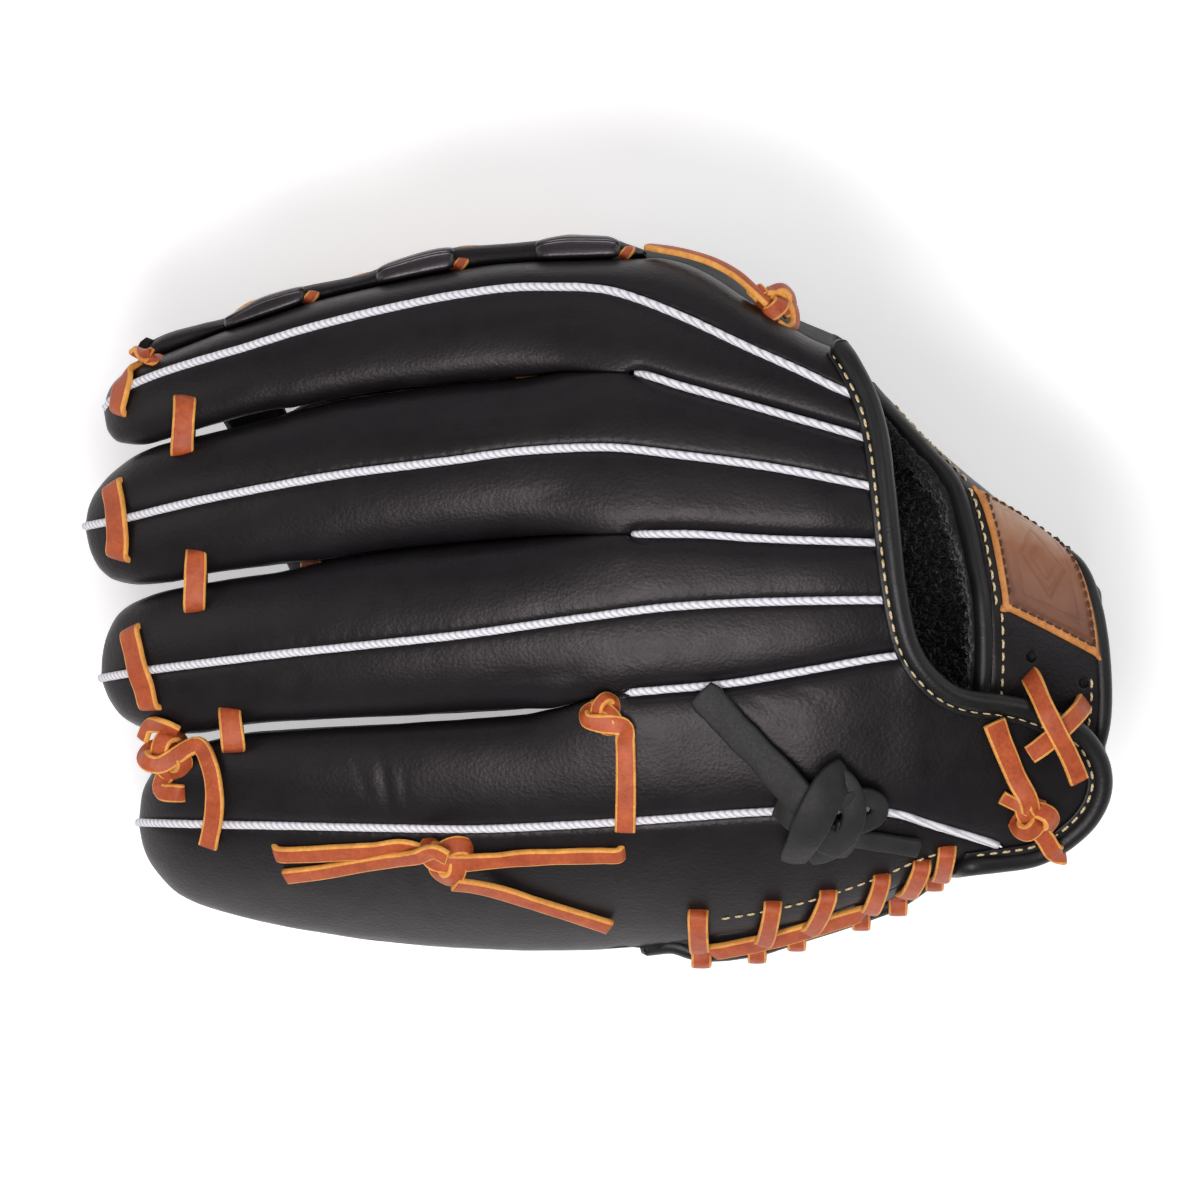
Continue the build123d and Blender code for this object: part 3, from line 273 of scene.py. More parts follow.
def thumb_top(t, x):
    y0, y1 = THUMB_LOW(x), THUMB_HIGH(x)
    y = (y0 + y1) / 2 + t * (y1 - y0) / 2
    return y, THUMB_MID(x) + GAP + THUMB_HALF(x) * pill(abs(t), 2.6) * tip_round(x, THUMB_TIP)

THUMB_SEAM_T = -0.3
THUMB_WALL = {
    14: [(76.5, 17), (92, 27), (99.5, 40), (101, 50)],
    30: [(80.5, 17), (91, 28), (97, 40), (98, 50)],
    45: [(81.5, 17), (87, 28), (90, 40), (90, 50)],
    58: [(76.5, 18), (80, 29), (81.5, 40), (81.5, 50)],
    72: [(71.5, 20), (74, 30), (75, 40), (75, 49)],
    86: [(64.8, 24), (67, 32), (68, 40), (68, 46)],
}

WEB_EDGE = curve([(-140, 71.6), (-136.8, 77.4), (-120.6, 83.4), (-113.1, 85.2), (-101.7, 91.1), (-90.9, 94.2), (-70.2, 98.6), (-62.6, 101.7), (-47.3, 105.8), (-19.8, 108), (-9.3, 109.5), (1.8, 109.2), (8.4, 107.1), (16.2, 104.4)])


def web_point(x, s):
    """s runs round the web's arc from the index finger (0) to the thumb (1)."""
    xi = max(x, -133.8)
    y0 = TOP["index"](xi) + 1.2
    z0 = base(xi, y0) - half_depth(xi) - 3.0
    xt = max(x, -96.0)
    y3, z3 = THUMB_HIGH(xt) + 1.5, THUMB_MID(xt)
    lo, hi = y0, 200.0
    for _ in range(30):
        c = (lo + hi) / 2
        m = max((1 - q) ** 3 * y0 + 3 * (1 - q) ** 2 * q * c + 3 * (1 - q) * q * q * c + q**3 * y3 for q in (i / 20 for i in range(21)))
        if m < WEB_EDGE(x) - 1.5:
            lo = c
        else:
            hi = c
    b = ((1 - s) ** 3, 3 * (1 - s) ** 2 * s, 3 * (1 - s) * s * s, s**3)
    y = b[0] * y0 + b[1] * c + b[2] * c + b[3] * y3
    z = b[0] * z0 + b[1] * (z0 - 28) + b[2] * 10 + b[3] * z3
    return (x, y, z)


def web_normal(x, s):
    a, b = web_point(x, max(0, s - 0.02)), web_point(x, min(1, s + 0.02))
    return unit((0, -(b[2] - a[2]), b[1] - a[1]))


def skin(x, y):
    """Height of the leather on the back at a point."""
    best = None
    for f in ("index", "middle", "ring", "pinky"):
        lo, hi, s = BOT[f](x), TOP[f](x), SEAM[f](x)
        if f == "pinky" and x > 86:
            hi = FLAP_TOP(x)
        if lo <= y <= hi and x > TIP[f]:
            side = 1 if y >= s else -1
            t = (y - s) / ((hi if side > 0 else lo) - s)
            return base(x, y) - groove(f, side, x) * half_depth(x) * (1 - tip_round(x, TIP[f]) * pill(t))
    return base(x, y) - 3.0


def lie(points, lift=1.6):
    """Route on the back through plan points, each with its own extra lift."""
    out = []
    for p in points:
        extra = p[2] if len(p) > 2 else 0.0
        out.append((p[0], p[1], skin(p[0], p[1]) + lift + extra))
    return out


# ------------------------------------------------------------------ materials
def new_mat(name):
    m = bpy.data.materials.new(name)
    m.use_nodes = True
    nt = m.node_tree
    for n in list(nt.nodes):
        if n.type not in ("BSDF_PRINCIPLED", "OUTPUT_MATERIAL"):
            nt.nodes.remove(n)
    return m, nt, nt.nodes["Principled BSDF"]


def nd(nt, kind, **kw):
    n = nt.nodes.new(kind)
    for k, v in kw.items():
        if k.startswith("in_"):
            n.inputs[int(k[3:]) if k[3:].isdigit() else k[3:].replace("_", " ")].default_value = v
        else:
            setattr(n, k, v)
    return n


def coords(nt, scale=(1, 1, 1), rot=(0, 0, 0)):
    tc = nd(nt, "ShaderNodeTexCoord")
    mp = nd(nt, "ShaderNodeMapping")
    mp.inputs["Scale"].default_value = scale
    mp.inputs["Rotation"].default_value = rot
    nt.links.new(tc.outputs["Object"], mp.inputs["Vector"])
    return mp.outputs["Vector"]


def noise_tex(nt, vec, scale, detail=4, rough=0.5, dist=0.0):
    n = nd(nt, "ShaderNodeTexNoise")
    n.inputs["Scale"].default_value = scale
    n.inputs["Detail"].default_value = detail
    n.inputs["Roughness"].default_value = rough
    n.inputs["Distortion"].default_value = dist
    nt.links.new(vec, n.inputs["Vector"])
    return n.outputs["Fac"]


def voronoi(nt, vec, scale, feature="F1", rnd=1.0):
    n = nd(nt, "ShaderNodeTexVoronoi")
    n.feature = feature
    n.inputs["Scale"].default_value = scale
    n.inputs["Randomness"].default_value = rnd
    nt.links.new(vec, n.inputs["Vector"])
    return n.outputs["Distance"]


def ramp(nt, fac, stops):
    r = nd(nt, "ShaderNodeValToRGB")
    el = r.color_ramp.elements
    while len(el) < len(stops):
        el.new(0.5)
    for e, (p, c) in zip(el, stops):
        e.position = p
        e.color = (*c, 1) if len(c) == 3 else c
    nt.links.new(fac, r.inputs["Fac"])
    return r.outputs["Color"]


def mapr(nt, fac, a, b, c, d):
    r = nd(nt, "ShaderNodeMapRange")
    for i, v in enumerate((a, b, c, d)):
        r.inputs[i + 1].default_value = v
    nt.links.new(fac, r.inputs[0])
    return r.outputs[0]


def math_n(nt, op, a, b):
    m = nd(nt, "ShaderNodeMath", operation=op)
    for i, v in enumerate((a, b)):
        if isinstance(v, (int, float)):
            m.inputs[i].default_value = v
        else:
            nt.links.new(v, m.inputs[i])
    return m.outputs[0]


def bump(nt, height, strength, dist, prev=None):
    b = nd(nt, "ShaderNodeBump")
    b.inputs["Strength"].default_value = strength
    b.inputs["Distance"].default_value = dist
    nt.links.new(height, b.inputs["Height"])
    if prev is not None:
        nt.links.new(prev, b.inputs["Normal"])
    return b.outputs["Normal"]


def leather(name, dark, light, rough=(0.36, 0.52), grain=1.0, grain_scale=900, spec=0.4, coat=0.0, crease=0.5, tint=(1, 1, 1)):
    m, nt, p = new_mat(name)
    v = coords(nt)
    big = noise_tex(nt, v, 22, 5, 0.55)
    mid = noise_tex(nt, v, 130, 5, 0.6)
    col = ramp(nt, math_n(nt, "ADD", math_n(nt, "MULTIPLY", big, 0.65), math_n(nt, "MULTIPLY", mid, 0.35)), [(0.32, dark), (0.68, light)])
    nt.links.new(col, p.inputs["Base Color"])
    fine = noise_tex(nt, v, grain_scale * 2.2, 3, 0.6)
    cells = voronoi(nt, v, grain_scale, "F1")
    crs = noise_tex(nt, coords(nt, (1.0, 3.2, 1.0), (0, 0, 0.35)), 120, 6, 0.62, 0.8)
    crs = ramp(nt, crs, [(0.40, (0.0, 0.0, 0.0)), (0.50, (1, 1, 1)), (0.60, (0.2, 0.2, 0.2))])
    nt.links.new(mapr(nt, math_n(nt, "ADD", math_n(nt, "MULTIPLY", mid, 0.7), math_n(nt, "MULTIPLY", fine, 0.3)), 0.3, 0.7, rough[0], rough[1]), p.inputs["Roughness"])
    n1 = bump(nt, crs, 0.12 * crease, 0.0006)
    n2 = bump(nt, cells, 0.20 * grain, 0.00030, n1)
    n3 = bump(nt, fine, 0.15 * grain, 0.00018, n2)
    nt.links.new(n3, p.inputs["Normal"])
    p.inputs["Specular IOR Level"].default_value = spec
    p.inputs["Specular Tint"].default_value = (*tint, 1)
    if coat:
        p.inputs["Coat Weight"].default_value = coat
        p.inputs["Coat Roughness"].default_value = 0.3
    return m


def lace_mat(name, dark, light, rough=0.5, fibre=1.0):
    m, nt, p = new_mat(name)
    v = coords(nt)
    a = noise_tex(nt, v, 160, 6, 0.65)
    b = noise_tex(nt, v, 900, 4, 0.7)
    f = math_n(nt, "ADD", math_n(nt, "MULTIPLY", a, 0.6), math_n(nt, "MULTIPLY", b, 0.4))
    mid = tuple((dark[i] + light[i]) / 2 for i in range(3))
    nt.links.new(ramp(nt, f, [(0.34, dark), (0.5, mid), (0.64, light)]), p.inputs["Base Color"])
    nt.links.new(mapr(nt, b, 0.3, 0.7, rough - 0.08, rough + 0.12), p.inputs["Roughness"])
    n1 = bump(nt, a, 0.25 * fibre, 0.0006)
    n2 = bump(nt, b, 0.45 * fibre, 0.0003, n1)
    nt.links.new(n2, p.inputs["Normal"])
    p.inputs["Specular IOR Level"].default_value = 0.35
    return m


def fibre_mat(name, dark, light, scale, rough=0.85, sheen=0.3, strength=0.7, dist=0.0006):
    m, nt, p = new_mat(name)
    v = coords(nt)
    a = noise_tex(nt, v, scale, 6, 0.7)
    b = voronoi(nt, v, scale * 1.6)
    f = math_n(nt, "ADD", math_n(nt, "MULTIPLY", a, 0.7), math_n(nt, "MULTIPLY", b, 0.4))
    nt.links.new(ramp(nt, f, [(0.35, dark), (0.75, light)]), p.inputs["Base Color"])
    nt.links.new(mapr(nt, a, 0.3, 0.7, rough - 0.08, rough + 0.1), p.inputs["Roughness"])
    nt.links.new(bump(nt, f, strength, dist), p.inputs["Normal"])
    p.inputs["Sheen Weight"].default_value = sheen
    p.inputs["Sheen Roughness"].default_value = 0.5
    p.inputs["Specular IOR Level"].default_value = 0.2
    return m


def woven_mat(name, dark, light, scale=1500, rough=0.7):
    m, nt, p = new_mat(name)
    v = coords(nt)
    w = nd(nt, "ShaderNodeTexWave", wave_type="BANDS", bands_direction="DIAGONAL")
    w.inputs["Scale"].default_value = scale / 6.0
    w.inputs["Distortion"].default_value = 1.2
    w.inputs["Detail"].default_value = 2
    nt.links.new(v, w.inputs["Vector"])
    a = noise_tex(nt, v, scale, 4, 0.7)
    f = math_n(nt, "ADD", math_n(nt, "MULTIPLY", w.outputs["Fac"], 0.55), math_n(nt, "MULTIPLY", a, 0.5))
    nt.links.new(ramp(nt, f, [(0.2, dark), (0.6, light)]), p.inputs["Base Color"])
    nt.links.new(mapr(nt, a, 0.3, 0.7, rough - 0.1, rough + 0.1), p.inputs["Roughness"])
    nt.links.new(bump(nt, f, 0.6, 0.0004), p.inputs["Normal"])
    p.inputs["Specular IOR Level"].default_value = 0.3
    return m


BLACK = leather("black_steerhide", (0.0048, 0.0044, 0.0050), (0.0098, 0.0086, 0.0097), (0.35, 0.46), 1.0, 850, 0.24, tint=(1.0, 0.93, 0.95))
PALM_M = leather("palm_steerhide", (0.0054, 0.0048, 0.0053), (0.0110, 0.0096, 0.0104), (0.40, 0.54), 1.2, 700, 0.24, crease=0.9, tint=(1.0, 0.93, 0.95))
# painted shade: a darker, less glossy copy of the black leather for the wall of the crease, where shade falls
SHADED_WALL_M = leather("crease_wall_steerhide_painted_shade", (0.0045, 0.0041, 0.0046), (0.0090, 0.0080, 0.0088), (0.50, 0.62), 1.0, 850, 0.12, tint=(1.0, 0.93, 0.95))
ROLL = leather("rolled_binding", (0.0046, 0.0046, 0.0050), (0.0090, 0.0088, 0.0094), (0.36, 0.48), 0.7, 1100, 0.3)
TAN = lace_mat("tan_lace", (0.27, 0.040, 0.010), (0.47, 0.100, 0.026), 0.48)
TAN_EDGE = lace_mat("tan_lace_cut_edge", (0.50, 0.18, 0.030), (0.80, 0.40, 0.085), 0.6)
BLACK_LACE = lace_mat("black_lace", (0.0045, 0.0045, 0.0048), (0.014, 0.0135, 0.0142), 0.58, 1.2)
WHITE = woven_mat("white_welting", (0.40, 0.40, 0.43), (0.74, 0.74, 0.77))
THREAD = woven_mat("cream_thread", (0.36, 0.27, 0.12), (0.70, 0.58, 0.34), 2600, 0.55)
DARK_THREAD = woven_mat("brown_thread", (0.035, 0.016, 0.008), (0.085, 0.04, 0.018), 2600, 0.6)
FUR = fibre_mat("black_shearling", (0.0016, 0.0016, 0.002), (0.012, 0.012, 0.014), 420, 0.9, 0.25, 1.0, 0.0012)
SOFT = leather("soft_lining", (0.010, 0.009, 0.009), (0.022, 0.019, 0.018), (0.55, 0.7), 0.8, 600, 0.3)
FELT = fibre_mat("wool_felt", (0.30, 0.27, 0.23), (0.52, 0.48, 0.42), 500)


def patch_material():
    m, nt, p = new_mat("patch_painted_sheen")
    v = coords(nt)
    a = noise_tex(nt, v, 55, 6, 0.6)
    b = noise_tex(nt, v, 1100, 4, 0.7)
    sep = nd(nt, "ShaderNodeSeparateXYZ")
    nt.links.new(v, sep.inputs[0])
    # painted sheen: the colour is mapped lighter towards +X and +Y of the patch, standing in for light caught on that
    # side
    lift = mapr(nt, math_n(nt, "ADD", math_n(nt, "MULTIPLY", sep.outputs[1], 0.9), math_n(nt, "MULTIPLY", sep.outputs[0], 0.35)), 0.044, 0.074, 0.0, 1.0)
    f = math_n(nt, "ADD", math_n(nt, "MULTIPLY", lift, 0.62), math_n(nt, "MULTIPLY", a, 0.42))
    nt.links.new(ramp(nt, f, [(0.22, (0.13, 0.042, 0.017)), (0.5, (0.24, 0.092, 0.040)), (0.85, (0.50, 0.33, 0.22))]), p.inputs["Base Color"])
    nt.links.new(mapr(nt, b, 0.3, 0.7, 0.34, 0.5), p.inputs["Roughness"])
    n1 = bump(nt, a, 0.1, 0.0006)
    nt.links.new(bump(nt, b, 0.25, 0.0002, n1), p.inputs["Normal"])
    return m


PATCH = patch_material()
PATCH_EDGE = lace_mat("patch_cut_edge", (0.34, 0.12, 0.03), (0.62, 0.27, 0.075), 0.5)


# ------------------------------------------------------------------ mesh tools
TUCKED = ("palm_leather_sheet", "thumb_back_outer_leather", "thumb_back_inner_leather", "thumb_front_leather", "thumb_lining_leather",
          "thumb_welt_strip", "thumb_heel_rolled_binding", "heel_edge_rolled_binding", "crotch_rolled_binding", "crotch_wall_leather", "strap_tail_leather")
HEEL_SIDE = curve([(60, 86), (70, 78.5), (78, 70), (86, 59.5), (92, 51.5), (105.6, 37.5), (120.9, 25.5), (135.9, 15.5), (156, 6)])


def tuck(vs):
    """Draws the heel in under the strap, where the leather is pulled tight round the wrist."""
    out = vs.copy()
    for i in range(len(out)):
        x, y, z = out[i]
        if x <= 70:
            continue
        s_ = HEEL_SIDE(min(x, 154)) + 5.0
        pv = s_ - 27.0
        if y > pv:
            y2 = pv + 27.0 * (1 - math.exp(-(y - pv) / 27.0))
            out[i, 1] = y + (y2 - y) * smooth(70, 84, x) * (1 - smooth(80, 92, z))
    return out


def add_mesh(name, verts, faces, mats, face_mat=None, smooth_faces=True):
    me = bpy.data.meshes.new(name)
    vs = np.asarray(verts, float)
    if name in TUCKED:
        vs = tuck(vs)
    vs[:, 2] = np.maximum(vs[:, 2], 0.04)
    vs = vs * MM
    me.from_pydata([tuple(v) for v in vs], [], [tuple(int(i) for i in f) for f in faces])
    for m in mats if isinstance(mats, (list, tuple)) else [mats]:
        me.materials.append(m)
    if face_mat is not None:
        me.polygons.foreach_set("material_index", np.asarray(face_mat, np.int32))
    me.polygons.foreach_set("use_smooth", np.full(len(me.polygons), smooth_faces))
    me.validate()
    me.update()
    o = bpy.data.objects.new(name, me)
    bpy.context.scene.collection.objects.link(o)
    return o


def settle(o, body, nodes=(), flex=False):
    """Give a finished piece its body and the nodes it stands for."""
    if flex:
        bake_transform(o)
    else:
        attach(o, body)
    if nodes:
        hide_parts(*nodes)
    return o


class Soup:
    """Collects several closed forms into one mesh."""

    def __init__(self):
        self.v, self.f, self.m = [], [], []

    def add(self, verts, faces, mat=0):
        k = len(self.v)
        self.v.extend([tuple(p) for p in verts])
        self.f.extend([tuple(i + k for i in f) for f in faces])
        self.m.extend(mat if isinstance(mat, list) else [mat] * len(faces))

    def make(self, name, mats):
        return add_mesh(name, self.v, self.f, mats, self.m)


def grid_normals(g):
    du = np.gradient(g, axis=0)
    dv = np.gradient(g, axis=1)
    n = np.cross(du, dv)
    ln = np.linalg.norm(n, axis=2, keepdims=True)
    ln[ln < 1e-9] = 1
    return n / ln


def shell(grid, thick, flip=False, roll=0.42, skin_mat=0, back_mat=0):
    """Closed leather sheet: grid is the outer face, thick may be an array."""
    g = np.asarray(grid, float)
    n = grid_normals(g)
    if flip:
        n = -n
    th = np.asarray(thick, float)
    th = th[..., None] if th.ndim else th
    inner = g - n * th
    nu, nv = g.shape[:2]
    verts = np.concatenate([g.reshape(-1, 3), inner.reshape(-1, 3)])
    off = nu * nv
    faces, mats = [], []

    def q(a, b, c, d, m):
        faces.append((a, b, c, d) if not flip else (d, c, b, a))
        mats.append(m)

    for i in range(nu - 1):
        for j in range(nv - 1):
            a, b, c, d = i * nv + j, (i + 1) * nv + j, (i + 1) * nv + j + 1, i * nv + j + 1
            q(a, b, c, d, skin_mat)
            q(off + d, off + c, off + b, off + a, back_mat)
    loop = [(i, 0) for i in range(nu)] + [(nu - 1, j) for j in range(1, nv)] + [(i, nv - 1) for i in range(nu - 2, -1, -1)] + [(0, j) for j in range(nv - 2, 0, -1)]
    ring = []
    base_i = len(verts)
    extra = []
    thm = np.broadcast_to(th if np.ndim(th) else np.array(th), (nu, nv, 1)) if np.ndim(th) else np.full((nu, nv, 1), float(thick))
    for i, j in loop:
        ii = 1 if i == 0 else (nu - 2 if i == nu - 1 else i)
        jj = 1 if j == 0 else (nv - 2 if j == nv - 1 else j)
        out = g[i, j] - g[ii, jj]
        ln = np.linalg.norm(out)
        out = out / ln if ln > 1e-9 else out
        extra.append((g[i, j] + inner[i, j]) / 2 + out * thm[i, j, 0] * roll)
        ring.append(i * nv + j)
    verts = np.concatenate([verts, np.array(extra)])
    k = len(loop)
    for s in range(k):
        s2 = (s + 1) % k
        a, b = ring[s], ring[s2]
        m1, m2 = base_i + s, base_i + s2
        faces.append((b, a, m1, m2) if not flip else (m2, m1, a, b))
        faces.append((m2, m1, off + a, off + b) if not flip else (off + b, off + a, m1, m2))
        mats += [skin_mat, skin_mat]
    return verts, faces, mats


def catmull(pts, per=8, closed=False):
    P = np.asarray(pts, float)
    n = len(P)
    if n < 3 and not closed:
        t = np.linspace(0, 1, per + 1)[:, None]
        return P[0] * (1 - t) + P[1] * t
    out = []
    segs = n if closed else n - 1
    for i in range(segs):
        if closed:
            p0, p1, p2, p3 = P[(i - 1) % n], P[i], P[(i + 1) % n], P[(i + 2) % n]
        else:
            p1, p2 = P[i], P[i + 1]
            p0 = P[i - 1] if i > 0 else 2 * p1 - p2
            p3 = P[i + 2] if i + 2 < n else 2 * p2 - p1
        t0, t1 = 0.0, max(1e-6, np.linalg.norm((p1 - p0)[:3])) ** 0.5
        t2 = t1 + max(1e-6, np.linalg.norm((p2 - p1)[:3])) ** 0.5
        t3 = t2 + max(1e-6, np.linalg.norm((p3 - p2)[:3])) ** 0.5
        for k in range(per):
            t = t1 + (t2 - t1) * k / per
            a1 = (t1 - t) / (t1 - t0) * p0 + (t - t0) / (t1 - t0) * p1
            a2 = (t2 - t) / (t2 - t1) * p1 + (t - t1) / (t2 - t1) * p2
            a3 = (t3 - t) / (t3 - t2) * p2 + (t - t2) / (t3 - t2) * p3
            b1 = (t2 - t) / (t2 - t0) * a1 + (t - t0) / (t2 - t0) * a2
            b2 = (t3 - t) / (t3 - t1) * a2 + (t - t1) / (t3 - t1) * a3
            out.append((t2 - t) / (t2 - t1) * b1 + (t - t1) / (t2 - t1) * b2)
    if not closed:
        out.append(P[-1])
    return np.array(out)


def frames(path, ups):
    T = np.gradient(path, axis=0)
    T /= np.maximum(np.linalg.norm(T, axis=1, keepdims=True), 1e-9)
    U = np.asarray(ups, float)
    U = U - (U * T).sum(1, keepdims=True) * T
    U /= np.maximum(np.linalg.norm(U, axis=1, keepdims=True), 1e-9)
    S = np.cross(T, U)
    return T, U, S


def strap_form(path, ups, width, thick, round_=0.45, closed=False, arc=5, crown=0.0, seed=0.0, rough=0.0):
    """Flat lace or rolled edge along a path. Returns verts, faces and side flags."""
    path = np.asarray(path, float)
    n = len(path)
    T, U, S = frames(path, ups)
    w = np.broadcast_to(np.asarray(width, float), (n,))
    h = np.broadcast_to(np.asarray(thick, float), (n,))
    prof = []
    r = round_
    for cx, cy, a0 in ((1, 1, 0), (-1, 1, 90), (-1, -1, 180), (1, -1, 270)):
        for k in range(arc):
            a = math.radians(a0 + 90 * k / (arc - 1))
            prof.append((cx, cy, math.cos(a), math.sin(a)))
        if (cx, cy) in ((1, 1), (-1, -1)):
            for k in (1, 2, 3):
                prof.append((cx * (1 - 2 * k / 4), cy, 0, 1 if cy > 0 else -1, k))
    m = len(prof)
    verts, tags = [], []
    for i in range(n):
        hh, ww = h[i] / 2, w[i] / 2
        if rough:
            ww *= 1 + rough * noise.noise(Vector((path[i][0] * 0.12, path[i][1] * 0.12, seed)))
        rad = min(hh, ww) * 2 * r
        for p in prof:
            if len(p) == 5:
                a = p[0] * (ww - rad)
                b = p[1] * hh + crown * (1 - (p[0]) ** 2) * p[1]
            else:
                a = p[0] * (ww - rad) + rad * p[2]
                b = p[1] * (hh - rad) + rad * p[3]
            verts.append(path[i] + S[i] * a + U[i] * b)
    side = []
    for k in range(m):
        p, q = prof[k], prof[(k + 1) % m]
        flat = (len(p) == 5) or (len(q) == 5) or (abs(p[3]) > 0.9 and abs(q[3]) > 0.9)
        side.append(0 if flat else 1)
    faces, mats = [], []
    rows = n if closed else n - 1
    for i in range(rows):
        i2 = (i + 1) % n
        for k in range(m):
            k2 = (k + 1) % m
            faces.append((i * m + k, i * m + k2, i2 * m + k2, i2 * m + k))
            mats.append(side[k])
    if not closed:
        for e, rev in ((0, False), (n - 1, True)):
            c = len(verts)
            verts.append(path[e] + (T[e] if e else -T[e]) * 0.15)
            for k in range(m):
                k2 = (k + 1) % m
                f = (c, e * m + k2, e * m + k)
                faces.append(f[::-1] if rev else f)
                mats.append(1)
    return verts, faces, mats


def lace(soup, pts, ups=None, width=LACE_W, thick=LACE_T, per=8, seed=0.0, rough=0.06, taper=None, crown=0.12, closed=False):
    n = len(pts)
    if ups is None:
        ups = [(0, 0, 1)] * n
    both = catmull([tuple(p) + tuple(u) for p, u in zip(pts, ups)], per, closed)
    path, up = both[:, :3], both[:, 3:]
    w = np.full(len(path), float(width))
    if taper:
        t = np.linspace(0, 1, len(path))
        w = w * np.interp(t, [q[0] for q in taper], [q[1] for q in taper])
    v, f, m = strap_form(path, up, w, thick, 0.34, closed, 4, crown, seed, rough)
    soup.add(v, f, m)


def tube(soup, pts, radius, ups=None, per=6, flat=1.0, seg=14, mat=0, closed=False):
    if ups is None:
        ups = [(0, 0, 1)] * len(pts)
    both = catmull([tuple(p) + tuple(u) for p, u in zip(pts, ups)], per, closed)
    path, up = both[:, :3], both[:, 3:]
    T, U, S = frames(path, up)
    n = len(path)
    R = np.broadcast_to(np.asarray(radius, float), (n,)) if np.ndim(radius) == 0 else np.interp(np.linspace(0, 1, n), np.linspace(0, 1, len(radius)), radius)
    verts = []
    for i in range(n):
        for k in range(seg):
            a = 2 * math.pi * k / seg
            verts.append(path[i] + S[i] * (R[i] * math.cos(a)) + U[i] * (R[i] * flat * math.sin(a)))
    faces = []
    rows = n if closed else n - 1
    for i in range(rows):
        i2 = (i + 1) % n
        for k in range(seg):
            k2 = (k + 1) % seg
            faces.append((i * seg + k, i * seg + k2, i2 * seg + k2, i2 * seg + k))
    if not closed:
        for e, sgn in ((0, -1), (n - 1, 1)):
            ringv = []
            for fr, push in ((0.72, 0.62), (0.0, 0.95)):
                if fr > 0:
                    st = len(verts)
                    for k in range(seg):
                        verts.append(path[e] + (np.array(verts[e * seg + k]) - path[e]) * fr + T[e] * sgn * R[e] * push * 0.7)
                    for k in range(seg):
                        k2 = (k + 1) % seg
                        q = (e * seg + k, st + k, st + k2, e * seg + k2)
                        faces.append(q if sgn > 0 else q[::-1])
                    ringv = list(range(st, st + seg))
                else:
                    c = len(verts)
                    verts.append(path[e] + T[e] * sgn * R[e] * push * 0.7)
                    for k in range(seg):
                        k2 = (k + 1) % seg
                        q = (ringv[k], c, ringv[k2])
                        faces.append(q if sgn > 0 else q[::-1])
    soup.add(verts, faces, mat)
    return path


def resample(path, step):
    P = np.asarray(path, float)
    d = np.r_[0, np.cumsum(np.linalg.norm(np.diff(P, axis=0), axis=1))]
    n = max(2, int(round(d[-1] / step)) + 1)
    s = np.linspace(0, d[-1], n)
    return np.stack([np.interp(s, d, P[:, k]) for k in range(3)], 1)


def stitch_row(soup, path, ups, pitch=3.8, length=2.7, radius=0.36, sink=0.05, mat=0):
    """Row of thread stitches, each a small bowed capsule that dives in at both ends."""
    P = np.asarray(path, float)
    U = np.asarray(ups, float) if np.ndim(ups) == 2 else np.tile(np.asarray(ups, float), (len(P), 1))
    d = np.r_[0, np.cumsum(np.linalg.norm(np.diff(P, axis=0), axis=1))]
    total = d[-1]
    count = int(total // pitch)
    for c in range(count):
        s0 = c * pitch + (pitch - length) / 2 + rng.uniform(-0.12, 0.12)
        ss = np.linspace(s0, s0 + length, 6)
        pts = np.stack([np.interp(ss, d, P[:, k]) for k in range(3)], 1)
        up = np.stack([np.interp(ss, d, U[:, k]) for k in range(3)], 1)
        up /= np.linalg.norm(up, axis=1, keepdims=True)
        bow = np.array([-0.75, 0.10, 0.34, 0.34, 0.10, -0.75]) * radius * 1.6 - sink
        pts = pts + up * bow[:, None]
        T, Uu, S = frames(pts, up)
        verts = []
        seg = 6
        rr = np.array([0.55, 0.95, 1.0, 1.0, 0.95, 0.55]) * radius
        for i in range(6):
            for k in range(seg):
                a = 2 * math.pi * k / seg
                verts.append(pts[i] + S[i] * rr[i] * math.cos(a) + Uu[i] * rr[i] * math.sin(a))
        faces = [(i * seg + k, i * seg + (k + 1) % seg, (i + 1) * seg + (k + 1) % seg, (i + 1) * seg + k) for i in range(5) for k in range(seg)]
        faces.append(tuple(reversed(range(seg))))
        faces.append(tuple(5 * seg + k for k in range(seg)))
        soup.add(verts, faces, mat)


# ------------------------------------------------------------------ leather shaping
def nz(p, s, seed=0.0):
    return noise.noise(Vector((p[0] / s + seed, p[1] / s + 3.7 * seed, p[2] / s)))


def undulate(g, n, amp=1.0, seed=0.0):
    """Small hills and hollows of worked leather."""
    out = np.array(g, float)
    nu, nv = out.shape[:2]
    for i in range(nu):
        for j in range(nv):
            p = g[i, j]
            d = 0.42 * nz(p, 36, seed) + 0.20 * nz(p, 15, seed + 5) + 0.07 * nz(p, 6, seed + 9)
            out[i, j] += n[i, j] * d * amp
    return out


def crease_drop(x, y, lines):
    d = 0.0
    for x0, y0, x1, y1, w, deep in lines:
        dx, dy = x1 - x0, y1 - y0
        ll = math.hypot(dx, dy)
        s = ((x - x0) * dx + (y - y0) * dy) / ll
        if s < -w * 2 or s > ll + w * 2:
            continue
        off = ((x - x0) * dy - (y - y0) * dx) / ll
        off += 0.5 * noise.noise(Vector((s * 0.16, x0, y0)))
        ends = smooth(-w, ll * 0.25, s) * (1 - smooth(ll * 0.7, ll + w, s))
        d += deep * math.exp(-((off / w) ** 2)) * ends
    return d


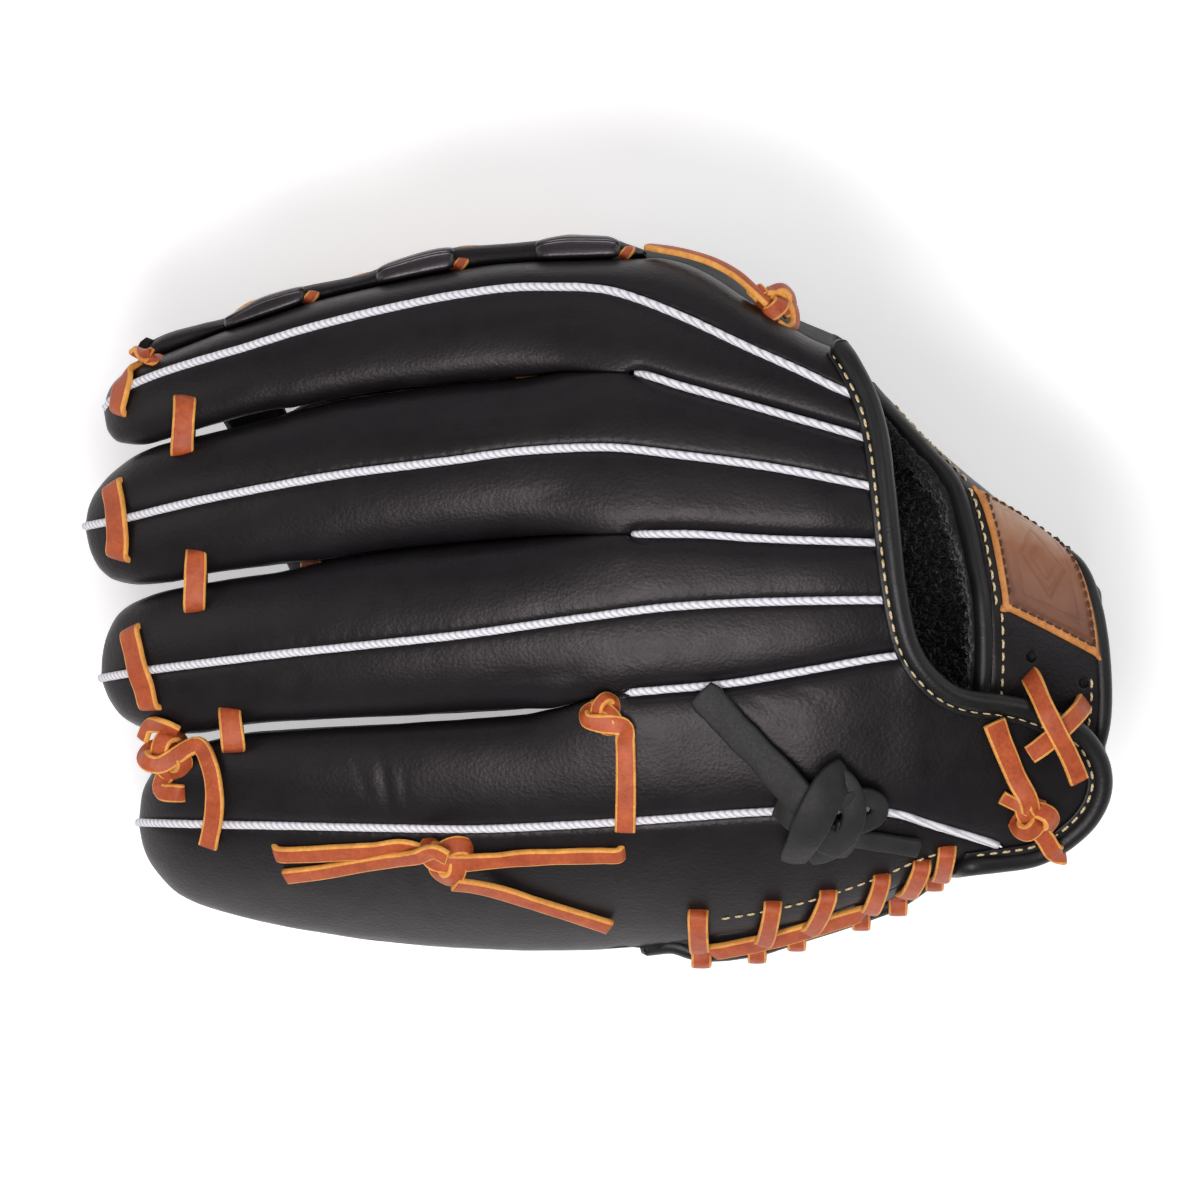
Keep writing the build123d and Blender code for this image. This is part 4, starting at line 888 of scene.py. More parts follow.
OPEN_X = curve([(-14.0, 92.4), (1.2, 88.8), (18.9, 86.6), (36, 84.8), (48.9, 83.1), (60, 80.1), (71.4, 74.4)])
OPEN_UP = curve([(88.8, 1.2), (92.4, -14.0), (98.2, -22.9), (104.6, -28.0), (111, -30.2), (119, -31.2), (127, -32.8), (135.5, -36.0), (143.9, -40.0), (150, -49.2), (150.6, -52.6)])
OPEN_LOW = curve([(100, -81.8), (106, -80.2), (110.5, -79.6), (120, -78.8), (130.5, -77.2), (139.8, -72.4), (147.4, -65.0), (150, -58.6), (150.6, -54.4)])
SLIT = {
    "index_middle": curve([(-116, 1.3), (-100, 0.8), (-84, 0.4), (-30, 0.25), (6, 0.12), (12, 1.1), (90, 1.1)]),
    "middle_ring": curve([(-110, 1.5), (-93, 1.0), (-84, 0.4), (-30, 0.2), (6, 0.12), (12, 1.1), (90, 1.1)]),
    "ring_pinky": curve([(-110, 1.3), (-60, 1.15), (-22, 0.9), (-14, 0.2), (3, 0.12), (9, 1.1), (90, 1.1)]),
}
NEIGHBOUR = {("index", -1): "index_middle", ("middle", 1): "index_middle", ("middle", -1): "middle_ring", ("ring", 1): "middle_ring", ("ring", -1): "ring_pinky", ("pinky", 1): "ring_pinky"}
PINKY_EDGE = curve([(60, -96.5), (80, -90), (100, -81.8), (106, -80.2), (110.5, -79.6), (120, -78.8), (126, -78.0)])
CREASES = [(-66, -48, -62, -66, 1.3, 0.55), (-60, -50, -57, -64, 0.9, 0.4), (-74, -46, -69, -61, 1.0, 0.3), (-64, -79, -76, -96, 1.2, 0.4), (-60, -80, -62, -99, 1.1, 0.45), (-56, -80, -48, -98, 1.2, 0.35),
           (36, -30, 56, -48, 0.8, 0.3), (40, -27, 66, -40, 0.9, 0.3), (52, -24, 74, -33, 0.8, 0.25), (96, -48, 112, -62, 1.0, 0.25),
           (-44, 56, -12, 62, 2.2, 0.7), (-52, 50, -20, 53, 1.6, 0.35), (-40, 27, -8, 32, 1.6, 0.3), (-48, 8, -18, 13, 2.0, 0.45), (-34, -24, -4, -22, 1.8, 0.35), (-30, 82, 0, 86, 1.8, 0.3), (20, 88, 50, 76, 1.4, 0.3)]


def edge_v(f, side, x):
    if f == "pinky" and side > 0 and x > 80:
        e = TOP[f](x)
        k = smooth(88, 93, x)
        return min(e, e * (1 - k) + OPEN_UP(x) * k) if x < 93 else OPEN_UP(x)
    if f == "pinky" and side < 0 and x > 78:
        return PINKY_EDGE(x)
    e = TOP[f](x) if side > 0 else BOT[f](x)
    if (f, side) in NEIGHBOUR and x > -98:
        e += side * (HALF_GAP - SLIT[NEIGHBOUR[f, side]](x)) * smooth(-98, -92, x)
    return e


def seam_v(f, x):
    if f == "pinky" and x > 118:
        k = smooth(118, 127, x)
        return SEAM[f](x) * (1 - k) + OPEN_LOW(x) * k
    return SEAM[f](x)


def back_z(f, side, t, x, y):
    z = base(x, y) - groove(f, side, x) * half_depth(x) * (1 - tip_round(x, TIP[f]) * pill(t))
    return z


def panel_point(f, side, tau, x):
    s, e = seam_v(f, x), edge_v(f, side, x)
    w = max(abs(e - s), 0.02)
    t0 = min(0.35, 0.95 / w)
    if f == "pinky" and side > 0 and x > 118:
        t0 *= 1 - smooth(118, 127, x)
    t = t0 + (1 - t0) * tau
    y = s + t * (e - s)
    z = back_z(f, side, t, x, y)
    d = t * w
    seam_end = 112 if f == "pinky" else 200
    fall = 1.35 * math.exp(-((d / 1.5) ** 2)) + 0.55 * math.exp(-((d / 4.5) ** 2))
    fall *= smooth(TIP[f], TIP[f] + 10, x) * (1 - smooth(seam_end + 4, seam_end + 14, x))
    pucker = 0.13 * math.sin(x * 2 * math.pi / 4.1) * math.exp(-(((d - 2.2) / 1.8) ** 2))
    if x > TIP[f] + 20 and x < seam_end:
        z += pucker
    z -= fall
    dd = (1 - t) * w
    if (f, side) in NEIGHBOUR:
        k = smooth(-26, 10, x)
        if not (f == "pinky" and x > 90):
            z -= (1.2 * math.exp(-((dd / 1.5) ** 2)) * smooth(6, 12, x) + 0.8 * math.exp(-((dd / 4.2) ** 2))) * k
        z += 0.35 * k * math.sin(math.pi * min(1, t)) * (1 - smooth(60, 90, x))
    z -= crease_drop(x, y, CREASES)
    return (x, y, z)


TAUS = [0, 0.018, 0.04, 0.066, 0.1, 0.14, 0.19, 0.25, 0.31, 0.38, 0.45, 0.52, 0.59, 0.65, 0.71, 0.765, 0.81, 0.85, 0.885, 0.915, 0.94, 0.96, 0.976, 0.988, 0.996, 1.0]


def panel_grid(f, side):
    tip = TIP[f]
    rows = [tip + TIP_REACH * (1 - math.cos(a)) for a in np.linspace(0.05, math.pi / 2, 20)]
    last = {("pinky", 1): 149.6, ("pinky", -1): 124.0}.get((f, side), 84.0)
    n = int((last - rows[-1]) / 1.35)
    rows += list(np.linspace(rows[-1], last, n + 1)[1:])
    g = np.zeros((len(rows), len(TAUS), 3))
    for j, tau in enumerate(TAUS):
        end = last
        if f != "pinky":
            lo, hi = 60.0, 96.0
            for _ in range(22):
                m = (lo + hi) / 2
                y = panel_point(f, side, tau, m)[1]
                if m < OPEN_X(y) + 0.4:
                    lo = m
                else:
                    hi = m
            end = lo
        for i, x in enumerate(rows):
            xx = x if x < 40 else 40 + (x - 40) * (end - 40) / (last - 40)
            g[i, j] = panel_point(f, side, tau, xx)
    n = grid_normals(g)
    if side < 0:
        n = -n
    g = undulate(g, n, 0.8, seed=1.3 * ["index", "middle", "ring", "pinky"].index(f) + 0.31 * side)
    return g


for f in ("index", "middle", "ring", "pinky"):
    for side, word in ((1, "upper"), (-1, "lower")):
        v, fc, m = shell(panel_grid(f, side), 2.0, flip=(side < 0), roll=0.5)
        o = add_mesh(f"{f}_back_{word}_leather", v, fc, [BLACK])
        settle(o, "finger_side", [f"{f}_back_{word}"])


# ------------------------------------------------------------------ stall fronts
def front_edge(f, side, x):
    e = edge_v(f, side, x)
    if (f, side) in NEIGHBOUR:
        k = smooth(-16, 6, x)
        line = LINE[NEIGHBOUR[f, side]](x)
        e = e * (1 - k) + (line + 0.05 * -side) * k
    return e


PALM_KEYS = sorted(PALM)
PALM_L = [[curve([(k, PALM[k][i][j]) for k in PALM_KEYS]) for j in range(2)] for i in range(7)]


def palm_z_at(x, y):
    pts = [(PALM_L[i][0](x), PALM_L[i][1](x)) for i in range(7)]
    q = catmull([(a, b, 0) for a, b in pts], 6)
    return float(np.interp(y, q[:, 0], q[:, 1]))


palm_end = [(y, palm_z_at(8.2, y)) for y in np.linspace(-104, 97, 90)]


def front_grid(f):
    tip = TIP[f]
    rows = [tip + TIP_REACH * (1 - math.cos(a)) for a in np.linspace(0.05, math.pi / 2, 18)]
    n = int((8.6 - rows[-1]) / 1.8)
    rows += list(np.linspace(rows[-1], 8.6, n + 1)[1:])
    us = np.sin(np.linspace(-math.pi / 2, math.pi / 2, 34))
    walls = np.linspace(0, 1, 6)
    g = np.zeros((len(rows), len(us) + 2 * (len(walls) - 1), 3))
    for i, x in enumerate(rows):
        lo, hi = front_edge(f, -1, x), front_edge(f, 1, x)
        k = smooth(-26, 4, x)
        k2 = smooth(-14, 8.2, x)
        row = []
        for u in us:
            y = (lo + hi) / 2 + u * (hi - lo) / 2
            kk = k2 if f == "pinky" and u < 0 else k
            pl = pill(abs(u)) * (1 - kk) + kk
            z = base(x, y) - half_depth(x) * (1 + tip_round(x, tip) * pl) - GAP
            if k > 0 and (f, 1 if u > 0 else -1) in NEIGHBOUR:
                d = (1 - abs(u)) * (hi - lo) / 2
                z += 1.5 * k * math.exp(-((d / 1.8) ** 2)) * (1 - 0.6 * k2)
            pz = float(np.interp(y, [q[0] for q in palm_end], [q[1] for q in palm_end]))
            z = z * (1 - k2) + pz * k2
            row.append((x, y, z))
        tl = back_z(f, -1, 1, x, lo) - 0.9
        tr = back_z(f, 1, 1, x, hi) - 0.9
        zl, zr = row[0][2], row[-1][2]
        left = [(x, lo, max(tl, zl + 0.15) + (zl - max(tl, zl + 0.15)) * w) for w in walls[:-1]]
        right = [(x, hi, zr + (max(tr, zr + 0.15) - zr) * w) for w in walls[1:]]
        g[i] = np.array(left + row + right)
    n = grid_normals(g)
    out = undulate(g, -n, 0.7, seed=7 + ["index", "middle", "ring", "pinky"].index(f))
    fade = np.array([1 - smooth(0, 8, x) for x in rows])[:, None, None]
    return g * (1 - fade) + out * fade


for f in ("index", "middle", "ring", "pinky"):
    v, fc, m = shell(front_grid(f), 2.2, flip=True, roll=0.3)
    o = add_mesh(f"{f}_front_leather", v, fc, [BLACK])
    settle(o, "finger_side", [f"{f}_front"])


# ------------------------------------------------------------------ welts
def welt_row(soup, pts, width=2.5, height=4.4, seed=0.0):
    both = catmull(pts, 3)
    path = resample(both, 1.1)
    for i in range(len(path)):
        path[i][2] += 0.10 * noise.noise(Vector((path[i][0] * 0.9, seed, 0)))
        path[i][1] += 0.09 * noise.noise(Vector((path[i][0] * 0.5, seed + 4, 0)))
    v, f, m = strap_form(path, [(0, 0, 1)] * len(path), width, height, 0.48, False, 5, 0.0, seed, 0.05)
    soup.add(v, f, 0)


def seam_top(f, x):
    y = seam_v(f, x)
    return base(x, y) - half_depth(x) * (1 - tip_round(x, TIP[f])) * groove(f, -1, x)


for f, last in (("index", None), ("middle", None), ("ring", None), ("pinky", 119.0)):
    s = Soup()
    if last is None:
        last = 70.0
        while last < OPEN_X(SEAM[f](last)) - 1.0:
            last += 0.5
    xs = [TIP[f] + d for d in (0.9, 2.2, 4.5, 8, 12, 17, 24)] + list(np.linspace(TIP[f] + 34, last, 24))
    welt_row(s, [(x, seam_v(f, x), seam_top(f, x) + 0.35 - 2.2) for x in xs], 2.45, 4.4, 3.1)
    o = s.make(f"{f}_welt_strip", [WHITE])
    settle(o, "finger_side", [f"{f}_welt"])

s = Soup()
for name, first in (("index_middle", 11.0), ("middle_ring", 10.0), ("ring_pinky", 5.5)):
    last = 70.0
    while last < OPEN_X(LINE[name](last)) - 1.0:
        last += 0.5
    xs = [first, first + 2, first + 5] + list(np.linspace(first + 10, last, 14))
    pts = [(x, LINE[name](x), base(x, LINE[name](x)) - groove("middle", 1, x) * HAND_H + 0.45 - 2.2 - 2.6 * (1 - smooth(first, first + 6, x))) for x in xs]
    welt_row(s, pts, 2.35, 4.4, 8.8)
o = s.make("gap_welt_strips", [WHITE])
settle(o, "finger_side", ["gap_welts"])


# ------------------------------------------------------------------ palm leather through the crease to the thumb
FOLD = {
    8.2: [(99.5, 85.5), (101.2, 78), (101, 66), (98.8, 50), (96, 40), (89.5, 29), (74, 20.5)],
    30: [(94, 80.5), (97.5, 75), (97.8, 65), (95.8, 50), (93.6, 40), (88, 30.5), (76, 21)],
    45: [(85.5, 75), (88.5, 70.5), (89, 62), (87.2, 50), (86.4, 40), (84, 31), (76, 21.5)],
    58: [(77, 68.5), (79.6, 64.5), (80, 58), (79, 49.5), (78.2, 40), (76.6, 31), (71, 21.5)],
    72: [(68.5, 62.5), (71, 58.5), (71.8, 53.5), (71.8, 47), (71.4, 39), (70.6, 31.5), (66, 23)],
    86: [(60.5, 52.8), (63, 50), (64.4, 46.5), (64.8, 42), (64.4, 37), (63.4, 32), (59, 26)],
    98: [(52.4, 46.9), (54.6, 45), (55.8, 42.5), (56, 39.5), (55.4, 36.5), (54, 33.4), (50.5, 30)],
    108: [(46.4, 43.2), (48, 41.8), (48.8, 40), (48.8, 38), (48.2, 36), (47, 34.2), (44.4, 32.0)],
    127: [(30.4, 41), (31.6, 40), (32.2, 38.8), (32.2, 37.4), (31.8, 36), (31, 34.8), (29.2, 33.4)],
    148: [(15, 39.1), (16, 38.5), (16.5, 37.7), (16.5, 36.8), (16.2, 36), (15.6, 35.2), (14.2, 34.4)],
}
FK = sorted(FOLD)
FOLD_L = [[curve([(k, FOLD[k][i][j]) for k in FK]) for j in range(2)] for i in range(7)]
PALM_CREASES = [(20, 40, 120, 8, 2.2, 0.9), (30, 10, 100, -20, 2.0, 0.5), (60, 60, 130, 20, 1.6, 0.6), (15, -60, 80, -52, 1.8, 0.4), (100, -40, 140, -20, 1.5, 0.4)]


def palm_section(x, fold=True):
    pts = [(PALM_L[i][0](x), PALM_L[i][1](x)) for i in range(7)]
    if fold:
        pts += [(FOLD_L[i][0](x), FOLD_L[i][1](x)) for i in range(7)]
    return pts


def palm_grid(up=0.0, xs=None, fold=True, amp=0.7, first=0, last=None, per=6, seed=20.0):
    rows = []
    for x in xs:
        pts = palm_section(x, fold)[first:last]
        q = catmull([(0.0, a, b) for a, b in pts], per)
        q[:, 0] = x
        rows.append(q)
    g = np.array(rows)
    n = grid_normals(g)
    if n[len(xs) // 2, g.shape[1] // 5, 2] < 0:
        n = -n
    for i in range(g.shape[0]):
        for j in range(g.shape[1]):
            g[i, j] -= n[i, j] * 0
            g[i, j, 2] += crease_drop(g[i, j, 0], g[i, j, 1], PALM_CREASES) * (1 if j < 6 * per else 0)
    out = undulate(g, n, amp, seed)
    fade = np.array([smooth(8.2, 16, x) for x in xs])[:, None, None]
    g = g * (1 - fade) + out * fade
    return g + n * up, n


xs = [8.2] + list(np.arange(10, 148.1, 2.0))
g, n = palm_grid(0, xs)
v, fc, m = shell(g, 2.4, flip=True, roll=0.5)
o = add_mesh("palm_leather_sheet", v, fc, [PALM_M])
settle(o, None, ["palm_shell"], flex=True)

g, n = palm_grid(3.0, list(np.arange(12, 76, 3.0)), fold=False, amp=0.9, first=1, last=6, seed=31)
v, fc, m = shell(g, 3.6, flip=True, roll=0.9)
o = add_mesh("palm_felt", v, fc, [FELT])
settle(o, "finger_side", ["palm_felt_pad"])


# ------------------------------------------------------------------ hand lining with shearling
def tufts(soup, spots, height=2.6, radius=0.55, curl=1.0):
    """Short curled locks of wool standing on a surface. spots are (point, normal)."""
    for p, n in spots:
        n = np.array(n, float)
        n /= max(np.linalg.norm(n), 1e-9)
        a = np.cross(n, (0.3, 0.7, 0.2))
        a /= np.linalg.norm(a)
        b = np.cross(n, a)
        h = height * rng.uniform(0.7, 1.3)
        ph = rng.uniform(0, 6.28)
        lean = rng.uniform(0.2, 0.9) * curl
        pts = []
        for k in range(5):
            s = k / 4
            r = lean * s * h * 0.55
            pts.append(np.array(p) + n * (h * s * (1 - 0.25 * s) - 0.5) + a * r * math.cos(ph + 3.2 * s) + b * r * math.sin(ph + 3.2 * s))
        T, U, S = frames(np.array(pts), [tuple(a)] * 5)
        rad = radius * rng.uniform(0.8, 1.25)
        verts = []
        for i in range(5):
            rr = rad * (1.0, 1.1, 0.95, 0.65, 0.2)[i]
            for k in range(5):
                an = 2 * math.pi * k / 5
                verts.append(pts[i] + S[i] * rr * math.cos(an) + U[i] * rr * math.sin(an))
        faces = [(i * 5 + k, i * 5 + (k + 1) % 5, (i + 1) * 5 + (k + 1) % 5, (i + 1) * 5 + k) for i in range(4) for k in range(5)]
        faces.append(tuple(20 + k for k in range(5)))
        soup.add(verts, faces, 0)


def fur_sheet(name, g, n, thick, nodes, body, count, height=2.6, radius=0.55, flip=False, keep=None):
    nn = np.array(n)
    gg = np.array(g)
    for i in range(gg.shape[0]):
        for j in range(gg.shape[1]):
            p = gg[i, j]
            gg[i, j] = p + nn[i, j] * (0.9 * nz(p, 4.5, 2) + 0.6 * nz(p, 2.2, 6))
    v, fc, m = shell(gg, thick, flip=flip, roll=0.6)
    s = Soup()
    s.add(v, fc, 0)
    spots = []
    while len(spots) < count:
        a, b = rng.uniform(0, g.shape[0] - 1.001), rng.uniform(0, g.shape[1] - 1.001)
        i, j = int(a), int(b)
        u, w = a - i, b - j
        p = (gg[i, j] * (1 - u) + gg[i + 1, j] * u) * (1 - w) + (gg[i, j + 1] * (1 - u) + gg[i + 1, j + 1] * u) * w
        if keep is None or keep(p):
            spots.append((p, nn[i, j]))
        else:
            spots.append((None, None))
    tufts(s, [q for q in spots if q[0] is not None], height, radius)
    o = s.make(name, [FUR])
    settle(o, body, nodes)
    return o


# palm side of the hand cavity: smooth lining deep inside, wool towards the wrist
g, n = palm_grid(8.2, list(np.arange(12, 104, 3.0)), fold=False, amp=0.6, first=1, last=6, seed=41)
v, fc, m = shell(g, 1.3, flip=False, roll=0.6)
o = add_mesh("palm_lining_leather", v, fc, [SOFT])
settle(o, "finger_side", ["palm_lining"])
g, n = palm_grid(8.6, list(np.arange(64, 143, 1.5)), fold=False, amp=0.6, first=1, last=6, per=10, seed=42)
fur_sheet("palm_shearling", g, n, 1.6, [], "finger_side", 4200, 3.4, 0.85)

# under the back, behind the opening binding
rows = []
for y in np.linspace(-13, 72, 56):
    r = []
    for u in np.linspace(0, 1, 18):
        x = 46 + (OPEN_X(min(71.4, y)) - 0.5 - 46) * u
        drop = 7.2 - 4.2 * smooth(0.72, 1.0, u)
        r.append((x, y * (1 - 0.04 * (1 - u)), base(x, y) - drop))
    rows.append(r)
g = np.array(rows)
n = grid_normals(g)
if n[20, 9, 2] > 0:
    n = -n
fur_sheet("back_shearling", g, n, 1.6, ["opening_lining"], "finger_side", 1500, 2.6, 0.6, flip=bool(np.cross(g[21, 9] - g[20, 9], g[20, 10] - g[20, 9])[2] > 0))

# stall linings and the stiffener of the little finger
s = Soup()
for f in ("index", "middle", "ring", "pinky"):
    xs = [TIP[f] + 12, TIP[f] + 14, TIP[f] + 18] + list(np.linspace(TIP[f] + 24, 4, 24))
    rows = []
    for x in xs:
        c = (0.0,) + stall_centre(f, x)
        r = []
        for t in np.sin(np.linspace(-1.15, 1.15, 16)):
            y, z = front_point(f, t, x)
            d = np.array([0, c[1] - y, c[2] - z])
            ln = np.linalg.norm(d)
            r.append(np.array([x, y, z]) + d / ln * min(3.4, 0.6 * ln))
        rows.append(r)
    v, fc, m = shell(np.array(rows), 1.2, flip=True, roll=0.5)
    s.add(v, fc, 0)
o = s.make("stall_linings", [SOFT])
settle(o, "finger_side", ["finger_linings"])
s = Soup()
rows = []
for x in np.linspace(TIP["pinky"] + 20, -10, 26):
    c = stall_centre("pinky", x)
    r = []
    for t in np.linspace(-0.6, 0.6, 12):
        y, z = front_point("pinky", t, x)
        d = np.array([0, c[0] - y, c[1] - z])
        ln = np.linalg.norm(d)
        r.append(np.array([x, y, z]) + d / ln * min(5.2, 0.6 * ln))
    rows.append(r)
v, fc, m = shell(np.array(rows), 2.6, flip=True, roll=0.9)
s.add(v, fc, 0)
o = s.make("little_finger_felt", [FELT])
settle(o, "finger_side", ["pinky_stiffener"])


# ------------------------------------------------------------------ outer wall of the crease
HEEL_Y = curve([(8, -104.9), (22, -103.8), (28, -105.6), (34, -106.2), (47, -104.6), (59, -101.0), (79, -94.6), (90, -90.2), (100, -83.4), (106, -79.4)])
IWK = sorted(INDEX_WALL)
IW = [[curve([(k, INDEX_WALL[k][i][j]) for k in IWK]) for j in range(2)] for i in range(3)]
TWK = sorted(THUMB_WALL)
TW = [[curve([(k, THUMB_WALL[k][i][j]) for k in TWK]) for j in range(2)] for i in range(4)]


def outer_wall_section(x):
    xi = min(x, 69.5)
    y0 = TOP["index"](min(x, 76))
    z0 = base(x, y0) - half_depth(x)
    k = smooth(70, 88, x)
    drop = [(y0 - 0.4, z0 + 1.0), (y0 + 0.5, z0 - 1.5)]
    w = [(IW[i][0](xi) + 0.5, IW[i][1](xi)) for i in (1, 2)]
    t = [(TW[i][0](x) + 0.6, TW[i][1](x)) for i in (3, 2, 1, 0)]
    pts = drop + w + t
    if k > 0:
        # past the binding the wall drops to the height of the strap's end
        top = 72 - 20 * k
        pts = [(a - 1.2 * k, min(b, top - 2.2 * i) if i < 4 else b) for i, (a, b) in enumerate(pts)]
    return pts


rows = []
for x in list(np.arange(6.5, 88.1, 1.8)):
    q = catmull([(0.0, a, b) for a, b in outer_wall_section(x)], 7)
    q[:, 0] = x
    rows.append(q)
g = np.array(rows)
n = grid_normals(g)
if n[10, 20, 1] < 0:
    n = -n
g = undulate(g, n, 0.9, 51)
v, fc, m = shell(g, 2.2, flip=bool(np.cross(g[11, 20] - g[10, 20], g[10, 21] - g[10, 20])[1] < 0), roll=0.5)
# the wall takes the darker copy of the black leather, painted shade
o = add_mesh("crotch_wall_leather", v, fc, [SHADED_WALL_M])
settle(o, None, ["index_wall", "thumb_wall"], flex=True)

# ------------------------------------------------------------------ heel wall of the little finger side
rows = []
for x in np.arange(6, 110.6, 1.6):
    e = edge_v("pinky", -1, x) if x > 6 else BOT["pinky"](x)
    z0 = back_z("pinky", -1, 1, x, e) - 0.6
    r = []
    hy = HEEL_Y(min(x, 106))
    z1 = 66.2 + 0.0 * x
    for s_ in np.linspace(-0.12, 1, 16):
        sx = x - 4.5 * max(0, s_) * smooth(96, 110, x)
        y = e + (hy + 1.0 - e) * max(0, s_) + (3.0 * s_ * -8 if s_ < 0 else 0) * 0.12
        z = z0 + (min(z1, z0 - 0.4) - z0) * max(0, s_)
        y -= 1.6 * math.sin(math.pi * max(0, s_)) * smooth(12, 40, x)
        if s_ < 0:
            y, z = e + 2.4 * -s_ / 0.12, z0 + 0.0
        r.append((sx, y, z))
    rows.append(r)
g = np.array(rows)
n = grid_normals(g)
if n[30, 8, 1] > 0:
    n = -n
g = undulate(g, n, 0.6, 61)
v, fc, m = shell(g, 2.0, flip=bool(np.cross(g[31, 8] - g[30, 8], g[30, 9] - g[30, 8])[1] > 0), roll=0.5)
o = add_mesh("heel_wall_leather", v, fc, [BLACK])
settle(o, "finger_side", [])


# ------------------------------------------------------------------ surface under the laces
def top_z(x, y):
    """Height of the finished leather on the back at a point."""
    for f in ("index", "middle", "ring", "pinky"):
        if x <= TIP[f]:
            continue
        s = seam_v(f, x)
        for side in (1, -1):
            e = edge_v(f, side, x)
            if min(s, e) - 0.01 <= y <= max(s, e) + 0.01 and abs(e - s) > 0.05:
                t = (y - s) / (e - s)
                return back_z(f, side, min(1, max(0, t)), x, y)
    return None


def lift_z(x, y, reach=3.0):
    best = None
    for dx, dy in ((0, 0), (0, reach), (0, -reach), (reach, 0), (-reach, 0)):
        z = top_z(x + dx, y + dy)
        if z is not None:
            if dx == 0 and dy == 0:
                return z
            best = z if best is None else max(best, z - 0.8)
    return best if best is not None else base(x, y) - 4.0


def top_n(x, y):
    a, b = lift_z(x + 1.2, y), lift_z(x - 1.2, y)
    c, d = lift_z(x, y + 1.2), lift_z(x, y - 1.2)
    v = np.array([-(a - b) / 2.4, -(c - d) / 2.4, 1.0])
    v[0] = max(-1.3, min(1.3, v[0]))
    v[1] = max(-1.3, min(1.3, v[1]))
    return tuple(v / np.linalg.norm(v))


def on_back(points, lift=1.15):
    """Plan points (x, y[, extra]) laid on the leather; gives points and up vectors."""
    P, U = [], []
    for q in points:
        e = q[2] if len(q) > 2 else 0.0
        n = top_n(q[0], q[1])
        z = lift_z(q[0], q[1])
        P.append((q[0] + n[0] * (lift + e) * 0.5, q[1] + n[1] * (lift + e) * 0.5, z + (lift + e)))
        U.append(n)
    return P, U


def through(points, lift=1.15, dive0=True, dive1=True, deep=3.2, step=1.6):
    """Lace lying on the leather that goes down through a hole at either end."""
    P, U = on_back(points, lift)
    P = [np.array(p) for p in P]
    U = [np.array(u) for u in U]
    if dive0:
        d = P[0] - P[1]
        d /= np.linalg.norm(d)
        P = [P[0] + d * step - U[0] * deep, P[0] + d * step * 0.62 - U[0] * 1.1] + P
        U = [d * 0.97 + U[0] * 0.25, d * 0.75 + U[0] * 0.65] + U
    if dive1:
        d = P[-1] - P[-2]
        d /= np.linalg.norm(d)
        P = P + [P[-1] + d * step * 0.62 - U[-1] * 1.1, P[-1] + d * step - U[-1] * deep]
        U = U + [d * 0.75 + U[-1] * 0.65, d * 0.97 + U[-1] * 0.25]
    return P, U


def knot_path(c, e1, up, R=6.5, zamp=2.6, turn=0.0, squash_=0.8, t0=0.35, t1=5.95, n=15, mirror=1):
    """Open overhand knot; returns points and ups, flat faces turned out from its middle."""
    c = np.array(c, float)
    up = np.array(up, float)
    up /= np.linalg.norm(up)
    e1 = np.array(e1, float)
    e1 = e1 - up * e1.dot(up)
    e1 /= np.linalg.norm(e1)
    e2 = np.cross(up, e1)
    P, U = [], []
    for t in np.linspace(t0, t1, n):
        a = (math.sin(t) + 2 * math.sin(2 * t)) / 3
        b = (math.cos(t) - 2 * math.cos(2 * t)) / 3 * mirror
        h = -math.sin(3 * t)
        ca, sa = math.cos(turn), math.sin(turn)
        a, b = a * ca - b * sa, a * sa + b * ca
        p = c + e1 * a * R + e2 * b * R * squash_ + up * (h * zamp)
        r = e1 * a + e2 * b
        P.append(p)
        U.append(up * 0.9 + r * 0.75 + up * 0.2 * h)
    return P, U


def cut_end(soup):
    pass


TL = [TAN, TAN_EDGE]


def tan_piece(name, soup, nodes, body="finger_side", mats=None, flex=False):
    o = soup.make(name, mats or TL)
    return settle(o, body, nodes, flex=flex)


# tip loops: flat lace over each tip, down through two holes
s = Soup()
for pts, w in ((((-142.0, 68.6), (-143.2, 65.0, 0.3), (-144.2, 61.2, 0.5), (-144.9, 57.6, 0.1)), 6.8),
               (((-146.6, 34.0), (-145.6, 29.0, 0.25), (-144.9, 23.8, 0.75), (-144.7, 18.6, 0.3), (-145.0, 13.8)), 7.6),
               (((-141.2, -9.8), (-140.0, -15.0, 0.25), (-138.6, -20.6, 0.8), (-136.8, -26.4, 0.3), (-135.6, -31.6)), 7.2)):
    P, U = through(pts, 1.1)
    lace(s, P, U, w, 2.0, per=9, seed=pts[0][0], rough=0.10)
# small end showing above the index tip
P, U = through(((-138.6, 74.6), (-136.0, 73.4, 0.4), (-133.6, 72.6)), 0.9, deep=2.2, step=1.0)
lace(s, P, U, 5.2, 1.9, per=8, seed=3)
tan_piece("tip_loops", s, ["tip_lace_loops"])

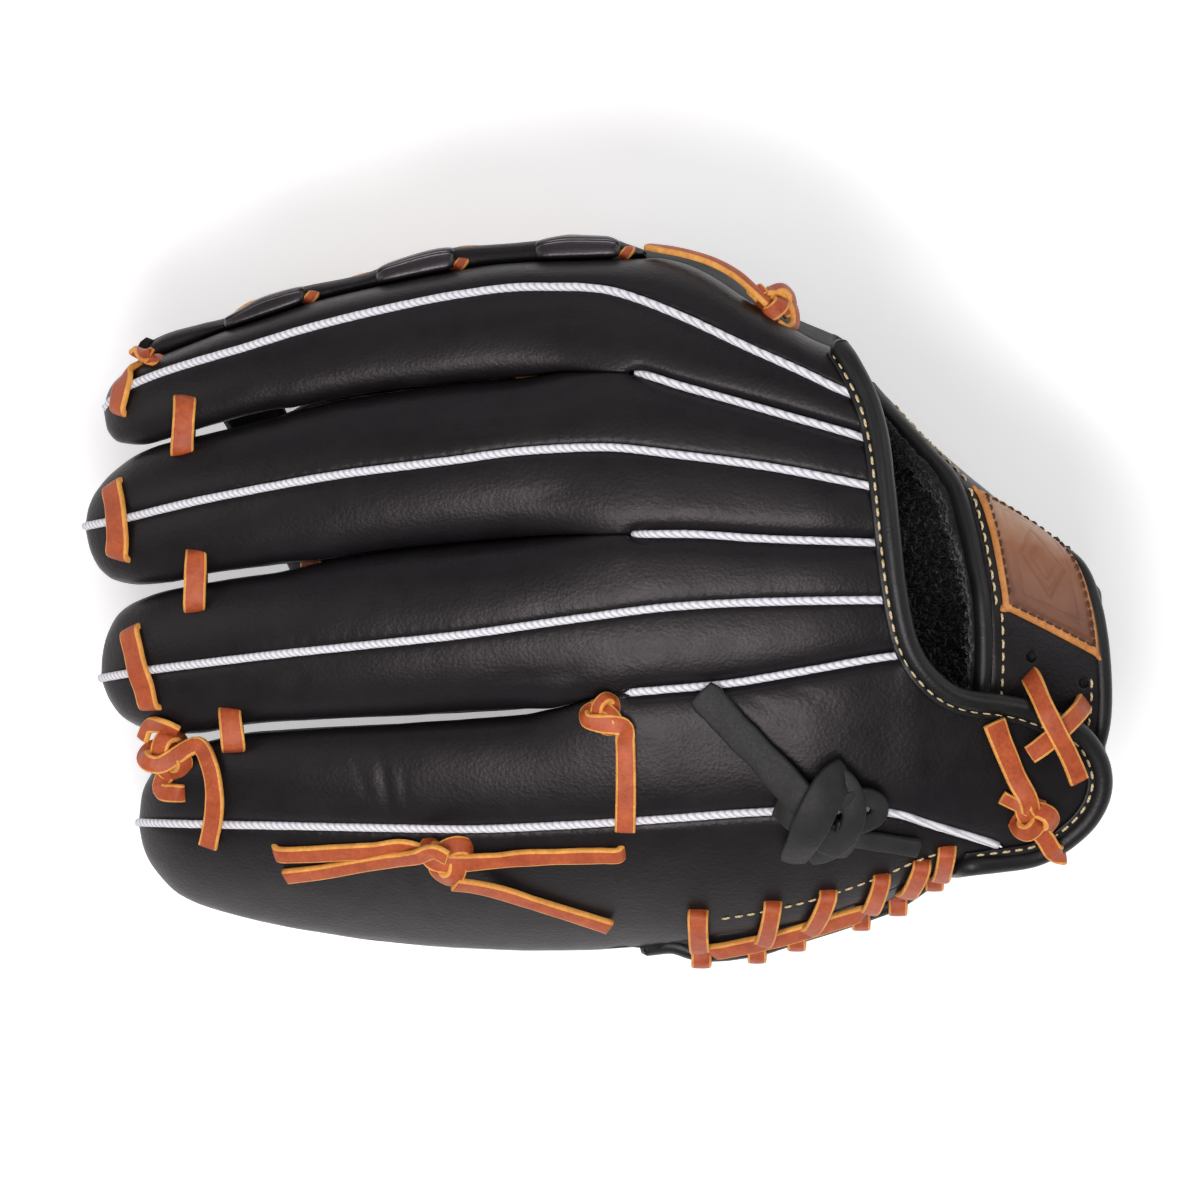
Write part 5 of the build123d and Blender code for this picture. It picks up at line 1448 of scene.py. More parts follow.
# ties between neighbouring tips
s = Soup()
for (xa, ya), (xb, yb), w in (((-124.8, 58.8), (-125.6, 45.8), 7.0), ((-121.3, 12.6), (-121.8, -1.0), 6.6), ((-111.2, -34.6), (-110.2, -43.2), 7.2)):
    za, zb = lift_z(xa, ya), lift_z(xb, yb)
    zt = max(za, zb) + 1.9
    mid = ((xa + xb) / 2, (ya + yb) / 2, zt + 0.9)
    P = [(xa, ya + 2.0, za - 3.4), (xa, ya + 1.7, za - 0.2), (xa, ya + 0.2, zt), mid, (xb, yb - 0.2, zt), (xb, yb - 1.7, zb - 0.2), (xb, yb - 2.0, zb - 3.4)]
    U = [(0, 1, 0.15), (0, 0.8, 0.6), (0, 0.25, 1), (0, 0, 1), (0, -0.25, 1), (0, -0.8, 0.6), (0, -1, 0.15)]
    lace(s, P, U, w, 2.1, per=8, seed=xa, rough=0.08)
    # the same lace seen again under the stalls
    zu = min(za, zb) - 26
    P = [(xa, ya + 1.6, za - 22), (xa, ya + 0.6, zu - 1.2), ((xa + xb) / 2, (ya + yb) / 2, zu - 1.8), (xb, yb - 0.6, zu - 1.2), (xb, yb - 1.6, zb - 22)]
    U = [(0, 1, -0.3), (0, 0.5, -1), (0, 0, -1), (0, -0.5, -1), (0, -1, -0.3)]
    lace(s, P, U, 6.2, 2.0, per=6, seed=xb)
tan_piece("tip_ties", s, ["tip_cross_laces"])

# knot and tail on the little finger's tip
s = Soup()
cz = lift_z(-130.2, -47.0)
kc = (-130.4, -46.6, cz + 3.6)
kp, ku = knot_path(kc, (1, 0.15, 0), (0.05, 0.1, 1), 7.0, 2.7, turn=0.5, squash_=0.92)
P0, U0 = on_back(((-127.0, -58.0), (-131.8, -57.0, 0.8)), 1.1)
tail, tu = on_back(((-119.6, -44.0, 2.8), (-116.8, -50.0, 1.2), (-115.6, -57.0, 0.8), (-115.8, -64.0, 0.9), (-117.8, -73.6, 0.7)), 1.2)
lace(s, [(-124.6, -58.0, lift_z(-124.6, -58) - 2.6)] + P0 + kp + tail, [(1, 0, 0.4)] + U0 + ku + tu, 5.6, 2.0, per=8, seed=1.0, rough=0.10, taper=[(0, 1), (0.7, 0.98), (0.86, 1.0), (1, 1.08)])
P, U = on_back(((-137.6, -42.6, 0.4), (-135.2, -38.4, 1.2), (-130.6, -36.9, 1.6), (-126.6, -38.6, 1.4)), 1.2)
lace(s, P, U, 4.8, 1.9, per=7, seed=5)
tan_piece("little_finger_tip_knot", s, ["pinky_tip_knot"])

# knot between ring and little finger, tail lying straight down
s = Soup()
kc = (0.9, -34.2, lift_z(0.9, -36) + 3.0)
kp, ku = knot_path(kc, (0.8, -0.4, 0), (0, 0, 1), 5.6, 2.0, turn=1.1, squash_=0.95, n=13)
tail, tu = on_back(((7.0, -37.6, 3.2), (7.6, -42.0, 1.3), (7.8, -50.0, 0.9), (7.8, -58.0, 0.9), (7.7, -64.0, 1.4), (7.6, -68.4, 2.0)), 1.1)
lace(s, [(-1.0, -31.0, lift_z(-1, -36) - 3.5), (-2.2, -32.2, lift_z(-1, -36) + 1.2)] + kp + tail, [(-1, 0, 0.3), (-1, 0, 0.8)] + ku + [(0.3, 0, 1)] + tu[1:], 5.9, 2.0, per=8, seed=2.0, taper=[(0, 0.62), (0.62, 0.68), (0.72, 1.0), (1, 1.05)])
tan_piece("ring_little_finger_knot", s, ["ring_pinky_knot"])

# long knotted lace on the little finger
s = Soup()
a, au = through(((-96.6, -76.2), (-88, -76.2), (-78, -75.6), (-68, -75.0, 0.2), (-58.5, -73.8, 0.8)), 1.15, True, False)
kc = (-45.6, -77.2, lift_z(-45.6, -78) + 3.9)
kp, ku = knot_path(kc, (1, -0.25, 0), (0, -0.15, 1), 7.2, 2.9, turn=0.15, squash_=0.9)
b, bu = through(((-32.5, -77.4, 1.6), (-24, -77.0, 0.3), (-12, -76.6), (0, -76.3), (5.4, -76.2)), 1.15, False, True)
lace(s, a + kp + b, au + ku + bu, 5.7, 2.0, per=8, seed=6.0, rough=0.09)
P, U = on_back(((-94.6, -82.9), (-84, -81.5, 0.2), (-73, -79.4, 0.5), (-63, -77.4, 1.6), (-54.5, -75.4, 4.4), (-49, -73.2, 6.4), (-45.0, -74.6, 7.6)), 1.15)
lace(s, P, U, 5.1, 2.0, per=8, seed=7.0, rough=0.08, taper=[(0, 1.1), (0.2, 1.0), (1, 1)])
P, U = on_back(((-43.0, -82.6, 6.6), (-37.5, -84.2, 4.0), (-30, -86.8, 1.6), (-20, -90.4, 0.6), (-8, -94.2, 0.6), (3.0, -97.6, 1.1)), 1.15)
lace(s, P, U, 5.4, 2.0, per=8, seed=8.0, rough=0.08, taper=[(0, 1), (0.8, 1.0), (1, 1.12)])
tan_piece("little_finger_lace", s, ["pinky_lace"])

# broad black lace and knot on the heel
s = Soup()
P, U = on_back(((29.6, -27.0, 0.9), (34, -31.4, 0.7), (41, -39.0, 0.9), (49, -47.0, 1.4), (55, -53.2, 3.4), (60.0, -58.0, 5.6), (64.0, -62.6, 5.4), (67.0, -66.6, 3.0)), 1.3)
lace(s, P, U, 10.2, 2.6, per=9, seed=11, rough=0.10, crown=0.25, taper=[(0, 0.84), (0.08, 1.0), (0.5, 0.95), (0.8, 1.05), (1, 0.9)])
# part of the knot that runs under the wrap, from the tail's side down to the right
P, U = on_back(((53.6, -60.2, 1.2), (56.4, -61.8, 4.4), (61.0, -65.2, 5.8), (66.4, -69.0, 6.2), (71.6, -71.4, 4.6), (75.2, -72.4, 2.0)), 1.2)
lace(s, P, U, 9.6, 2.6, per=9, seed=12, rough=0.12, crown=0.35)
# the part that comes back round the right of the knot
P, U = on_back(((68.6, -50.8, 2.2), (73.0, -54.0, 5.0), (75.2, -59.4, 6.6), (74.6, -65.4, 6.8), (71.2, -70.6, 5.4), (66.0, -74.4, 3.2), (62.6, -75.6, 1.6)), 1.2)
lace(s, P, U, 7.4, 2.6, per=9, seed=16, rough=0.12, crown=0.35)
# small loop beside the knot
P, U = on_back(((70.6, -60.4, 6.6), (74.4, -57.8, 6.6), (79.4, -57.6, 4.6), (83.0, -60.2, 2.8), (82.6, -63.8, 2.2), (78.6, -65.8, 3.2), (74.0, -66.4, 5.2), (70.0, -66.0, 6.4)), 1.2)
lace(s, P, U, 5.6, 2.3, per=8, seed=13, rough=0.12, crown=0.2)
# short tail
P, U = on_back(((66.6, -66.6, 5.6), (72.0, -69.0, 4.6), (79.0, -71.0, 1.6), (87.0, -72.4, 1.0), (95.4, -73.6, 1.6)), 1.2)
lace(s, P, U, 6.2, 2.4, per=8, seed=14, rough=0.12, crown=0.2)
# broad wrap over the middle of the knot
P, U = on_back(((72.4, -50.4, 2.6), (69.6, -52.6, 6.6), (66.4, -57.0, 9.4), (63.6, -62.6, 10.2), (61.0, -68.6, 9.0), (58.8, -73.6, 5.4), (58.0, -76.4, 2.0)), 1.2)
lace(s, P, U, 11.2, 2.6, per=9, seed=15, rough=0.12, crown=0.5, taper=[(0, 0.8), (0.25, 1.0), (0.6, 1.0), (1, 0.7)])
o = s.make("heel_black_knot", [BLACK_LACE, BLACK_LACE])
settle(o, "finger_side", ["palm_lace_knot"])

# wrist knot over the flap's binding
s = Soup()
kc = (129.8, -65.0, lift_z(129.8, -65.0) + 3.8)
kp, ku = knot_path(kc, (0.3, -0.95, 0), (0.1, -0.1, 1), 6.2, 2.6, turn=0.4, squash_=0.92)
P0, U0 = on_back(((117.4, -36.4, 2.4), (119.4, -41.6, 1.8), (122.0, -47.4, 0.8), (124.6, -53.4, 0.9), (127.4, -58.6, 3.4)), 1.2)
P1, U1 = on_back(((133.0, -70.6, 2.2), (135.6, -74.4, 2.6), (138.6, -77.0, 1.6)), 1.2)
lace(s, P0 + kp + P1, U0 + ku + U1, 6.2, 2.0, per=8, seed=21, rough=0.1, taper=[(0, 1.1), (0.3, 1.0), (0.4, 0.9), (0.85, 0.9), (1, 1.0)])
P, U = on_back(((120.2, -58.8, 0.4), (124.0, -60.6, 1.2), (128.0, -62.0, 3.8)), 1.1)
lace(s, P, U, 4.2, 1.8, per=7, seed=22)
tan_piece("wrist_knot", s, ["wrist_lace_knot"])


# ------------------------------------------------------------------ bindings
def binding_tube(soup, pts, r, per=7, seed=0.0, ups=None, flat=1.0):
    both = catmull(pts, per)
    path = resample(both, 1.3)
    U = np.tile((0.0, 0.0, 1.0), (len(path), 1)) if ups is None else np.stack([np.interp(np.linspace(0, 1, len(path)), np.linspace(0, 1, len(ups)), [u[k] for u in ups]) for k in range(3)], 1)
    T, U, S = frames(path, U)
    seg = 18
    verts = []
    for i in range(len(path)):
        for k in range(seg):
            a = 2 * math.pi * k / seg
            rr = r * (1 + 0.035 * noise.noise(Vector((i * 0.16, seed, k * 0.09))))
            verts.append(path[i] + S[i] * rr * math.cos(a) + U[i] * rr * flat * math.sin(a))
    faces = [(i * seg + k, i * seg + (k + 1) % seg, (i + 1) * seg + (k + 1) % seg, (i + 1) * seg + k) for i in range(len(path) - 1) for k in range(seg)]
    for e, sg in ((0, -1), (len(path) - 1, 1)):
        st = len(verts)
        for k in range(seg):
            verts.append(path[e] + (verts[e * seg + k] - path[e]) * 0.7 + T[e] * sg * r * 0.5)
        verts.append(path[e] + T[e] * sg * r * 0.75)
        for k in range(seg):
            k2 = (k + 1) % seg
            q = (e * seg + k, st + k, st + k2, e * seg + k2)
            t3 = (st + k, st + seg, st + k2)
            faces.append(q if sg > 0 else q[::-1])
            faces.append(t3 if sg > 0 else t3[::-1])
    soup.add(verts, faces, 0)
    return path


s = Soup()
route = [(x, y, base(x, y) - 0.6) for x, y in OPENING[:-1]] + [(110.5, -79.9, base(110.5, -79.6) - 0.8), (107.9, -80.4, 86.0), (106.6, -80.6, 76.0), (106.0, -80.6, 67.0)]
route = [(71.6, 75.4, base(71.6, 75.4) - 3.4)] + route
path = binding_tube(s, route, 3.15, seed=2)
# the binding's flange, sewn down on the leather
cen = np.array([104.0, -30.0, 0])


def inner_side(path, dist, flap=True):
    T = np.gradient(path, axis=0)
    T[:, 2] = 0
    T /= np.maximum(np.linalg.norm(T, axis=1, keepdims=True), 1e-9)
    nrm = np.stack([T[:, 1], -T[:, 0], T[:, 2] * 0], 1)
    return path + nrm * dist


main = path[: int(len(path) * 0.90)]
fl = inner_side(main, 3.0)
keep = [p for p in fl if top_z(p[0], p[1]) is not None]
fl = np.array([(p[0], p[1], lift_z(p[0], p[1]) + 0.25) for p in keep])
fl = resample(catmull(resample(fl, 7), 6), 1.4)
v, fc, m = strap_form(fl, [top_n(p[0], p[1]) for p in fl], 3.6, 1.4, 0.5, False, 4, 0.15, 3, 0.02)
s.add(v, fc, 0)
OPEN_FL = fl
o = s.make("opening_rolled_binding", [ROLL])
settle(o, "finger_side", ["opening_binding"])

st = Soup()
st_line = np.array([(p[0], p[1], p[2] + 0.85) for p in OPEN_FL])
stitch_row(st, resample(st_line, 1.0), (0, 0, 1), 3.9, 2.9, 0.42, 0.0)

# heel binding with its lace bar
s = Soup()
hb = [(x, y - 0.4, 64.0) for x, y in HEEL]
hb[-1] = (106.0, -80.0, 64.6)
binding_tube(s, [(14, -104.9, 61.6)] + hb, 2.75, seed=5)
o = s.make("heel_rolled_binding", [ROLL])
settle(o, "finger_side", ["heel_binding"])
s = Soup()
binding_tube(s, [(147.0, -62.5, 67.6), (149.6, -56, 64.2), (150.2, -45, 58.3), (150.2, -28, 50.8), (150.0, -10, 45.2), (149.6, 2, 42.6), (149.2, 12, 40.6), (147.6, 17.4, 37.6)], 2.75, seed=6, ups=[(1, 0, 0)] * 2)
o = s.make("heel_edge_rolled_binding", [ROLL])
settle(o, None, ["heel_edge_binding"], flex=True)
s = Soup()
binding_tube(s, [(144.2, 14.4, 35.6), (139.2, 18, 33.6), (130, 31.5, 31), (118, 43, 30.6), (104, 54.0, 33), (95, 60.5, 37), (90.5, 64.6, 43), (87.6, 66.4, 50)], 2.65, seed=7, ups=[(1, 0.3, 0)] * 2)
o = s.make("thumb_heel_rolled_binding", [ROLL])
settle(o, None, ["thumb_heel_binding"], flex=True)
s = Soup()
binding_tube(s, [(5.2, 101.4, 93.0), (4.6, 104.4, 86), (4.6, 105.2, 78), (4.8, 104.6, 66), (5.2, 101.8, 50), (5.4, 99.4, 40), (5.8, 92.4, 28.5), (6.2, 80.5, 18.5)], 2.5, seed=8, ups=[(1, 0, 0)] * 2)
o = s.make("crotch_rolled_binding", [ROLL])
settle(o, None, [], flex=True)

# heel lacing
s = Soup()


def heel_surface(x, q):
    """Point on the heel's side wall, q from its top edge (0) to the binding (1)."""
    e = edge_v("pinky", -1, x)
    z0 = back_z("pinky", -1, 1, x, e)
    hy = HEEL_Y(x) - 0.4
    return np.array([x, e + (hy - e) * q - 1.6 * math.sin(math.pi * q) * smooth(12, 40, x), z0 + (66.2 - z0) * q])


bar = []
for x, q in ((31.4, 0.75), (34.5, 0.4), (42, 0.34), (52, 0.32), (62, 0.3), (71, 0.28), (78.5, 0.3), (81.5, 0.5)):
    p = heel_surface(x, q)
    bar.append(p + np.array([0, -1.2, 0.9]) * (1 if 33 < x < 80 else -0.8))
lace(s, bar, [(0, -0.75, 0.66)] * len(bar), 6.4, 2.0, per=7, seed=31, rough=0.07)
for k, (x0, y0, x1, y1) in enumerate(((29.4, -95.6, 30.6, -107.4), (51.8, -93.0, 47.4, -106.4), (68.4, -89.6, 59.4, -103.2), (84.5, -84.8, 78.9, -97.6), (96.5, -80.6, 90.0, -93.2), (104.0, -76.6, 101.0, -85.4))):
    z0 = lift_z(x0, y0 + 1.5)
    hx, hy = x1, HEEL_Y(x1) - 0.4
    mid = heel_surface((x0 + x1) / 2, 0.25)
    P = [(x0 + 0.3, y0 + 2.6, z0 - 3.0), (x0 + 0.2, y0 + 1.8, z0 + 0.6), (x0, y0 - 0.2, z0 + 2.0),
         (mid[0], mid[1] - 1.6, mid[2] + 3.4), (x1, hy + 0.8, 69.6), (x1, hy - 2.6, 68.2), (x1, hy - 3.9, 64.6), (x1 + 0.2, hy - 2.8, 60.9), (x1 + 0.3, hy + 0.6, 59.6), (x1 + 0.3, hy + 4.0, 60.6)]
    U = [(0, 1, 0.1), (0, 0.5, 0.9), (0, -0.15, 1), (0, -0.7, 0.8), (0, -0.55, 1), (0, -0.9, 0.7), (0, -1, 0), (0, -0.7, -0.8), (0, 0, -1), (0, 0.3, -1)]
    lace(s, P, U, 5.6 if k else 6.2, 2.0, per=6, seed=32 + k, rough=0.07)
tan_piece("heel_lacing", s, ["heel_lace"])
# stitches beside the heel lacing
hs = []
for x in np.arange(36, 103, 1.0):
    e = edge_v("pinky", -1, x)
    y = e + 5.2
    hs.append((x, y, lift_z(x, y) + 0.15))
stitch_row(st, hs, (0, -0.3, 1), 3.9, 2.7, 0.36, 0.0)
o = st.make("back_stitching", [THREAD])
settle(o, "finger_side", [])

# ------------------------------------------------------------------ wrist strap
SI = catmull(STRAP_IN, 10)
SO = catmull(STRAP_OUT, 10)


def strap_at(u, v, off=0.0):
    """u along the strap in stations 0..8, v across from the inner edge 0 to the outer 1."""
    k = min(max(u * 10, 0), len(SI) - 1)
    i = min(int(k), len(SI) - 2)
    fr = k - i
    a = SI[i] * (1 - fr) + SI[i + 1] * fr
    b = SO[i] * (1 - fr) + SO[i + 1] * fr
    i0, i1 = max(0, i - 2), min(len(SI) - 1, i + 3)
    t = (SI[i1] + SO[i1]) - (SI[i0] + SO[i0])
    t /= np.linalg.norm(t)
    n = np.cross(b - a, t)
    n /= np.linalg.norm(n)
    crown = 1.5 * (1 - (2 * v - 1) ** 2)
    return a + (b - a) * v + n * (off + crown), n


def strap_grid(us, v0, v1, m, off, wave=0.0, seed=0.0):
    g = np.zeros((len(us), m, 3))
    nn = np.zeros((len(us), m, 3))
    for i, u in enumerate(us):
        a, _ = strap_at(u, 0)
        b, _ = strap_at(u, 1)
        w = np.linalg.norm(b - a)
        for j, s_ in enumerate(np.linspace(0, 1, m)):
            v = (v0 + s_ * (w - v0 - v1)) / w
            p, n = strap_at(u, v, off)
            if wave:
                p = p + n * wave * (0.6 * nz(p, 18, seed) + 0.3 * nz(p, 7, seed + 2))
            g[i, j], nn[i, j] = p, n
    return g, nn


us = np.linspace(0, 8, 100)
g, n = strap_grid(us, 2.6, 2.6, 26, 0.8, 0.5, 71)
up_first = n[40, 12, 2] > 0
fl_ = bool((np.cross(g[41, 12] - g[40, 12], g[40, 13] - g[40, 12])).dot(n[40, 12]) < 0)
v, fc, m = shell(g, 2.4, flip=fl_, roll=0.4)
o = add_mesh("strap_leather", v, fc, [BLACK])
for x, y, z in ((129.3, -17.1, 101), (145.2, -24.9, 96)):
    c = bpy.data.meshes.new("cutter")
    import bmesh
    bm = bmesh.new()
    bmesh.ops.create_cone(bm, cap_ends=True, segments=20, radius1=0.0016, radius2=0.0016, depth=0.05)
    bm.to_mesh(c)
    bm.free()
    co_ = bpy.data.objects.new("cutter", c)
    co_.location = (x * MM, y * MM, z * MM)
    bpy.context.scene.collection.objects.link(co_)
    md = o.modifiers.new("hole", "BOOLEAN")
    md.operation = "DIFFERENCE"
    md.object = co_
    md.solver = "EXACT"
    bpy.context.view_layer.update()
    dg = bpy.context.evaluated_depsgraph_get()
    me2 = bpy.data.meshes.new_from_object(o.evaluated_get(dg))
    o.modifiers.clear()
    o.data = me2
    bpy.data.objects.remove(co_, do_unlink=True)
    bpy.data.meshes.remove(c)
settle(o, "wrist_strap", ["strap_outer"])

s = Soup()
for v_, r in ((0.0, 2.9), (1.0, 2.8)):
    pts = []
    for u in np.linspace(0, 8, 33):
        a, _ = strap_at(u, 0)
        b, _ = strap_at(u, 1)
        w = np.linalg.norm(b - a)
        vv = (0.6 if v_ == 0 else w - 0.6) / w
        p, n_ = strap_at(u, vv, -0.9)
        pts.append(p)
    binding_tube(s, pts, r, per=3, seed=v_ + 9)
o = s.make("strap_rolled_edges", [ROLL])
settle(o, "wrist_strap", ["strap_binding"])

s = Soup()
for d0, side in ((6.3, 0), (5.9, 1)):
    for ua, ub in ((0.5, 2.0) if side == 0 else (0.4, 1.75), (5.2, 7.8)):
        pts, ups = [], []
        for u in np.linspace(ua, ub, 40):
            a, _ = strap_at(u, 0)
            b, _ = strap_at(u, 1)
            w = np.linalg.norm(b - a)
            p, n_ = strap_at(u, (d0 if side == 0 else w - d0) / w, 1.0)
            pts.append(p)
            ups.append(n_ if n_[2] > 0 else -n_)
        stitch_row(s, pts, ups, 3.9, 2.8, 0.4, 0.0)
# stitches in front of the patch run on beside the inner roll
pts, ups = [], []
for u in np.linspace(2.0, 5.2, 60):
    a, _ = strap_at(u, 0)
    b, _ = strap_at(u, 1)
    w = np.linalg.norm(b - a)
    p, n_ = strap_at(u, 4.6 / w, 1.1)
    pts.append(p)
    ups.append(n_ if n_[2] > 0 else -n_)
stitch_row(s, pts, ups, 3.9, 2.8, 0.4, 0.0)
o = s.make("strap_stitching", [THREAD])
settle(o, "wrist_strap", [])


# patch: brown leather with a pressed frame, no lettering; its colour lightens towards +X and +Y as a painted sheen
def rr_dist(a, b, ha, hb, r):
    qa, qb = abs(a) - ha + r, abs(b) - hb + r
    return min(max(qa, qb), 0.0) + math.hypot(max(qa, 0), max(qb, 0)) - r


us = np.linspace(2.02, 5.05, 90)
g, n = strap_grid(us, 7.0, 2.4, 64, 2.2, 0.0)
L = np.linalg.norm(g[-1, 32] - g[0, 32])
W = np.linalg.norm(g[45, -1] - g[45, 0])
for i in range(g.shape[0]):
    for j in range(g.shape[1]):
        a = (i / (g.shape[0] - 1) - 0.5) * L
        b = (j / (g.shape[1] - 1) - 0.5) * W
        d = -rr_dist(a, b, L / 2, W / 2, 2.0)
        dz = -0.9 * math.exp(-((d / 0.7) ** 2)) - 0.28 * math.exp(-(((d - 2.6) / 0.55) ** 2)) - 0.22 * math.exp(-(((d - 6.2) / 0.45) ** 2))
        # a plain pressed lozenge in the middle
        q = abs(a) / (L * 0.26) + abs(b) / (W * 0.24)
        dz -= 0.42 * math.exp(-(((q - 1.0) / 0.085) ** 2)) + 0.30 * math.exp(-(((q - 0.55) / 0.09) ** 2))
        dz += 0.10 * nz(g[i, j], 5.0, 3)
        g[i, j] += n[i, j] * dz * (1 if n[i, j][2] > 0 else -1)
fl_ = bool((np.cross(g[41, 12] - g[40, 12], g[40, 13] - g[40, 12])).dot(n[40, 12]) < 0)
v, fc, m = shell(g, 1.6, flip=fl_, roll=0.35)
nu, nv = g.shape[:2]
mm = []
k = 0
for i in range(nu - 1):
    for j in range(nv - 1):
        edge = i < 4 or j < 3 or i > nu - 6 or j > nv - 5
        mm += [1 if edge else 0, 1]
mm += [1] * (len(fc) - len(mm))
o = add_mesh("strap_patch_leather", v, fc, [PATCH, PATCH_EDGE], mm)
settle(o, "wrist_strap", ["strap_patch"])
s = Soup()
rows_, ups_ = [], []
ring = [(4, j) for j in range(4, nv - 4)] + [(i, nv - 5) for i in range(5, nu - 5)] + [(nu - 6, j) for j in range(nv - 5, 3, -1)] + [(i, 4) for i in range(nu - 6, 3, -1)]
for i, j in ring:
    nn_ = n[i, j] * (1 if n[i, j][2] > 0 else -1)
    rows_.append(g[i, j] + nn_ * 0.25)
    ups_.append(nn_)
stitch_row(s, rows_, ups_, 3.0, 2.1, 0.33, 0.0)
o = s.make("patch_stitching", [DARK_THREAD])
settle(o, "wrist_strap", [])

# shearling under the strap, standing out past its inner edge
us = np.linspace(0.1, 8, 110)
g, n = strap_grid(us, -1.5, 3.4, 26, -4.6, 0.0)
dn = -n if n[40, 12, 2] > 0 else n
fl_ = bool((np.cross(g[41, 12] - g[40, 12], g[40, 13] - g[40, 12])).dot(dn[40, 12]) < 0)
fur_sheet("strap_shearling", g, dn, 3.0, ["strap_lining"], "wrist_strap", 3600, 2.6, 0.6, flip=fl_)
s = Soup()
spots = []
for u in np.linspace(0.2, 7.6, 420):
    a, _ = strap_at(u, 0)
    b, _ = strap_at(u, 1)
    ax = (a - b) / np.linalg.norm(a - b)
    p, n_ = strap_at(u, 0, -3.2 - rng.uniform(0, 3.6))
    spots.append((p + ax * rng.uniform(0.2, 1.6), ax * 0.9 + np.array([0, 0, rng.uniform(-0.5, 0.5)])))
tufts(s, spots, 3.4, 0.7, 1.3)
o = s.make("strap_edge_wool", [FUR])
settle(o, "wrist_strap", [])

# crossed lace that ties the strap to the flap
s = Soup()
A = [(128.6, -22.4, 98.6), (129.2, -23.2, 104.6), (130.6, -26.4, 109.4), (133.4, -33.0, 114.6), (136.6, -39.4, 113.6), (139.6, -45.0, 110.2), (142.2, -50.6, 107.0), (143.6, -54.2, 104.8)]
lace(s, A, [(-0.7, 0.6, 0.3), (-0.5, 0.5, 0.8), (-0.2, 0.3, 1), (0, 0, 1), (0.1, -0.1, 1), (0.25, -0.2, 1), (0.3, -0.2, 1), (0.3, -0.2, 1)], 6.0, 2.0, per=8, seed=51, rough=0.08)
B = [(145.4, -30.4, 92.6), (145.0, -31.4, 99.4), (143.4, -33.6, 105.6), (140.0, -37.0, 109.6), (136.2, -40.6, 110.4), (131.8, -44.2, 111.6), (128.6, -46.4, 112.2)]
lace(s, B, [(0.7, 0.5, 0.2), (0.7, 0.4, 0.6), (0.4, 0.2, 1), (0.2, 0, 1), (0, 0, 1), (0, 0, 1), (-0.1, -0.1, 1)], 6.0, 2.0, per=8, seed=52, rough=0.08)
tan_piece("strap_cross_lace", s, ["strap_x_lace"], body="wrist_strap")

# end of the strap, sewn down to the thumb's heel
rows = []
for s_ in np.linspace(0, 1, 22):
    r = []
    for q in np.linspace(0, 1, 16):
        a = np.array(STRAP_IN[-1]) * (1 - q) + np.array(STRAP_OUT[-1]) * q
        a2 = np.array((81.5, 67.4, 52.0)) * (1 - q) + np.array((92.6, 58.2, 50.0)) * q
        b_ = np.array((80.6, 67.8, 38.0)) * (1 - q) + np.array((93.6, 60.8, 37.0)) * q
        lift_ = np.array((88.0, 54.0, 74.0)) * 0
        p = a * (1 - s_) ** 2 + 2 * a2 * s_ * (1 - s_) + b_ * s_ ** 2
        p = p + np.array((0.55, 0.75, 0)) * (1.2 * math.sin(math.pi * q) - 2.2 * (1 - s_) ** 3)
        r.append(p)
    rows.append(r)
g = np.array(rows)
n = grid_normals(g)
if n[10, 8, 1] < 0:
    n = -n
g = undulate(g, n, 0.6, 81)
v, fc, m = shell(g, 2.2, flip=bool(np.cross(g[11, 8] - g[10, 8], g[10, 9] - g[10, 8]).dot(n[10, 8]) < 0), roll=0.5)
o = add_mesh("strap_tail_leather", v, fc, [BLACK])
settle(o, None, [], flex=True)

# tan lace at the base of the web
s = Soup()
P = [(14.6, 106.0, 93.2), (18.6, 105.4, 97.6), (26, 103.9, 100.4), (34, 101.3, 103.0), (41, 97.4, 105.6), (46.5, 92.6, 107.6), (50.5, 88.8, 108.2)]
U = [(0.1, 0.9, 0.35)] * 3 + [(0.2, 0.9, 0.45)] * 2 + [(0.4, 0.8, 0.5)] * 2
lace(s, P, U, 4.0, 1.9, per=8, seed=61)
kc = (51.6, 89.6, 105.4)
kp, ku = knot_path(kc, (0.8, -0.6, 0), (0.15, 0.75, 0.75), 6.4, 2.4, turn=0.3, squash_=0.9)
lace(s, kp, ku, 5.2, 1.9, per=8, seed=62, rough=0.08)
P = [(50.0, 92.6, 105.2), (54.6, 92.0, 104.6), (58.0, 87.4, 103.2), (58.2, 82.6, 104.6), (55.6, 80.6, 108.4), (52.6, 82.2, 110.2)]
U = [(0, 1, 0.4), (0.5, 0.9, 0.4), (1, 0.3, 0.4), (0.9, -0.3, 0.6), (0.3, -0.6, 1), (0, -0.3, 1)]
lace(s, P, U, 4.4, 1.9, per=8, seed=63)
tan_piece("web_base_knot", s, ["web_base_lace"])


# ------------------------------------------------------------------ web
def web_len(x):
    q = np.array([web_point(x, s_) for s_ in np.linspace(0, 1, 21)])
    return float(np.linalg.norm(np.diff(q, axis=0), axis=1).sum())


WX = np.linspace(-140, 16, 40)
WEB_CACHE = {}


def wp(x, s_, out=0.0):
    """Point on the web's arc, with its outward normal."""
    k = round(x * 4)
    if k not in WEB_CACHE:
        q = np.array([web_point(k / 4, t) for t in np.linspace(0, 1, 41)])
        WEB_CACHE[k] = q
    q = WEB_CACHE[k]
    f_ = min(max(s_, 0), 1) * 40
    i = min(int(f_), 39)
    p = q[i] * (1 - (f_ - i)) + q[i + 1] * (f_ - i)
    i0, i1 = max(0, i - 1), min(40, i + 2)
    d = q[i1] - q[i0]
    n = np.array([0.0, -d[2], d[1]])
    n /= np.linalg.norm(n)
    p = p.copy()
    p[0] = x
    return p + n * out, n


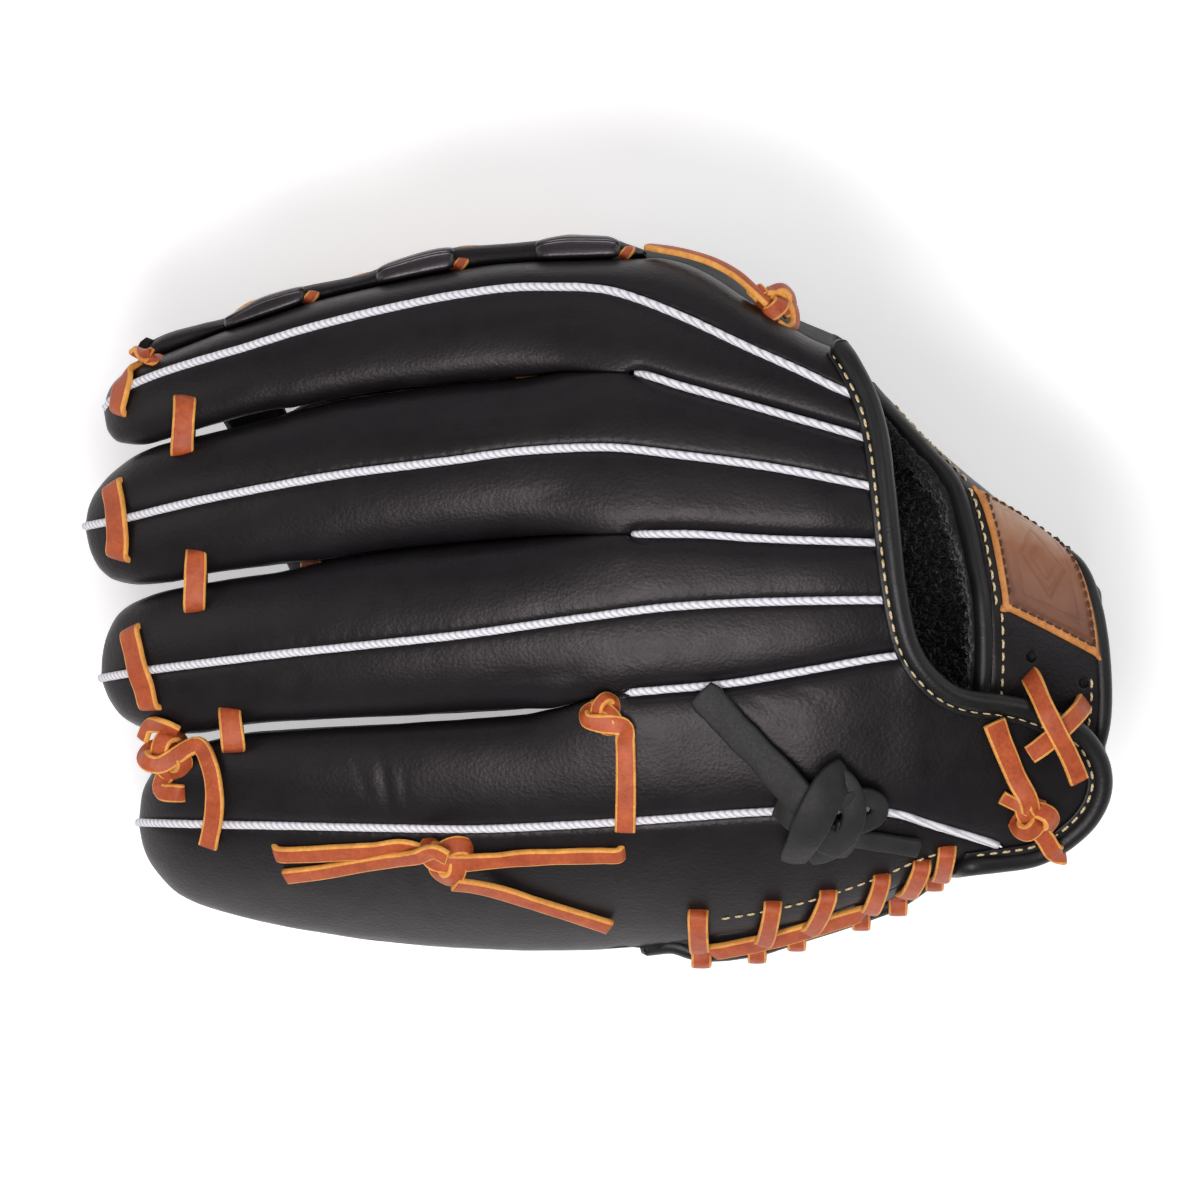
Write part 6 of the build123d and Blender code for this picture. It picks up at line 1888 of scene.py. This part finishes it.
def web_patch(xs, s_of, m, out, thick, seed, amp=0.6, edge_drop=0.5):
    g = np.zeros((len(xs), m, 3))
    nn = np.zeros((len(xs), m, 3))
    for i, x in enumerate(xs):
        a, b = s_of(x)
        for j, u in enumerate(np.linspace(0, 1, m)):
            e = edge_drop * (abs(2 * u - 1) ** 6)
            p, n_ = wp(x, a + (b - a) * u, out - e)
            p = p + n_ * amp * (0.5 * nz(p, 20, seed) + 0.25 * nz(p, 8, seed + 3))
            g[i, j], nn[i, j] = p, n_
    c = np.cross(g[1, m // 2] - g[0, m // 2], g[0, m // 2 + 1] - g[0, m // 2])
    fl_ = bool(c.dot(nn[0, m // 2]) < 0)
    return shell(g, thick, flip=fl_, roll=0.5), g, nn


# edge strip over the index finger's side: a lip that turns from the stall down into the web
def lip_section(x):
    xi = max(x, -138.0)
    t = TOP["index"](xi)
    we = max(WEB_EDGE(x), t + 2.4)
    zt = base(xi, t) - half_depth(xi) * (1.0) + 0.4 - 3.0 * smooth(-118, -138, x)
    return t, we, zt


rows = []
lipx = np.linspace(-138.5, 13.0, 120)
for x in lipx:
    t, we, zt = lip_section(x)
    k = smooth(-140, -128, x)
    pts = [(t - 0.6, zt - 2.2), (t + 0.8, zt - 0.2), ((t + we) / 2, zt + 0.2), (we - 1.5, zt - 0.5), (we - 0.35, zt - 2.4), (we - 0.1, zt - 6.0 * k)]
    for s_ in (0.13, 0.19, 0.245):
        p, n_ = wp(x, s_, 0.7 - 1.7 * smooth(0.1, 0.2, s_))
        pts.append((min(p[1], we - 0.2), p[2]))
    q = catmull([(0.0, a, b) for a, b in pts], 4)
    q[:, 0] = x
    rows.append(q)
g = np.array(rows)
n = grid_normals(g)
if n[60, 20, 1] < 0:
    n = -n
g = undulate(g, n, 0.35, 91)
v, fc, m = shell(g, 2.0, flip=bool(np.cross(g[61, 20] - g[60, 20], g[60, 21] - g[60, 20])[1] < 0), roll=0.5)
o = add_mesh("web_edge_strip", v, fc, [BLACK])
settle(o, None, ["web_index_strip"], flex=True)

# painted highlight: a lighter, glossier copy of the black leather, so the pads read as catching the light
LIT_PAD_M = leather("pad_steerhide_painted_highlight", (0.0080, 0.0070, 0.0080), (0.0160, 0.0140, 0.0155), (0.28, 0.38), 0.8, 850, 0.55, tint=(1.0, 0.93, 0.97))
# three raised pads on the strip
s = Soup()
for k, (x0, x1) in enumerate(((-113.4, -88.8), (-67.4, -43.6), (-19.6, 6.2))):
    L_ = x1 - x0
    nu, nv = 44, 32
    ring_v, ring_f = [], []
    for i in range(nu):
        u = i / (nu - 1)
        x = x0 + L_ * u
        t, we, zt = lip_section(x)
        hw_full = (we - t) / 2 - 0.15
        e = (1 - abs(2 * u - 1) ** 7) ** (1 / 3.2)
        hw = max(0.25, hw_full * (0.55 + 0.45 * e) * (1 if e > 0.02 else 0.6))
        hh = max(0.2, 3.0 * e)
        cy, cz = (t + we) / 2 + 0.35, zt + 1.3
        for j in range(nv):
            a = 2 * math.pi * j / nv
            ca, sa = math.cos(a), math.sin(a)
            py = abs(ca) ** 0.62 * (1 if ca > 0 else -1) * hw
            pz = abs(sa) ** 0.75 * (1 if sa > 0 else -1) * hh
            if sa > 0:
                pz += 0.95 * math.exp(-(((py / hw) - 0.74) / 0.16) ** 2) * e - 0.6 * math.exp(-(((py / hw) - 0.40) / 0.17) ** 2) * e
            yy = py
            zz = pz - py * 0.16
            ring_v.append((x, cy + yy, cz + zz))
    for i in range(nu - 1):
        for j in range(nv):
            j2 = (j + 1) % nv
            ring_f.append((i * nv + j, (i + 1) * nv + j, (i + 1) * nv + j2, i * nv + j2))
    ring_f.append(tuple(range(nv)))
    ring_f.append(tuple((nu - 1) * nv + j for j in reversed(range(nv))))
    s.add(ring_v, ring_f, 0)
o = s.make("web_edge_pads", [LIT_PAD_M])
settle(o, None, ["web_pads"], flex=True)

# spine, thumb strip and top bar
LEN = curve([(x, web_len(x)) for x in np.linspace(-136, 14, 16)])


def spine_s(x):
    hw = 10.6 + 1.4 * smooth(-70, -120, x) + 1.2 * smooth(-20, 8, x)
    d = hw / LEN(x)
    return 0.56 - d, 0.56 + d


def thumb_s(x):
    d = 6.0 / LEN(x)
    return 0.93 - d, min(1.0, 0.93 + d)


(v, fc, m), g, nn = web_patch(np.linspace(-124, 9, 90), spine_s, 22, 1.8, 3.4, 101)
s = Soup()
s.add(v, fc, 0)
for edge in (0.0, 1.0):
    pts = []
    for x in np.linspace(-124, 9, 40):
        a, b = spine_s(x)
        pts.append(wp(x, a + (b - a) * edge, 0.0)[0])
    binding_tube(s, pts, 2.3, per=3, seed=101 + edge)
pts = []
for u in np.linspace(0, 1, 9):
    a, b = spine_s(-124)
    pts.append(wp(-124 - 1.5 * math.sin(math.pi * u), a + (b - a) * u, 0.0)[0])
binding_tube(s, pts, 2.3, per=4, seed=103)
o = s.make("web_spine_panel", [BLACK])
settle(o, None, ["web_spine"], flex=True)

(v, fc, m), g, nn = web_patch(np.linspace(-94, 9, 80), thumb_s, 14, 1.4, 2.6, 111)
s = Soup()
s.add(v, fc, 0)
pts = [wp(x, thumb_s(x)[0], 0.0)[0] for x in np.linspace(-94, 9, 36)]
binding_tube(s, pts, 2.1, per=3, seed=112)
o = s.make("web_thumb_edge_strip", [BLACK])
settle(o, None, ["web_thumb_strip"], flex=True)

# top bar from the spine's head down to the thumb's tip
rows = []
nn_ = []
for u in np.linspace(0, 1, 36):
    r = []
    x, s_ = -117 + 21 * u, 0.66 + 0.32 * u
    for q in np.linspace(-1, 1, 14):
        p, n_ = wp(x + q * 7.0, s_ - q * 0.02, 2.4 - 0.5 * abs(q) ** 6)
        r.append(p + n_ * 0.3 * nz(p, 14, 121))
    rows.append(r)
g = np.array(rows)
c = np.cross(g[11, 7] - g[10, 7], g[10, 8] - g[10, 7])
v, fc, m = shell(g, 2.8, flip=bool(c.dot(wp(-106, 0.8)[1]) < 0), roll=0.5)
s = Soup()
s.add(v, fc, 0)
o = s.make("web_cross_bar", [BLACK])
settle(o, None, ["web_top_bar"], flex=True)

# stitches along the web's panels
st = Soup()
for edge in (0.16, 0.84):
    P, U = [], []
    for x in np.linspace(-120, 6, 120):
        a, b = spine_s(x)
        p, n_ = wp(x, a + (b - a) * edge, 1.9)
        P.append(p)
        U.append(n_)
    stitch_row(st, P, U, 3.9, 2.8, 0.4, 0.0)
P, U = [], []
for x in np.linspace(-90, 6, 100):
    a, b = thumb_s(x)
    p, n_ = wp(x, a + (b - a) * 0.36, 1.5)
    P.append(p)
    U.append(n_)
stitch_row(st, P, U, 3.9, 2.8, 0.4, 0.0)
o = st.make("web_stitching", [THREAD])
settle(o, None, [], flex=True)


def web_zigzag(soup, holes, width=5.8, seed=0.0):
    """Lace laid from hole to hole, in and out of the leather; holes are (x, s)."""
    for k in range(len(holes) - 1):
        (xa, sa), (xb, sb) = holes[k], holes[k + 1]
        P, U = [], []
        for u, out in ((-0.03, -2.6), (-0.01, 1.2), (0.06, 3.3), (0.22, 3.0), (0.5, 1.9 + 0.5 * (k % 2)), (0.78, 3.0), (0.94, 3.3), (1.01, 1.2), (1.03, -2.6)):
            sx_ = sa + (sb - sa) * u
            p, n_ = wp(xa + (xb - xa) * u, sx_, out * (0.15 + 0.85 * smooth(0.2, 0.42, sx_)) - 1.3 * (1 - smooth(0.24, 0.42, sx_)))
            P.append(p)
            d = np.array(wp(xb, sb)[0]) - np.array(wp(xa, sa)[0])
            d /= np.linalg.norm(d)
            if u < 0.02:
                n_ = n_ * 0.4 - d * 0.9
            elif u > 0.98:
                n_ = n_ * 0.4 + d * 0.9
            U.append(n_)
        lace(soup, P, U, width, 2.0, per=6, seed=seed + k, rough=0.07)


s = Soup()
holes = []
for k, x in enumerate(np.linspace(-128, 4, 9)):
    holes.append((x, 0.205) if k % 2 == 0 else (x, spine_s(x)[0] + 0.045))
web_zigzag(s, holes, 5.8, 200)
# lace ends that show between the pads and the stall
for x in (-87.4, -42.4, 7.6):
    t, we, zt = lip_section(x)
    P = [(x - 1.2, t + 0.4, zt - 3.2), (x - 0.8, t + 0.8, zt + 0.2), (x + 0.2, t + 1.5, zt + 1.6), (x + 1.2, t + 2.6, zt + 0.6), (x + 1.4, t + 3.0, zt - 2.0)]
    lace(s, P, [(0, -1, 0.4), (0, -0.6, 0.8), (0, 0, 1), (0, 0.6, 0.8), (0, 1, 0.4)], 3.4, 1.7, per=5, seed=x)
tan_piece("web_upper_zigzag", s, ["web_upper_lacing"], flex=True)
s = Soup()
holes = []
for k, x in enumerate(np.linspace(-88, 4, 8)):
    holes.append((x, spine_s(x)[1] - 0.04) if k % 2 == 0 else (x, thumb_s(x)[0] + 0.03))
web_zigzag(s, holes, 5.8, 230)
# laces that hold the strip on the thumb
for x in (-84, -62, -40, -18, 2):
    P, U = [], []
    for s_, out in ((0.955, -1.5), (0.957, 1.4), (0.975, 3.0), (1.0, 3.2)):
        p, n_ = wp(x, s_, out)
        P.append(p)
        U.append(n_)
    y1, z1 = THUMB_HIGH(x), THUMB_MID(x)
    P += [(x, y1 - 2.0, max(1.4, z1 - 0.62 * THUMB_HALF(x) - 3.0)), (x, y1 - 5.0, max(1.3, z1 - 0.9 * THUMB_HALF(x) - 2.2))]
    U += [(0, 0.6, -0.8), (0, 0.3, -1)]
    lace(s, P, U, 5.6, 1.9, per=6, seed=x)
tan_piece("web_lower_zigzag", s, ["web_lower_lacing"], flex=True)


# ------------------------------------------------------------------ thumb
def thumb_close(x):
    if x <= 122:
        return 1.0
    return math.sqrt(max(0.0, 1 - ((x - 122) / 14.6) ** 2))


def thumb_pt(top, t, x):
    e = thumb_close(x)
    y0, y1 = THUMB_LOW(x), THUMB_HIGH(x)
    y = (y0 + y1) / 2 + t * (y1 - y0) / 2 * (0.25 + 0.75 * e)
    if top:
        z = THUMB_MID(x) + 0.15 + THUMB_HALF(x) * pill(abs(t), 2.6) * tip_round(x, THUMB_TIP) * e
        return y, z
    z = THUMB_MID(x) - 1.14 * THUMB_HALF(x) * pill(abs(t), 3.0) * tip_round(x, THUMB_TIP) * e
    z0 = 0.12
    d = z - z0
    return y, z0 + (d + math.sqrt(d * d + 1.2)) / 2 if d < 6 else z


TX = [THUMB_TIP + TIP_REACH * (1 - math.cos(a)) for a in np.linspace(0.06, math.pi / 2, 18)]
TX += list(np.arange(TX[-1] + 1.8, 122, 1.8)) + [122 + 14.5 * math.sin(a) for a in np.linspace(0, math.pi / 2, 12)]


def thumb_panel(t0, t1, m, top, amp, seed, dip0=False, dip1=False):
    g = np.zeros((len(TX), m, 3))
    for i, x in enumerate(TX):
        w = (THUMB_HIGH(x) - THUMB_LOW(x)) / 2
        for j, u in enumerate(0.5 - 0.5 * np.cos(np.linspace(0, math.pi, m))):
            ta = t0 + (t1 - t0) * u
            if dip0:
                ta = max(ta, t0 + min(0.2, 1.0 / max(w, 2)) * (1 - u))
            if dip1:
                ta = min(ta, t1 - min(0.2, 1.0 / max(w, 2)) * u)
            y, z = thumb_pt(top, ta, x)
            d = abs(ta - (t0 if dip0 else t1)) * w
            if dip0 or dip1:
                z += 1.3 * math.exp(-((d / 1.7) ** 2)) * smooth(-96, -88, x)
            g[i, j] = (x, y, z)
    n = grid_normals(g)
    want = 1 if top else -1
    if n[60, m // 2, 2] * want < 0:
        n = -n
    g = undulate(g, n, amp, seed)
    g[:, :, 2] = np.maximum(g[:, :, 2], 0.06)
    c = np.cross(g[61, m // 2] - g[60, m // 2], g[60, m // 2 + 1] - g[60, m // 2])
    return shell(g, 2.3, flip=bool(c[2] * want < 0), roll=0.5)


v, fc, m = thumb_panel(-1, THUMB_SEAM_T, 26, False, 0.6, 131, dip1=True)
o = add_mesh("thumb_back_outer_leather", v, fc, [BLACK])
settle(o, "thumb_side", ["thumb_back_outer"])
v, fc, m = thumb_panel(THUMB_SEAM_T, 1, 36, False, 0.6, 141, dip0=True)
o = add_mesh("thumb_back_inner_leather", v, fc, [BLACK])
settle(o, "thumb_side", ["thumb_back_inner"])
v, fc, m = thumb_panel(-1, 1, 44, True, 0.9, 151)
o = add_mesh("thumb_front_leather", v, fc, [PALM_M])
settle(o, "thumb_side", ["thumb_front"])
s = Soup()
pts = []
for x in list(np.linspace(-93, 128, 40)):
    y, z = thumb_pt(False, THUMB_SEAM_T, x)
    pts.append((x, y, z + 1.7))
path = resample(catmull(pts, 3), 1.2)
v, fc, m = strap_form(path, [(0, 0, 1)] * len(path), 2.2, 3.6, 0.48, False, 5, 0.0, 5, 0.05)
s.add(v, fc, 0)
o = s.make("thumb_welt_strip", [WHITE])
settle(o, "thumb_side", ["thumb_welt"])

for nm, node, ta, d0, d1, xs, mat, slot in (("thumb_lining_leather", "thumb_lining", 0.78, 3.0, 1.2, np.linspace(-72, 108, 60), SOFT, "lining_leather"), ("thumb_felt", "thumb_stiffener", 0.55, 4.8, 2.6, np.linspace(-66, 28, 36), FELT, "wool_felt")):
    g = np.zeros((len(xs), 16, 3))
    for i, x in enumerate(xs):
        for j, t in enumerate(np.linspace(-ta, ta, 16)):
            y, z = thumb_pt(True, t, x)
            g[i, j] = (x, y, z - d0)
    c = np.cross(g[21, 8] - g[20, 8], g[20, 9] - g[20, 8])
    v, fc, m = shell(undulate(g, grid_normals(g), 0.4, 161), d1, flip=bool(c[2] < 0), roll=0.7)
    o = add_mesh(nm, v, fc, [mat])
    settle(o, "thumb_side", [node])

# lace over the thumb's tip and a knotted lace on the thumb's side
s = Soup()
P, U = [], []
for t, out in ((-0.66, -2.4), (-0.62, -0.2), (-0.52, 1.3), (-0.25, 1.5), (0.0, 1.7), (0.25, 1.5), (0.52, 1.3), (0.62, -0.2), (0.66, -2.4)):
    y, z = thumb_pt(True, t, -88)
    P.append((-88, y, z + out))
    U.append((-0.35, t * 0.8, 1))
lace(s, P, U, 6.8, 2.0, per=7, seed=171, rough=0.08)
P, U = [], []
for x, t, out in ((-60, -0.93, -2.0), (-58.6, -0.935, 1.0), (-50, -0.95, 1.5), (-38, -0.96, 1.5), (-26, -0.965, 1.5), (-15, -0.97, 1.8), (-9, -0.97, 3.2)):
    y, z = thumb_pt(True, t, x)
    P.append((x, y - out * 0.8, z + out * 0.4))
    U.append((0, -0.8, 0.5))
y, z = thumb_pt(True, -0.97, 0)
kp, ku = knot_path((0, y - 3.2, z + 1.0), (1, 0, -0.1), (0, -0.85, 0.5), 7.4, 2.4, turn=0.2, squash_=0.85)
P1, U1 = [], []
for x, t, out in ((11, -0.955, 2.4), (22, -0.95, 1.6), (34, -0.95, 1.6)):
    y, z = thumb_pt(True, t, x)
    P1.append((x, y - out * 0.8, z + out * 0.4 + (x - 11) * 0.12))
    U1.append((0, -0.8, 0.5))
lace(s, P + kp + P1, U + ku + U1, 5.6, 2.0, per=7, seed=172, rough=0.08)
tan_piece("thumb_laces", s, ["thumb_tip_lace"], body="thumb_side")

CAD_FINISH = {}


# ------------------------------------------------------------------ finishes for what is still the CAD's own mesh
for node, mat in CAD_FINISH.items():
    o = bpy.data.objects.get(node)
    if o is not None and not o.hide_render:
        if o.material_slots:
            for s_ in o.material_slots:
                s_.material = mat
        else:
            o.data.materials.append(mat)

# ------------------------------------------------------------------ floor, light, camera
fl, nt, p = new_mat("pale_floor")
v = coords(nt)
nt.links.new(ramp(nt, noise_tex(nt, v, 3.0, 4), [(0.3, (0.93, 0.93, 0.93)), (0.7, (0.95, 0.95, 0.95))]), p.inputs["Base Color"])
p.inputs["Roughness"].default_value = 0.85
p.inputs["Specular IOR Level"].default_value = 0.1
p.inputs["Emission Color"].default_value = (1, 1, 1, 1)
p.inputs["Emission Strength"].default_value = 0.36
me = bpy.data.meshes.new("floor")
me.from_pydata([(-6, -6, 0), (6, -6, 0), (6, 6, 0), (-6, 6, 0)], [], [(0, 1, 2, 3)])
me.materials.append(fl)
floor = bpy.data.objects.new("floor", me)
bpy.context.scene.collection.objects.link(floor)


def area(name, loc, target, size, power, color=(1, 1, 1), size_y=None):
    l = bpy.data.lights.new(name, "AREA")
    l.energy = power
    l.color = color
    l.shape = "RECTANGLE"
    l.size = size
    l.size_y = size_y or size
    o = bpy.data.objects.new(name, l)
    o.location = loc
    o.rotation_euler = (Vector(target) - Vector(loc)).to_track_quat("-Z", "Y").to_euler()
    bpy.context.scene.collection.objects.link(o)
    return o


area("key", (-0.10, -0.80, 1.55), (0, 0, 0.08), 0.8, 11, (1.0, 0.96, 0.98), 0.42)
near = area("key_near", (-0.07, -0.20, 0.78), (-0.03, 0.0, 0.10), 0.34, 2.2, (1.0, 0.94, 0.97), 0.16)
near.visible_camera = False
area("fill_tips", (-1.3, 0.2, 0.9), (0, 0, 0.08), 0.8, 3.5, (1.0, 0.95, 0.96))
area("fill_wrist", (1.2, 0.5, 1.0), (0, 0, 0.08), 0.8, 5, (0.96, 0.98, 1.0))
area("rim", (-0.2, 1.2, 0.9), (0, 0, 0.08), 0.9, 1.6, (1.0, 0.98, 1.0), 0.3)
area("top", (0.0, 0.25, 1.9), (0, 0, 0.05), 1.2, 5.5, (1.0, 0.98, 0.98))

w = bpy.data.worlds.new("studio")
bpy.context.scene.world = w
w.use_nodes = True
bg = w.node_tree.nodes["Background"]
wt = w.node_tree
tcw = wt.nodes.new("ShaderNodeTexCoord")
spw = wt.nodes.new("ShaderNodeSeparateXYZ")
rmw = wt.nodes.new("ShaderNodeValToRGB")
rmw.color_ramp.elements.new(0.5)
rmw.color_ramp.elements.new(0.6)
for e_, (p_, c_) in zip(rmw.color_ramp.elements, ((0.0, (0.88, 0.88, 0.89, 1)), (0.07, (0.50, 0.50, 0.51, 1)), (0.35, (0.34, 0.34, 0.35, 1)), (0.8, (0.12, 0.12, 0.125, 1)))):
    e_.position = p_
    e_.color = c_
wt.links.new(tcw.outputs["Generated"], spw.inputs[0])
wt.links.new(spw.outputs[2], rmw.inputs[0])
wt.links.new(rmw.outputs[0], bg.inputs[0])
bg.inputs[1].default_value = 1.0

cam = bpy.data.cameras.new("camera")
cam.lens = 500
cam.sensor_width = 36
cam.clip_end = 50
co = bpy.data.objects.new("camera", cam)
co.location = (0, 0, 5.10)
co.rotation_euler = (0, 0, 0)
bpy.context.scene.collection.objects.link(co)
bpy.context.scene.camera = co
bpy.context.scene.view_settings.view_transform = "Standard"
bpy.context.scene.view_settings.look = "None"
